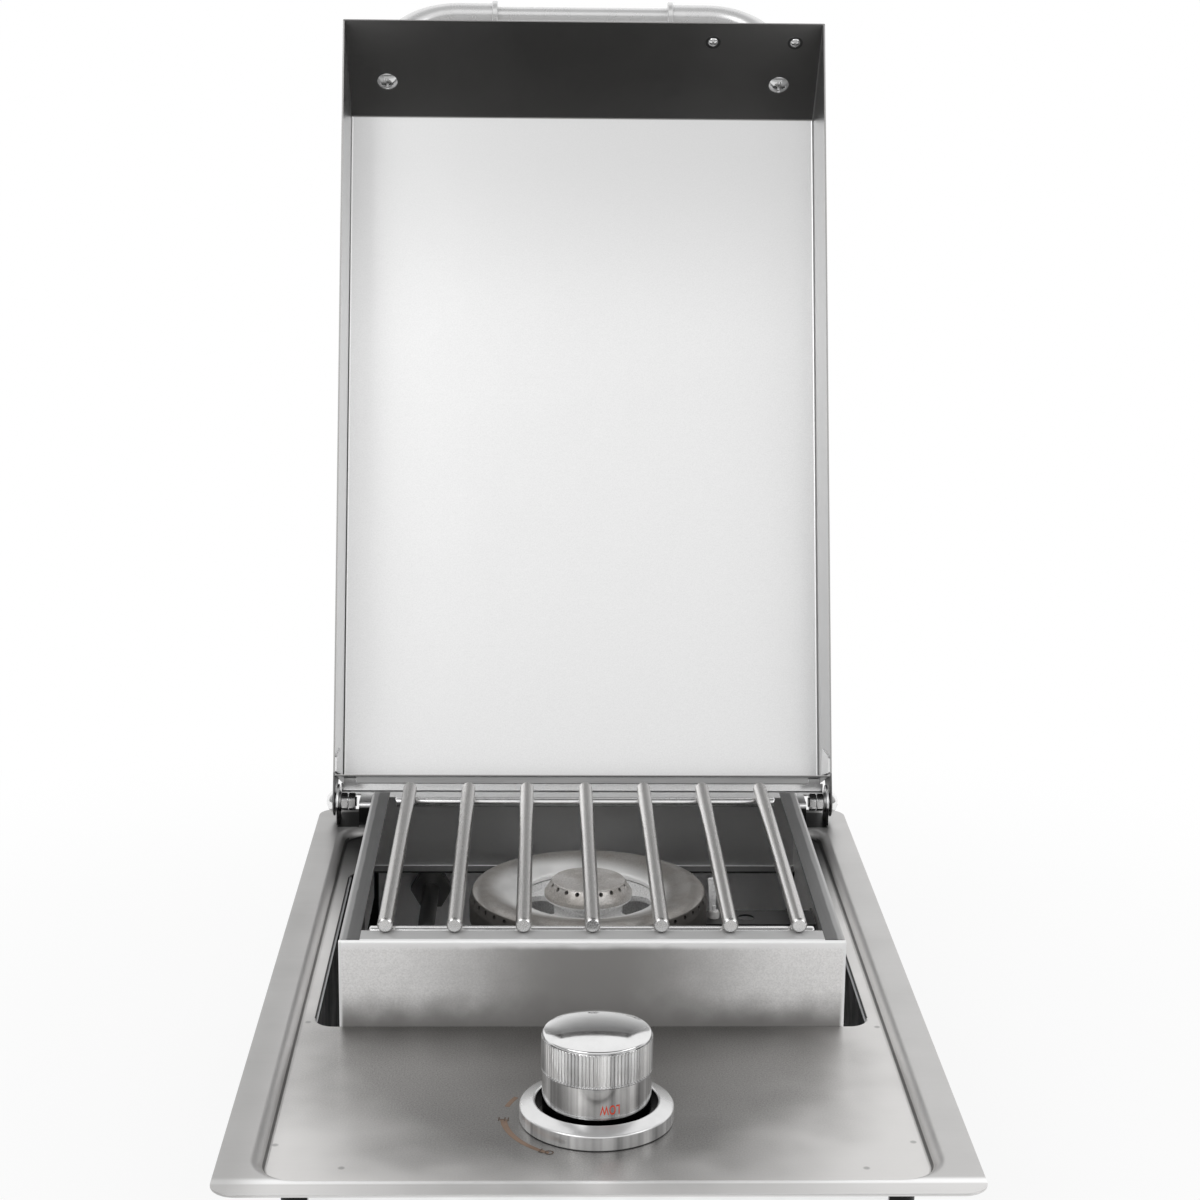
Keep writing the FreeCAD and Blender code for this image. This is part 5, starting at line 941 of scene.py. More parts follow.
class BURNER_OT_bracket(bpy.types.Operator):
    """Folded hinge bracket behind the burner: step, rear lip with two stop tabs, and two ears"""

    bl_idname = "burner.bracket"
    bl_label = "Hinge bracket"

    def execute(self, context):
        rounding = context.scene.burner_sizes.edge_round / MM
        half = columns_of(0.0, 16, STEP_HALF, 1, TAB_NEAR, 2, TAB_FAR, 1, EAR_X)
        across = [-x for x in half[:0:-1]] + half
        line = bent([(STEP_Y, RIM_Z, 0), (STEP_Y, STEP_Z, 2.4), (LIP_Y, STEP_Z, 1.2), (LIP_Y, LIP_Z, 0)])
        line = np.vstack([line[:-2], [(LIP_Y - 6.0, STEP_Z)], line[-2:], [(LIP_Y, TAB_Z)]])
        line = line[np.lexsort((line[:, 1], line[:, 0]))]
        whole = net(np.stack([along_x(line, x) for x in across]))

        def kept(x, y, z):
            side = np.abs(x)
            tab = (side > TAB_NEAR) & (side < TAB_FAR)
            return ((z < LIP_Z) | tab) & ((side < STEP_HALF) | (y > LIP_Y - 6.0))

        nets = [kept_faces(whole, kept)]
        material = steel("hinge steel", grey(0.96), rough=0.34, streaks=(12.0, 600.0, 600.0), grain=0.14)
        # Painted shade and dark reflection low on the bracket's step and on the ears.
        toned(material, "Z", 13.6, 12.2, grey(0.16), waver=0.4)
        dress("bracket_sheet", nets, "base", [material], ["hinge_bracket"], sheet=1.2,
              edge=rounding, facing=(0, -0.4, 1))
        ears = []
        turn = np.linspace(0, np.pi, 41)
        dome = np.column_stack([HINGE_Y + EAR_RADIUS * np.cos(turn), HINGE_Z + EAR_RADIUS * np.sin(turn)])
        side = np.vstack([[(STEP_Y, RIM_Z), (HINGE_Y + EAR_RADIUS, RIM_Z)], dome])
        bore = circle(3.0, 40, (HINGE_Y, HINGE_Z))
        for sign in (-1, 1):
            ears += flat_plate(side, [bore], EAR_X * sign, (EAR_X + 1.2) * sign, along_x)
        dress("hinge_ears", ears, "base", [material], ["hinge_bracket"], edge=rounding)
        return {"FINISHED"}


def hexagon_stack(flats, low, high, bore, steps=96):
    """Nut on the z axis: each corner of the hexagon is cut back by a cone at both ends, so the radius is
    the smaller of flats / 2 / cos(a) and of a line that grows away from the end."""
    angle = np.linspace(0, 2 * np.pi, steps, endpoint=False)
    six = flats / 2 / np.cos((angle + np.pi / 6) % (np.pi / 3) - np.pi / 6)
    height = np.array([0.0, 0.12, 0.24, 0.36, 0.5])
    height = np.concatenate([height, high - low - height[::-1]])
    away = np.minimum(height, high - low - height)
    limit = flats / 2 * 0.97 + away * 1.75
    radius = np.minimum(six[None, :], limit[:, None])
    rows = np.concatenate([np.full((1, steps), bore), radius, np.full((1, steps), bore)])
    level = np.concatenate([[0.0], height, [high - low]])
    round_trip = np.concatenate([rows, rows[:1]])
    level = np.broadcast_to(np.concatenate([level, [0.0]])[:, None] + low, round_trip.shape)
    points = np.stack([round_trip * np.cos(angle), round_trip * np.sin(angle), level], -1)
    return net(points, around=True)


def cross_recess(points, width, span, depth, top):
    """Pushes a cross-shaped recess with tapered ends into the top of a screw head."""
    across = np.minimum(np.abs(points[:, 0]), np.abs(points[:, 1]))
    along = np.maximum(np.abs(points[:, 0]), np.abs(points[:, 1]))
    wall = np.clip((width / 2 - across) / (width * 0.12), 0, 1)
    end = np.clip((span - along) / (span * 0.22), 0, 1)
    upper = np.clip((points[:, 2] - top) * 50, 0, 1)
    sunk = points.copy()
    sunk[:, 2] -= depth * wall * end * upper
    return sunk


def domed_screw(radius, dome, recess, steps=96):
    """Round head with a spherical top, h = sqrt(s s - r r) - (s - dome) at radius r for a sphere of radius
    s, and a cross recess."""
    share = np.linspace(0, 1, 34)
    sphere = (radius * radius + dome * dome) / (2 * dome)
    flat = share * radius
    height = np.sqrt(sphere * sphere - flat * flat) - (sphere - dome)
    profile = np.column_stack([flat, height])[::-1]
    points, faces = turned(np.vstack([[(0.0, 0.0), (radius * 0.99, 0.0)], profile]), steps)
    if recess:
        points = cross_recess(points, *recess, top=0.3)
    return points, faces


class BURNER_OT_hinge(bpy.types.Operator):
    """Bolts, washers, nuts and lock nuts of both hinges"""

    bl_idname = "burner.hinge"
    bl_label = "Hinge fasteners"

    def execute(self, context):
        bright = polish("bright zinc", grey(0.94), rough=0.16, smudge=0.12)
        # Painted shade on the inner ends of the bolts and lock nuts.
        toned(bright, "X", 144.5, 144.35, grey(0.25), mirrored=True)
        plain = polish("hinge washer steel", grey(0.74), rough=0.30, smudge=0.15)
        bolts, washers, nuts, locks = [], [], [], []
        head = domed_screw(7.2, 4.2, (1.5, 4.2, 1.6))
        height = np.linspace(0.0, 15.0, 121)
        ridge = np.where(height < 8.5, np.abs((height * 2.0) % 2.0 - 1.0), 1.0)
        thread = np.column_stack([2.86 + 0.14 * ridge, height])
        shank = turned(np.vstack([[(0.0, 0.0), (2.4, 0.0)], thread, [(0.0, 15.0)]]), 40)
        disc = turned([(3.0, 0.0), (6.0, 0.0), (6.2, 0.2), (6.2, 1.0), (6.0, 1.2), (3.0, 1.2), (3.0, 0.0)],
                      64)
        nut = hexagon_stack(10.0, 0.0, 4.4, 3.0)
        for sign in (-1, 1):
            bolts += placed([head], side_stack(158.5, sign))
            bolts += placed([shank], side_stack(143.5, sign))
            for start in (153.3, 155.7):
                washers += placed([disc], side_stack(start, sign))
            nuts += placed([nut], side_stack(148.9, sign))
            locks += placed([nut], side_stack(144.2, sign))
        for name, nets, material in (("hinge_bolts", bolts, bright), ("hinge_washers", washers, plain),
                                     ("hinge_nuts", nuts, bright), ("hinge_lock_nuts", locks, bright)):
            dress("new_" + name, nets, "base", [material], [name], sharp=28.0)
        return {"FINISHED"}


# Lid

LID_HALF = 158.2
LID_TOP = 58.0
LID_EDGE = -7.5
LID_REAR = 15.8
REAR_LEAN = 3.4
FOLD = 2.6
FOLD_AT = 465.8
FRONT_END = 510.2
FRONT_CORNER = 0.8
SLOPE_Y = -0.8277
SLOPE_Z = 0.5611
ARM_LOW = 18.4


def in_lid(material):
    """Height over the hinge and length from it in the lid's own frame, for the lid's materials."""
    tree = material.node_tree
    place = tree.nodes["Texture Coordinate"]
    turned_back = tree.nodes.new("ShaderNodeMapping")
    cosine, sine = math.cos(LID_LEAN), math.sin(LID_LEAN)
    turned_back.inputs["Rotation"].default_value = (LID_LEAN, 0.0, 0.0)
    turned_back.inputs["Location"].default_value = (
        0.0, -(HINGE_Y * cosine - HINGE_Z * sine) * MM, -(HINGE_Y * sine + HINGE_Z * cosine) * MM)
    tree.links.new(place.outputs["Object"], turned_back.inputs["Vector"])
    split = tree.nodes.new("ShaderNodeSeparateXYZ")
    tree.links.new(turned_back.outputs["Vector"], split.inputs[0])
    return split.outputs["Y"], split.outputs["Z"]


def lid_painted_shade(material, band, skirt):
    """Paints light and shade on the inside of the lid by where it is in the lid's own frame: painted shade
    darkens the sloped front past the fold, greys the skirts at the sides and the rear, darkens the rear skirt
    and draws a dark line in the corner of the fold, and the panel is painted a little darker towards its
    front."""
    tree = material.node_tree
    height, length = in_lid(material)
    # Painted shade: dark line in the corner of the fold.
    tinted(material, ramp(tree, height, (LID_TOP - 1.1) * MM, (LID_TOP - 1.5) * MM), grey(0.30))
    # Painted shade: grey skirts.
    tinted(material, ramp(tree, height, (LID_TOP - 3.1) * MM, (LID_TOP - 3.5) * MM), skirt)
    # Painted shade: dark rear skirt.
    behind = ramp(tree, length, (LID_REAR + 2.6) * MM, (LID_REAR + 2.0) * MM)
    below = ramp(tree, height, (LID_TOP - 3.0) * MM, (LID_TOP - 4.0) * MM)
    tinted(material, sums(tree, "MULTIPLY", behind, below), grey(0.16))
    # Painted shade: the panel darker towards its front.
    tinted(material, ramp(tree, length, 300.0 * MM, 450.0 * MM, smooth=True), grey(0.80), 0.6)
    # Painted shade and reflection: the dark band on the sloped front.
    # The sloped front starts at the fold, and its lean carries the fold line down with the height.
    lean = -SLOPE_Z / SLOPE_Y
    fold = FOLD_AT + (LID_TOP - 1.0) * lean
    past = sums(tree, "MULTIPLY_ADD", height, lean, length)
    tinted(material, ramp(tree, past, (fold - 1.4) * MM, (fold - 0.6) * MM), band)


def on_front(points):
    """Points given across, down the sloped front and straight out of it, in the lid's open pose."""
    across, down, out = points[:, 0], points[:, 1], points[:, 2]
    return opened(np.stack([across, LID_TOP + SLOPE_Y * down + SLOPE_Z * out,
                            FOLD_AT + SLOPE_Z * down - SLOPE_Y * out], -1))


def standing(across, down, level=0.0, way=1.0):
    """Puts a piece drawn about z on the sloped front, at a place across and down it, so that it stands out
    from a level, or inwards where way is -1."""
    def change(points):
        return on_front(np.stack([across + points[:, 0], down + points[:, 1],
                                  level + way * points[:, 2]], -1))
    return change


def lid_row(inset, side_height, front, front_height, rear_corner, front_corner):
    """One loop round the lid: x and length from a rounded rectangle, and a height that passes from that
    of the sides to that of the sloped front along the two front corners. The rear skirt leans out a little
    towards the panel."""
    bend, run = 9, 12
    corners = [(1, -1, rear_corner), (1, 1, front_corner), (-1, 1, front_corner), (-1, -1, rear_corner)]
    half = LID_HALF - inset
    rear = LID_REAR + inset - REAR_LEAN * (side_height - LID_EDGE) / (LID_TOP - LID_EDGE)
    arcs = []
    for index, (right, ahead, radius) in enumerate(corners):
        centre = (right * (half - radius), front - radius if ahead > 0 else rear + radius)
        angle = np.radians(-90 + 90 * index) + np.linspace(0, np.pi / 2, bend)
        share = {0: np.zeros(bend), 1: np.linspace(0, 1, bend), 2: np.linspace(1, 0, bend), 3: np.zeros(bend)}
        arcs.append(np.stack([centre[0] + radius * np.cos(angle),
                              side_height + (front_height - side_height) * share[index],
                              centre[1] + radius * np.sin(angle)], -1))
    arcs = np.stack(arcs)
    following = np.roll(arcs[:, 0], -1, axis=0)
    share = (np.arange(1, run) / run)[None, :, None]
    sides = arcs[:, -1][:, None] + (following - arcs[:, -1])[:, None] * share
    return np.concatenate([arcs, sides], 1).reshape(-1, 3)


class BURNER_OT_lid(bpy.types.Operator):
    """Folded lid: flat panel, side and rear skirts, sloped front, hinge arms and corner tabs"""

    bl_idname = "burner.lid"
    bl_label = "Lid"

    def execute(self, context):
        rounding = context.scene.burner_sizes.edge_round / MM
        turn = math.atan2(-SLOPE_Y, SLOPE_Z)
        tangent = FOLD * math.tan(turn / 2)
        rows = []
        for share in np.linspace(0, 1, 9):
            quarter = share * math.pi / 2
            bend = share * turn
            rows.append(lid_row(FOLD * (1 - math.sin(quarter)), LID_TOP - FOLD * (1 - math.cos(quarter)),
                                FOLD_AT - tangent + FOLD * math.sin(bend),
                                LID_TOP - FOLD * (1 - math.cos(bend)),
                                FOLD * math.sin(quarter), FRONT_CORNER * math.sin(quarter)))
        side_top, front_top = LID_TOP - FOLD, LID_TOP - FOLD * (1 - math.cos(turn))
        front = FOLD_AT - tangent + FOLD * math.sin(turn)
        for share in np.linspace(0, 1, 9)[1:]:
            rows.append(lid_row(0.0, side_top + (LID_EDGE - side_top) * share,
                                front + (FRONT_END - front) * share,
                                front_top + (LID_EDGE - front_top) * share, FOLD, FRONT_CORNER))
        wall = net(np.stack(rows), around=True)
        loop = rows[0][:, [0, 2]]
        distinct = np.ones(len(loop), bool)
        distinct[1:] = np.hypot(*(loop[1:] - loop[:-1]).T) > 1e-6
        distinct[-1] &= np.hypot(*(loop[-1] - loop[0])) > 1e-6
        flat, faces = filled(loop[distinct])
        panel = np.stack([flat[:, 0], np.full(len(flat), LID_TOP), flat[:, 1]], -1)
        dress("lid_sheet", placed([wall, (panel, faces)], opened), "lid",
              self.steels(context.scene.burner_colours), ["lid_shell"], sheet=1.0, edge=rounding,
              facing=(0, 1, -0.2))
        self.arms(rounding)
        self.tabs(rounding)
        return {"FINISHED"}

    def steels(self, colours):
        """Outside and inside of the folded sheet, both with painted shade."""
        outside = steel("lid outside steel", grey(0.66, 0.003), rough=0.36, streaks=(9.0, 700.0, 700.0),
                        grain=0.16, patches=0.10, specks=0.04)
        bright = steel("lid steel", colours.lid_inside, rough=0.32, streaks=(7.0, 200.0, 300.0), grain=0.012,
                       patches=0.06, specks=0.04, bump=0.0)
        # Painted shade and reflection on the inside.
        lid_painted_shade(bright, colours.lid_band, grey(0.92))
        # Painted shade on the inner face of the right skirt.
        toned(bright, "X", 156.4, 156.8, grey(0.74))
        # Painted shade on the outside of the rear skirt.
        tinted(outside, ramp(outside.node_tree, in_lid(outside)[1], 16.4 * MM, 16.0 * MM), grey(0.13))
        return [outside, bright]

    def arms(self, rounding):
        """Hinge arms, which run from the rear skirt's foot round the bolts."""
        arc = np.linspace(math.pi, 2 * math.pi, 33)
        outline = np.vstack([[(LID_EDGE, ARM_LOW)], np.column_stack([9.0 * np.cos(arc), 9.0 * np.sin(arc)]),
                             [(26.0, ARM_LOW)]])
        plates = []
        for sign in (-1, 1):
            plates += flat_plate(outline, [circle(3.06, 40)], (LID_HALF - 1.0) * sign, LID_HALF * sign,
                                 along_x)
        # Painted shade: the arms' steel is darker than the lid's outside.
        dress("lid_arms", placed(plates, opened), "lid",
              [steel("lid arm steel", grey(0.40), rough=0.34, patches=0.20)], ["lid_shell"], edge=rounding)

    def tabs(self, rounding):
        """Folded tabs inside the two rear corners."""
        outline = bent([(-6.5, ARM_LOW, 0.6), (34.0, ARM_LOW, 0.6), (27.2, 35.4, 3.0), (-6.5, 28.6, 2.0)],
                       closed=True)
        plates = []
        for sign in (-1, 1):
            plates += flat_plate(outline, (), (LID_HALF - 2.0) * sign, (LID_HALF - 1.0) * sign, along_x)
        finish_of_tabs = steel("corner tab steel", grey(0.94), rough=0.40, patches=0.14)
        dress("corner_tabs", placed(plates, opened), "lid", [finish_of_tabs],
              ["lid_corner_tabs"], edge=rounding)


HANDLE_X = 131.5
HANDLE_DOWN = 29.5
HANDLE_OUT = 74.0
HANDLE_BEND = 46.0
HANDLE_RADIUS = 8.0
GRIP_HALF = 60.5
GRIP_RADIUS = 5.7
FRONT_SCREWS = ((85.3, 64.2), (139.7, 64.2))


class BURNER_OT_handle(bpy.types.Operator):
    """Tube handle on the sloped front: bent ends, thinner middle, collars, washers and screws"""

    bl_idname = "burner.handle"
    bl_label = "Handle"

    def execute(self, context):
        colours = context.scene.burner_colours
        chrome = polish("handle chrome", colours.chrome, rough=0.26, smudge=0.03, bump=0.0, metallic=0.4)
        self.tubes(chrome)
        self.feet(chrome)
        self.screws()
        return {"FINISHED"}

    def tubes(self, chrome):
        """Bent ends, the thinner middle between them and a collar where they meet."""
        line = bent([(HANDLE_X, 2.0, 0), (HANDLE_X, HANDLE_OUT, HANDLE_BEND), (GRIP_HALF, HANDLE_OUT, 0)],
                    finest=32)
        line = np.vstack([[(HANDLE_X, 2.0), (HANDLE_X, 2.0 + 1e-3), (HANDLE_X, 2.5)], line[1:-1],
                          [(GRIP_HALF + 1.5, HANDLE_OUT), (GRIP_HALF, HANDLE_OUT)]])
        path = np.column_stack([line[:, 0], np.full(len(line), HANDLE_DOWN), line[:, 1]])
        radius = np.full(len(path), HANDLE_RADIUS)
        radius[0], radius[1] = HANDLE_RADIUS - 0.6, HANDLE_RADIUS - 0.5
        ends = []
        for sign in (-1, 1):
            ends += placed(tube(path, radius, (0.0, 1.0, 0.0), 48),
                           lambda p, sign=sign: on_front(p * np.array([sign, 1.0, 1.0])))
        dress("handle_bends", ends, "lid", [chrome], ["handle_ends"], sharp=40.0)
        along = np.linspace(-GRIP_HALF, GRIP_HALF, 13)
        middle = np.column_stack([along, np.full(13, HANDLE_DOWN), np.full(13, HANDLE_OUT)])
        grip = tube(middle, GRIP_RADIUS, (0.0, 1.0, 0.0), 48)
        dress("handle_middle", placed(grip, on_front), "lid", [chrome], ["handle_grip"], sharp=40.0)
        collar = turned([(GRIP_RADIUS, 0.2), (9.4, 0.0), (9.8, 0.4), (9.8, 3.2), (9.4, 3.6),
                         (GRIP_RADIUS, 3.4), (GRIP_RADIUS, 0.2)], 64)
        collars = []
        for sign in (-1, 1):
            collars += placed([collar], lambda p, sign=sign: on_front(np.stack(
                [sign * (GRIP_HALF - 1.8 + p[:, 2]), HANDLE_DOWN + p[:, 0], HANDLE_OUT + p[:, 1]], -1)))
        dress("handle_rings", collars, "lid", [chrome], ["handle_collars"])

    def feet(self, chrome):
        """Round washer under each foot."""
        disc = turned([(2.5, 0.0), (9.6, 0.0), (10.0, 0.4), (10.0, 1.5), (9.4, 2.0), (2.5, 2.0), (2.5, 0.0)],
                      64)
        feet = []
        for sign in (-1, 1):
            feet += placed([disc], standing(sign * HANDLE_X, HANDLE_DOWN))
        dress("handle_feet", feet, "lid", [chrome], ["handle_washers"])

    def screws(self):
        """Two screws that hold the handle, and two smaller ones on dark washers with a button outside."""
        screw = polish("screw steel", grey(0.86), rough=0.13, smudge=0.05)
        washer = polish("dark screw washer", grey(0.36), rough=0.30, smudge=0.10)
        head = domed_screw(6.8, 2.8, (1.9, 4.2, 2.2))
        stem = turned([(0.0, 0.0), (2.5, 0.0), (2.5, 20.0), (1.6, 21.0), (0.0, 21.0)], 32)
        heads = []
        for sign in (-1, 1):
            heads += placed([head], standing(sign * HANDLE_X, HANDLE_DOWN, -1.0, -1.0))
            heads += placed([stem], standing(sign * HANDLE_X, HANDLE_DOWN, -1.0))
        dress("handle_screw_heads", heads, "lid", [screw], ["handle_screws"])
        inner = domed_screw(3.6, 2.0, (1.1, 2.4, 1.4))
        flange = turned([(0.0, 0.0), (4.9, 0.0), (5.0, 0.15), (4.9, 0.3), (0.0, 0.3)], 48)
        button = turned([(0.0, 0.0), (3.5, 0.0), (3.6, 0.2), (3.4, 0.8), (2.8, 1.0), (0.0, 1.0)], 40)
        small = []
        for across, down in FRONT_SCREWS:
            small += placed([(*flange, 1), inner], standing(across, down, -1.0, -1.0))
            small += placed([button], standing(across, down))
        dress("front_screw_heads", small, "lid", [screw, washer], ["front_screws"])


# Grate

BAR_RADIUS = 4.0
BAR_Z = 47.1
BAR_STEP = 35.0
ROD_RADIUS = 3.0
ROD_Z = 40.7
ROD_HALF = 114.0
RODS_Y = (203.3, 419.1)


class BURNER_OT_grate(bpy.types.Operator):
    """Loose grate: seven round bars welded on two cross rods"""

    bl_idname = "burner.grate"
    bl_label = "Grate"

    def execute(self, context):
        sizes = context.scene.burner_sizes
        colours = context.scene.burner_colours
        bevel = sizes.bar_chamfer / MM
        low, high = reach("grate_bars")
        drawn = steel("drawn rod", colours.bars, rough=0.27, streaks=(900.0, 12.0, 900.0), grain=0.16,
                      patches=0.14, specks=0.05)
        # Painted highlight on the bars' front ends.
        toned(drawn, "Y", low[1] + 0.5, low[1] + 0.1, grey(0.98))
        crossing = steel("cross rod steel", grey(0.90), rough=0.26, streaks=(12.0, 900.0, 900.0), grain=0.14)
        length = high[1] - low[1]
        profile = np.array([(0.0, 0.0), (BAR_RADIUS - bevel, 0.0), (BAR_RADIUS, bevel),
                            (BAR_RADIUS, length * 0.33), (BAR_RADIUS, length * 0.67),
                            (BAR_RADIUS, length - bevel), (BAR_RADIUS - bevel, length), (0.0, length)])
        one = turned(profile, 48)
        bars = []
        places = [BAR_STEP * (index - 3) for index in range(7)]
        for x in places:
            bars += placed([one], lambda p, x=x: np.stack(
                [x + p[:, 0], low[1] + p[:, 2], BAR_Z + p[:, 1]], -1))
        bead = sizes.weld_bead / MM
        angle = np.linspace(-np.pi / 2, np.pi / 2, 9)
        blob = turned(np.column_stack([bead * np.cos(angle), bead * np.sin(angle)]), 14)
        for x in places:
            for along in RODS_Y:
                for side in (-1, 1):
                    bars += placed([blob], lambda p, x=x, along=along, side=side: np.stack(
                        [x + side * 2.6 + p[:, 0] * 0.9, along + p[:, 1] * 1.5, 43.5 + p[:, 2] * 0.8], -1))
        dress("grate_rods", bars, "grate", [drawn], ["grate_bars"], sharp=30.0)
        turn = np.linspace(0, np.pi / 2, 8)
        end = np.column_stack([ROD_RADIUS * np.sin(turn), 1.6 * (1 - np.cos(turn))])
        far_end = np.column_stack([end[::-1, 0], 2 * ROD_HALF - end[::-1, 1]])
        profile = np.vstack([end, [(ROD_RADIUS, ROD_HALF * 2 / 3), (ROD_RADIUS, ROD_HALF * 4 / 3)], far_end])
        rod = turned(profile, 36)
        rods = []
        for along in RODS_Y:
            rods += placed([rod], lambda p, along=along: np.stack(
                [p[:, 2] - ROD_HALF, along + p[:, 0], ROD_Z + p[:, 1]], -1))
        dress("grate_cross", rods, "grate", [crossing], ["grate_cross_rods"], sharp=30.0)
        return {"FINISHED"}


# Burner

HUB_RADIUS = 15.5
DISH_RADIUS = 37.0
DISH_LOW = 12.5
DISH_HIGH = 15.5
ELECTRODE_X = 70.0


def ported(profile, ports, port, port_z, outer, inner, half_height, across=4, up=4):
    """Turned wall with round holes drilled straight through it. Round each hole, a square patch of the
    wall runs in to the circle, and the circle is joined to the one on the inner wall. The wall's radius
    at a height is outer(z) outside and inner(z) inside; profile is a list of turned lines that make up
    the rest of the shape, and their steps meet the patches."""
    steps = ports * across
    half = np.pi / ports
    nets = [turned(line, steps, start=-half) for line in profile]
    u = np.concatenate([np.linspace(-1, 1, across + 1)[:-1], np.ones(up), np.linspace(1, -1, across + 1)[:-1],
                        -np.ones(up)])
    v = np.concatenate([-np.ones(across), np.linspace(-1, 1, up + 1)[:-1], np.ones(across),
                        np.linspace(1, -1, up + 1)[:-1]])
    turn = np.arctan2(v * half_height, u * half * outer(port_z))
    rings = []
    for wall in (outer, inner):
        height = port_z + port * np.sin(turn)
        angle = np.arcsin(port * np.cos(turn) / wall(height))
        flat = np.stack([u * half, port_z + v * half_height], -1)
        rim = np.stack([angle, height], -1)
        lines = [flat * (1 - share) + rim * share for share in (0.0, 0.6, 1.0)]
        rings.append([np.stack([line[:, 0], wall(line[:, 1]), line[:, 1]], -1) for line in lines])
    strips = [np.stack(rings[0]), np.stack(rings[1]), np.stack([rings[0][-1], rings[1][-1]])]
    centre = np.arange(ports) * 2 * np.pi / ports
    for strip_points in strips:
        flat, faces = net(strip_points, around=True)
        angle = flat[None, :, 0] + centre[:, None]
        points = np.stack([flat[None, :, 1] * np.cos(angle), flat[None, :, 1] * np.sin(angle),
                           np.broadcast_to(flat[None, :, 2], angle.shape)], -1)
        all_faces = faces[None] + (np.arange(ports) * len(flat))[:, None, None]
        nets.append((points.reshape(-1, 3), all_faces.reshape(-1, 4)))
    return nets


def at_burner(points):
    """Moves a piece drawn about z to the burner's axis."""
    return points + np.array([0.0, BURNER_Y, 0.0])


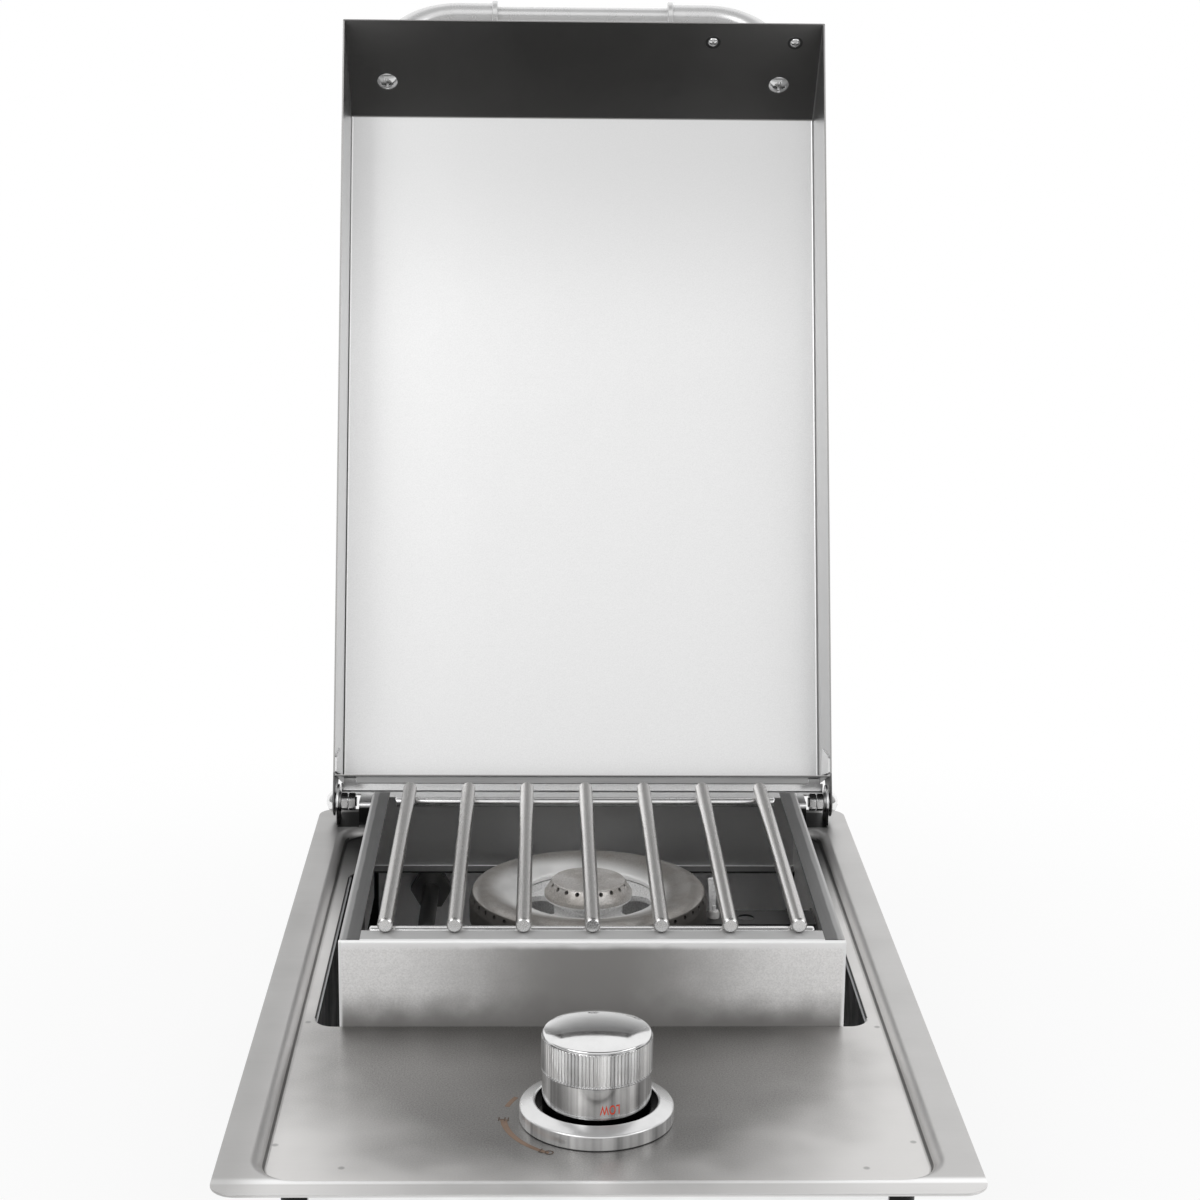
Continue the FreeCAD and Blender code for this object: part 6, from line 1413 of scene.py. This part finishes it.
class BURNER_OT_burner(bpy.types.Operator):
    """Round burner: cast bowl with its dish, loose ring and loose centre cap, both with real ports"""

    bl_idname = "burner.burner"
    bl_label = "Burner"

    def execute(self, context):
        self.ring(context.scene.burner_colours)
        self.cap()
        self.bowl()
        return {"FINISHED"}

    def ring(self, colours):
        """Loose ring: a dome that falls towards the middle, over a leaning skirt with ports."""
        half, port_z, inner = 1.6, 23.6, 61.4

        def skirt(z):
            return 66.0 - 0.28 * (z - 20.0)

        outer = [(66.0, 9.5), (66.0, 19.6), (skirt(20.4), 20.4), (skirt(port_z - half), port_z - half)]
        dome = np.vstack([
            [(skirt(port_z + half), port_z + half), (64.42, 25.5), (64.0, 25.9)],
            arc_to((64.0, 25.9), (56.5, 28.0), 18.0, 10), arc_to((56.5, 28.0), (38.2, 22.6), 300.0, 12),
            [(37.8, 22.3), (37.5, 21.9), (38.8, 19.6), (54.0, 24.9), (58.5, 25.6), (inner, port_z + half)]])
        under = [(inner, port_z - half), (inner, 13.8), (63.6, 13.8), (63.6, 9.5), (66.0, 9.5)]
        nets = ported([outer, dome, under], 48, 1.15, port_z, skirt, lambda z: inner + 0 * z, half)
        cast = casting("burner ring metal", colours.burner, stain=(0.26, 0.22, 0.175), amount=0.30,
                       rough=0.36, pit=1500.0, bump=0.10, metallic=0.8)
        # Painted highlight on the inner part of the dome.
        ringed(cast, (-5.0, BURNER_Y), 54.0, 41.0, grey(1.0, 0.004), waver=4.0)
        # Painted shade on the outer edge and the skirt.
        shaded(cast, 63.9, 25.6, BURNER_Y, outwards=True, colour=grey(0.46, 0.012))
        dress("ring_dome", placed(nets, at_burner), "ring", [cast], ["burner_ring"],
              sharp=38.0)

    def cap(self):
        """Loose centre cap: a cone with ports under a low crown."""
        half, port_z, thick = 1.35, 29.4, 2.2

        def side(z):
            return 24.4 - (z - 24.6) * 4.5 / 6.6

        outer = [(24.4, 22.6), (24.4, 24.4), (24.4, 24.6), (side(port_z - half), port_z - half)]
        crown = np.linspace(19.4, 0.0, 14)
        top = np.vstack([[(side(port_z + half), port_z + half), (20.2, 30.9), (19.8, 31.25)],
                         np.column_stack([crown, 31.3 + 0.9 * (1 - (crown / 19.4) ** 2)])])
        ceiling = [(0.0, 30.0), (side(port_z + half) - thick, port_z + half)]
        below = [(side(port_z - half) - thick, port_z - half), (22.2, 24.0), (22.2, 22.6), (24.4, 22.6)]
        nets = ported([outer, top, ceiling, below], 20, 1.15, port_z, side, lambda z: side(z) - thick, half,
                      6, 4)
        dark = casting("cap metal", grey(0.84, 0.012), stain=(0.30, 0.26, 0.22), amount=0.40, rough=0.36,
                       pit=1300.0, bump=0.14, metallic=0.8)
        dress("cap_dome", placed(nets, at_burner), "cap", [dark], ["burner_cap"], sharp=38.0)

    def bowl(self):
        """Bowl: stem, gas channel and hub turned about the axis, and the dish between them."""
        steps = 144
        stem = [(0.0, -46.0), (14.0, -46.0), (14.0, DISH_LOW), (HUB_RADIUS, DISH_LOW)]
        channel = [(DISH_RADIUS, DISH_LOW), (38.5, DISH_LOW), (38.5, -13.8), (55.0, -13.8), (63.0, 0.2),
                   (63.0, 13.5), (60.4, 13.5), (60.4, 0.2), (52.4, -11.2), (41.1, -11.2), (41.1, 18.7),
                   (40.8, 19.0), (38.8, 19.0), (38.5, 18.7), (37.3, DISH_HIGH), (DISH_RADIUS, DISH_HIGH)]
        hub = [(HUB_RADIUS, DISH_HIGH), (HUB_RADIUS, 18.4), (16.0, 18.9), (23.6, 21.2), (24.0, 21.5),
               (24.0, 22.0), (23.7, 22.3), (18.0, 22.3), (12.5, 19.0), (11.0, 9.5), (11.0, -43.0),
               (0.0, -43.0)]
        nets = [turned(profile, steps) for profile in (stem, channel, hub)]
        holes = [self.opening(quarter * math.pi / 2) for quarter in range(4)]
        flat, faces = filled(circle(DISH_RADIUS, steps), [circle(HUB_RADIUS, steps)] + holes)
        for height in (DISH_HIGH, DISH_LOW):
            nets.append((np.column_stack([flat, np.full(len(flat), height)]), faces))
        for hole in holes:
            levels = [np.column_stack([hole, np.full(len(hole), z)]) for z in (DISH_HIGH, DISH_LOW)]
            nets.append(net(np.stack(levels), around=True))
        bright = casting("dish metal", grey(0.97), stain=(0.70, 0.68, 0.65), amount=0.2, rough=0.40,
                         pit=900.0, bump=0.06, metallic=0.1)
        dress("bowl_casting", placed(nets, at_burner), "base", [bright], ["burner_bowl"],
              sharp=30.0)

    def opening(self, bearing):
        """Kidney-shaped opening of the dish about one bearing: two arcs round the axis, joined by half
        circles."""
        nearest, furthest = 19.0, 35.8
        middle = (nearest + furthest) / 2
        end = (furthest - nearest) / 2
        half = math.radians(16.5)
        across = np.linspace(bearing - half, bearing + half, 20)
        far = np.column_stack([furthest * np.cos(across), furthest * np.sin(across)])
        near = np.column_stack([nearest * np.cos(across), nearest * np.sin(across)])[::-1]
        turn = np.linspace(0, math.pi, 12)[1:-1]
        ends = []
        for at, first in ((bearing + half, bearing + half), (bearing - half, bearing - half + math.pi)):
            centre = middle * np.array([math.cos(at), math.sin(at)])
            ends.append(centre + end * np.column_stack([np.cos(first + turn), np.sin(first + turn)]))
        return np.vstack([far, ends[0], near, ends[1]])


class BURNER_OT_ignition(bpy.types.Operator):
    """Spark electrode with its blade, and the ceramic round it"""

    bl_idname = "burner.ignition"
    bl_label = "Electrode"

    def execute(self, context):
        self.blade(0.6 * context.scene.burner_sizes.edge_round / MM)
        self.ceramic()
        return {"FINISHED"}

    def blade(self, rounding):
        """Jagged blade beside the ring, on a wire that comes up through the ceramic."""
        top = [(71.9, 32.0), (71.5, 32.3), (70.9, 31.7), (70.2, 32.25), (69.5, 31.6), (68.8, 32.3),
               (68.1, 31.8), (67.4, 32.25), (66.8, 31.6), (66.5, 31.4)]
        outline = np.vstack([[(67.6, 13.0), (70.6, 13.0)], top])
        nets = flat_plate(outline, (), BURNER_Y - 0.6, BURNER_Y + 0.6, along_y)
        wire = turned([(0.0, 0.0), (1.2, 0.0), (1.2, 30.0), (0.0, 30.0)], 24)
        nets += placed([wire], lambda p: p + np.array([ELECTRODE_X, BURNER_Y, -14.0]))
        spark = finish("electrode white", "Cast skin", 0.0, bump=0.05, Colour=grey(1.0),
                       Stain_colour=grey(0.92, 0.004), Stain=0.3, Roughness=0.35, Pit_size=600.0)
        dress("electrode_blade", nets, "base", [spark], ["spark_electrode"], edge=rounding)

    def ceramic(self):
        """White sleeve with one groove round it."""
        profile = [(1.2, 0.0), (2.8, 0.0), (3.2, 0.4), (3.2, 6.0), (2.9, 6.6), (2.9, 7.4), (3.2, 8.0),
                   (3.2, 24.0), (2.6, 25.0), (1.2, 25.0), (1.2, 0.0)]
        sleeve = placed([turned(profile, 40)], lambda p: p + np.array([ELECTRODE_X, BURNER_Y, -12.0]))
        glaze = finish("white glaze", "Cast skin", 0.0, bump=0.04, coat=0.6, Colour=grey(0.90, 0.006),
                       Stain_colour=grey(0.70, 0.02), Stain=0.25, Roughness=0.22, Pit_size=400.0)
        dress("electrode_ceramic", sleeve, "base", [glaze], ["electrode_insulator"], sharp=40.0)


# Knob and panel marks


def written(word, height, spacing=1.0, bold=0.0):
    """Filled letters as flat points and faces, centred on the origin, of a given capital height."""
    curve = bpy.data.curves.new("letters", "FONT")
    curve.body = word
    curve.align_x = "CENTER"
    curve.space_character = spacing
    curve.offset = bold
    holder = bpy.data.objects.new("letters", curve)
    bpy.context.scene.collection.objects.link(holder)
    bpy.context.view_layer.update()
    mesh = holder.to_mesh()
    points = np.zeros(len(mesh.vertices) * 3)
    mesh.vertices.foreach_get("co", points)
    points = points.reshape(-1, 3)[:, :2]
    mesh.calc_loop_triangles()
    faces = np.zeros(len(mesh.loop_triangles) * 3, np.int32)
    mesh.loop_triangles.foreach_get("vertices", faces)
    holder.to_mesh_clear()
    bpy.data.objects.remove(holder)
    bpy.data.curves.remove(curve)
    low, high = points.min(0), points.max(0)
    points = (points - (low + high) / 2) * height / (high[1] - low[1])
    return points, faces.reshape(-1, 3)


KNOB_RADIUS = 25.4
BAND_RADIUS = 25.8
KNOB_LOW = 1.2
CROWN_EDGE = 0.29
CROWN_POWER = 2.2
TRIM_INNER = 28.5
TRIM_OUTER = 36.0


class BURNER_OT_knob(bpy.types.Operator):
    """Chrome knob with a fluted band and a polished dome, and the trim ring round it"""

    bl_idname = "burner.knob"
    bl_label = "Knob"

    def execute(self, context):
        sizes = context.scene.burner_sizes
        colours = context.scene.burner_colours
        self.knob(sizes.flute_count, sizes.flute_depth / MM, colours)
        self.trim_ring(colours)
        self.print_on_skirt(colours)
        return {"FINISHED"}

    def knob(self, count, depth, colours):
        """Hollow turned knob; the band's radius falls by depth (1 - cos(count t)) / 2, and the crown falls
        away from its middle by a power of the radius."""
        chrome = polish("knob chrome", colours.chrome, rough=0.07, smudge=0.06)
        # Painted reflection streaks on the band and skirt.
        painted_reflection_streaks(chrome, 38.2)
        # Painted shade at the knob's foot.
        toned(chrome, "Z", 2.4, 1.8, grey(0.40))
        steps = count * 8
        angle = np.linspace(0, 2 * np.pi, steps, endpoint=False)
        side = [(23.0, KNOB_LOW), (25.36, KNOB_LOW), (KNOB_RADIUS, KNOB_LOW + 0.05), (KNOB_RADIUS, 8.0),
                (KNOB_RADIUS, 15.0), (KNOB_RADIUS, 21.2), (25.6, 21.4), (BAND_RADIUS, 21.7)]
        band = [(BAND_RADIUS, z) for z in (22.0, 22.4, 23.0, 27.0, 31.0, 35.0, 36.6, 37.1, 37.5)]
        band.append((25.55, 37.8))
        rim = [(25.0, 37.86), (24.9, 38.0), (25.1, 38.12), (25.2, 38.3)]
        share = np.linspace(0, math.pi / 2 - math.atan(CROWN_EDGE), 10)[1:]
        edge = np.column_stack([24.0 + 1.2 * np.cos(share), 38.3 + 1.2 * np.sin(share)])
        crown = np.linspace(edge[-1, 0] - 0.4, 0.0, 30)
        fallen = CROWN_EDGE * edge[-1, 0] / CROWN_POWER * (1 - (crown / edge[-1, 0]) ** CROWN_POWER)
        top = np.column_stack([crown, edge[-1, 1] + fallen])
        inner = [(0.0, 36.8), (23.4, 36.8), (23.4, 20.0), (23.0, KNOB_LOW)]
        profile = np.vstack([side, band, rim, edge, top, inner])
        radius = np.repeat(profile[:, :1], steps, axis=1)
        grooved = np.clip((profile[:, 1] - 21.6) / 0.9, 0, 1) * np.clip((37.9 - profile[:, 1]) / 0.5, 0, 1)
        grooved[len(side) + len(band):] = 0.0
        radius -= depth * grooved[:, None] * (0.5 - 0.5 * np.cos(count * angle))[None, :]
        height = np.repeat(profile[:, 1:2], steps, axis=1)
        points = np.stack([radius * np.cos(angle), KNOB_Y + radius * np.sin(angle), height], -1)
        dress("knob_chrome", [net(points, around=True)], "knob", [chrome], ["knob"], sharp=32.0)

    def trim_ring(self, colours):
        """Turned ring on the panel whose top leans out and down."""
        profile = bent([(TRIM_INNER, PANEL_Z, 0), (TRIM_OUTER, PANEL_Z, 0), (TRIM_OUTER, 3.3, 1.3),
                        (29.2, 5.8, 0.8), (TRIM_INNER, 5.0, 0.4), (TRIM_INNER, PANEL_Z, 0)], finest=12)
        trim = polish("trim ring chrome", colours.chrome, rough=0.22, smudge=0.05, bump=0.0, metallic=0.7)
        # Painted reflection streaks low on the ring.
        painted_reflection_streaks(trim, 2.6)
        # Painted shade at the ring's foot.
        toned(trim, "Z", PANEL_Z + 0.7, PANEL_Z + 0.2, grey(0.12))
        # Painted shade on the inner wall, in the gap round the knob.
        shaded(trim, 28.9, 4.9)
        ring = placed([turned(profile, 192)], lambda p: p + np.array([0.0, KNOB_Y, 0.0]))
        dress("trim_ring", ring, "base", [trim], ["bezel"], sharp=24.0)

    def print_on_skirt(self, colours):
        """LOW, upside down on the front of the skirt, bent round it: angle = place - x / radius."""
        red = ink("red print", colours.print_red)
        letters, faces = written("LOW", 4.6, 1.1, 0.014)
        letters[:, 0] *= 9.2 / (letters[:, 0].max() - letters[:, 0].min())
        angle = math.radians(-77.5) - letters[:, 0] / KNOB_RADIUS
        level = 11.2 - letters[:, 1]
        layers = [np.stack([r * np.cos(angle), KNOB_Y + r * np.sin(angle), level], -1)
                  for r in (KNOB_RADIUS - 0.02, KNOB_RADIUS + 0.06)]
        dress("skirt_print", [(layer, faces) for layer in layers], "knob", [red])


def arc_band(first, last, inner, outer, steps):
    """Flat band round the knob's axis between two directions in degrees, from an inner to an outer radius,
    as flat points and faces; each radius may change along the band."""
    angle = np.radians(np.linspace(first, last, steps))
    lines = [np.column_stack([r * np.cos(angle), KNOB_Y + r * np.sin(angle), np.zeros(steps)])
             for r in (inner, outer)]
    flat, faces = net(np.stack(lines))
    return flat[:, :2], faces


class BURNER_OT_marks(bpy.types.Operator):
    """Printed HI, LO and wedge-shaped arc on the panel round the trim ring"""

    bl_idname = "burner.marks"
    bl_label = "Panel print"

    def execute(self, context):
        colour = context.scene.burner_colours.print_brown
        brown = ink("panel print", colour)
        dark = ink("panel letters", [0.42 * value for value in colour])
        letters = [self.lettered("HI", (-43.1, 78.5), -4.0), self.lettered("LO", (-23.2, 45.0), -28.0)]
        half = np.linspace(3.2, 2.2, 40) / 2
        bands = [arc_band(183.0, 239.0, 43.2 - half, 43.2 + half, 40), arc_band(150.0, 165.0, 42.0, 44.4, 8)]
        for name, parts, lowest, material in (("panel_print", bands, 0.01, brown),
                                              ("panel_letters", letters, 0.08, dark)):
            nets = []
            for points, faces in parts:
                for level in (PANEL_Z + lowest, PANEL_Z + lowest + 0.04):
                    nets.append((np.column_stack([points, np.full(len(points), level)]), faces))
            dress(name, nets, "base", [material])
        return {"FINISHED"}

    def lettered(self, word, middle, turn):
        """A word of 4 mm capitals, turned by some degrees and moved to its middle (x, y)."""
        points, faces = written(word, 4.0, 1.05, 0.01)
        cosine, sine = math.cos(math.radians(turn)), math.sin(math.radians(turn))
        return points @ np.array([[cosine, sine], [-sine, cosine]]) + np.array(middle), faces


# Parts that keep their solid

BRASS = (0.62, 0.44, 0.16)
BRASS_STAIN = (0.34, 0.20, 0.07)


class BURNER_OT_hidden(bpy.types.Operator):
    """Finishes of the parts under the tray and inside the burner box"""

    bl_idname = "burner.hidden"
    bl_label = "Parts below"

    def execute(self, context):
        zinc = steel("zinc sheet", grey(0.70, -0.004), rough=0.45, streaks=(60.0, 90.0, 60.0), grain=0.30,
                     patches=0.35, specks=0.10)
        # Painted shade on the housing beside the burner box.
        boxed(zinc, (128.5, 18.0, -109.2), (146.0, 480.0, -6.0), grey(0.16))
        # Painted light brightens the housing under the burner box.
        boxed(zinc, (-128.0, 18.0, -109.2), (128.0, 480.0, -6.0), grey(1.0))
        strap = steel("strap steel", grey(0.45), rough=0.45, grain=0.2, patches=0.3)
        bracket = steel("electrode bracket steel", grey(0.36), rough=0.36, patches=0.2)
        mixer = steel("mixing tube steel", grey(0.62), rough=0.40, streaks=(600.0, 14.0, 600.0), patches=0.2)
        bolt = polish("small screw steel", grey(0.80), rough=0.22, smudge=0.15)
        brass = casting("turned brass", BRASS, stain=BRASS_STAIN, amount=0.35, rough=0.26, pit=500.0,
                        bump=0.06)
        fitting = casting("inlet brass", BRASS, stain=BRASS_STAIN, amount=0.35, rough=0.30, pit=500.0,
                          bump=0.06)
        # Painted shade on the part of the fitting inside the housing.
        toned(fitting, "Y", 480.5, 479.5, grey(0.55))
        plastic = finish("igniter plastic", "Cast skin", 0.0, bump=0.15, Colour=(0.018, 0.018, 0.019),
                         Stain_colour=(0.05, 0.05, 0.05), Stain=0.3, Roughness=0.42, Pit_size=1500.0)
        rubber = finish("lead sleeve", "Cast skin", 0.0, bump=0.1, Colour=(0.17, 0.02, 0.014),
                        Stain_colour=(0.08, 0.02, 0.02), Stain=0.4, Roughness=0.5, Pit_size=900.0)
        pipe = steel("gas pipe metal", grey(0.60), rough=0.40, streaks=(30.0, 30.0, 30.0), grain=0.1,
                     patches=0.2)
        finishes = {
            "lower_housing": zinc, "burner_strap": strap, "electrode_bracket": bracket, "burner_screws": bolt,
            "mixing_tube": mixer, "valve_body": brass, "gas_orifice": brass, "gas_inlet_fitting": fitting,
            "valve_plug": brass, "valve_screws": bolt, "valve_stem": bolt, "return_spring": bolt,
            "gas_pipe": pipe, "spark_igniter": plastic, "spark_lead": rubber,
        }
        for node, material in finishes.items():
            keep(node, material)
        return {"FINISHED"}


# Stage


def aimed(place, target):
    """Rotation that looks from a place at a target."""
    return (Vector(target) - Vector(place)).to_track_quat("-Z", "Y").to_euler()


class BURNER_OT_stage(bpy.types.Operator):
    """Pale floor, soft lamps, even sky and the camera"""

    bl_idname = "burner.stage"
    bl_label = "Stage"

    def execute(self, context):
        scene = context.scene
        values = scene.burner_stage
        scene.view_settings.view_transform = "Standard"
        self.floor(scene)
        for name, place, target, size, power in (
                ("key lamp", (-1.3, -1.0, 1.7), (0.0, 0.25, 0.1), 1.6, values.key),
                ("fill lamp", (1.7, -0.4, 1.2), (0.0, 0.25, 0.1), 1.2, values.fill)):
            light = bpy.data.lights.new(name, "AREA")
            light.shape = "DISK"
            light.size = size
            light.energy = power
            lamp = bpy.data.objects.new(name, light)
            lamp.location = place
            lamp.rotation_euler = aimed(place, target)
            scene.collection.objects.link(lamp)
        self.sky(scene, values.sky)
        self.camera(scene)
        return {"FINISHED"}

    def floor(self, scene):
        """Pale floor just under the part. It keeps the part's shadow and turns white further out for the
        camera; metal sees it darker in front."""
        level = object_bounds()[0][2] - 0.0005
        mesh = bpy.data.meshes.new("floor")
        mesh.from_pydata([(-6, -6, level), (6, -6, level), (6, 6, level), (-6, 6, level)], [], [(0, 1, 2, 3)])
        floor = bpy.data.objects.new("floor", mesh)
        scene.collection.objects.link(floor)
        material = bpy.data.materials.new("pale floor")
        material.use_nodes = True
        tree = material.node_tree
        shader = tree.nodes["Principled BSDF"]
        shader.inputs["Base Color"].default_value = (0.90, 0.90, 0.90, 1.0)
        shader.inputs["Roughness"].default_value = 0.9
        shader.inputs["Specular IOR Level"].default_value = 0.1
        path = tree.nodes.new("ShaderNodeLightPath")
        place = tree.nodes.new("ShaderNodeTexCoord")
        apart = tree.nodes.new("ShaderNodeVectorMath")
        apart.operation = "DISTANCE"
        tree.links.new(place.outputs["Object"], apart.inputs[0])
        apart.inputs[1].default_value = (0.0, 0.26, level)
        seen = sums(tree, "MAXIMUM", path.outputs["Is Camera Ray"], path.outputs["Is Glossy Ray"])
        seen = sums(tree, "MAXIMUM", seen, path.outputs["Is Transmission Ray"])
        far = ramp(tree, apart.outputs["Value"], 0.35, 0.85, 0.86, 1.0, smooth=True)
        share = sums(tree, "MULTIPLY", seen, far)
        split = tree.nodes.new("ShaderNodeSeparateXYZ")
        tree.links.new(place.outputs["Object"], split.inputs[0])
        front = ramp(tree, split.outputs["Y"], -0.9, -0.1, 0.60, 1.0, smooth=True)
        white = tree.nodes.new("ShaderNodeEmission")
        tree.links.new(sums(tree, "MAXIMUM", front, path.outputs["Is Camera Ray"]), white.inputs["Strength"])
        mix = tree.nodes.new("ShaderNodeMixShader")
        tree.links.new(share, mix.inputs["Fac"])
        tree.links.new(shader.outputs["BSDF"], mix.inputs[1])
        tree.links.new(white.outputs["Emission"], mix.inputs[2])
        tree.links.new(mix.outputs["Shader"], tree.nodes["Material Output"].inputs["Surface"])
        mesh.materials.append(material)
        floor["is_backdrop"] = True

    def sky(self, scene, strength):
        """White for the camera. Metal sees a studio: white behind, a wide soft light in front above eye
        level, and darker walls low in front, at the sides and overhead."""
        world = bpy.data.worlds.new("sky")
        scene.world = world
        world.use_nodes = True
        tree = world.node_tree
        background = tree.nodes["Background"]
        background.inputs["Color"].default_value = (1.0, 1.0, 1.0, 1.0)
        path = tree.nodes.new("ShaderNodeLightPath")
        place = tree.nodes.new("ShaderNodeTexCoord")
        split = tree.nodes.new("ShaderNodeSeparateXYZ")
        tree.links.new(place.outputs["Generated"], split.inputs[0])
        rise = ramp(tree, split.outputs["Z"], 0.02, 0.30, smooth=True)
        fall = ramp(tree, split.outputs["Z"], 0.90, 0.66, smooth=True)
        back = ramp(tree, split.outputs["Y"], 0.0, 0.45, smooth=True)
        aside = sums(tree, "ABSOLUTE", split.outputs["X"], None)
        side = ramp(tree, aside, 0.62, 0.86, 1.0, 0.30, smooth=True)
        soft = sums(tree, "MULTIPLY", sums(tree, "MULTIPLY", rise, fall), side)
        light = ramp(tree, sums(tree, "MAXIMUM", soft, back), 0.0, 1.0, 0.16, 1.06)
        glossy = sums(tree, "MULTIPLY", path.outputs["Is Glossy Ray"], light)
        plain = sums(tree, "MULTIPLY", sums(tree, "SUBTRACT", 1.0, path.outputs["Is Glossy Ray"]), strength)
        lit = sums(tree, "ADD", glossy, plain)
        seen = sums(tree, "MAXIMUM", path.outputs["Is Camera Ray"], path.outputs["Is Transmission Ray"])
        whole = sums(tree, "ADD", seen, sums(tree, "MULTIPLY", sums(tree, "SUBTRACT", 1.0, seen), lit))
        tree.links.new(whole, background.inputs["Strength"])

    def camera(self, scene):
        """Camera at the measured place: forward from pitch and yaw, then rolled about it."""
        pitch, yaw, roll = 0.2262, 0.0243, 0.0092
        forward = Vector((math.sin(yaw) * math.cos(pitch), math.cos(yaw) * math.cos(pitch), -math.sin(pitch)))
        right = Vector((math.cos(yaw), -math.sin(yaw), 0.0))
        up = right.cross(forward)
        across = math.cos(roll) * right + math.sin(roll) * up
        upward = -math.sin(roll) * right + math.cos(roll) * up
        lens = bpy.data.cameras.new("camera")
        lens.lens = 71.32
        lens.sensor_width = 36.0
        eye = bpy.data.objects.new("camera", lens)
        turn = Matrix((across, upward, -forward)).transposed()
        eye.matrix_world = Matrix.Translation((-0.02541, -0.94126, 0.47802)) @ turn.to_4x4()
        scene.collection.objects.link(eye)
        scene.camera = eye


# Add-on


class BURNER_PT_panel(bpy.types.Panel):
    """Sidebar list of the steps"""

    bl_label = "Side burner"
    bl_idname = "BURNER_PT_panel"
    bl_space_type = "VIEW_3D"
    bl_region_type = "UI"
    bl_category = "Side burner"

    def draw(self, context):
        for step in STEPS:
            self.layout.operator(step.bl_idname)
        for group in (context.scene.burner_sizes, context.scene.burner_colours, context.scene.burner_stage):
            for name in type(group).__annotations__:
                self.layout.prop(group, name)


STEPS = (BURNER_OT_tray, BURNER_OT_box, BURNER_OT_bracket, BURNER_OT_hinge, BURNER_OT_lid,
         BURNER_OT_handle, BURNER_OT_grate, BURNER_OT_burner, BURNER_OT_ignition, BURNER_OT_knob,
         BURNER_OT_marks, BURNER_OT_hidden, BURNER_OT_stage)
CLASSES = (BurnerSizes, BurnerColours, BurnerStage) + STEPS + (BURNER_PT_panel,)


def register():
    for each in CLASSES:
        bpy.utils.register_class(each)
    bpy.types.Scene.burner_sizes = bpy.props.PointerProperty(type=BurnerSizes)
    bpy.types.Scene.burner_colours = bpy.props.PointerProperty(type=BurnerColours)
    bpy.types.Scene.burner_stage = bpy.props.PointerProperty(type=BurnerStage)


def unregister():
    del bpy.types.Scene.burner_stage
    del bpy.types.Scene.burner_colours
    del bpy.types.Scene.burner_sizes
    for each in reversed(CLASSES):
        bpy.utils.unregister_class(each)


def main():
    register()
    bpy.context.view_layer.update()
    for step in STEPS:
        group, name = step.bl_idname.split(".")
        getattr(getattr(bpy.ops, group), name)()


if __name__ == "__main__":
    main()
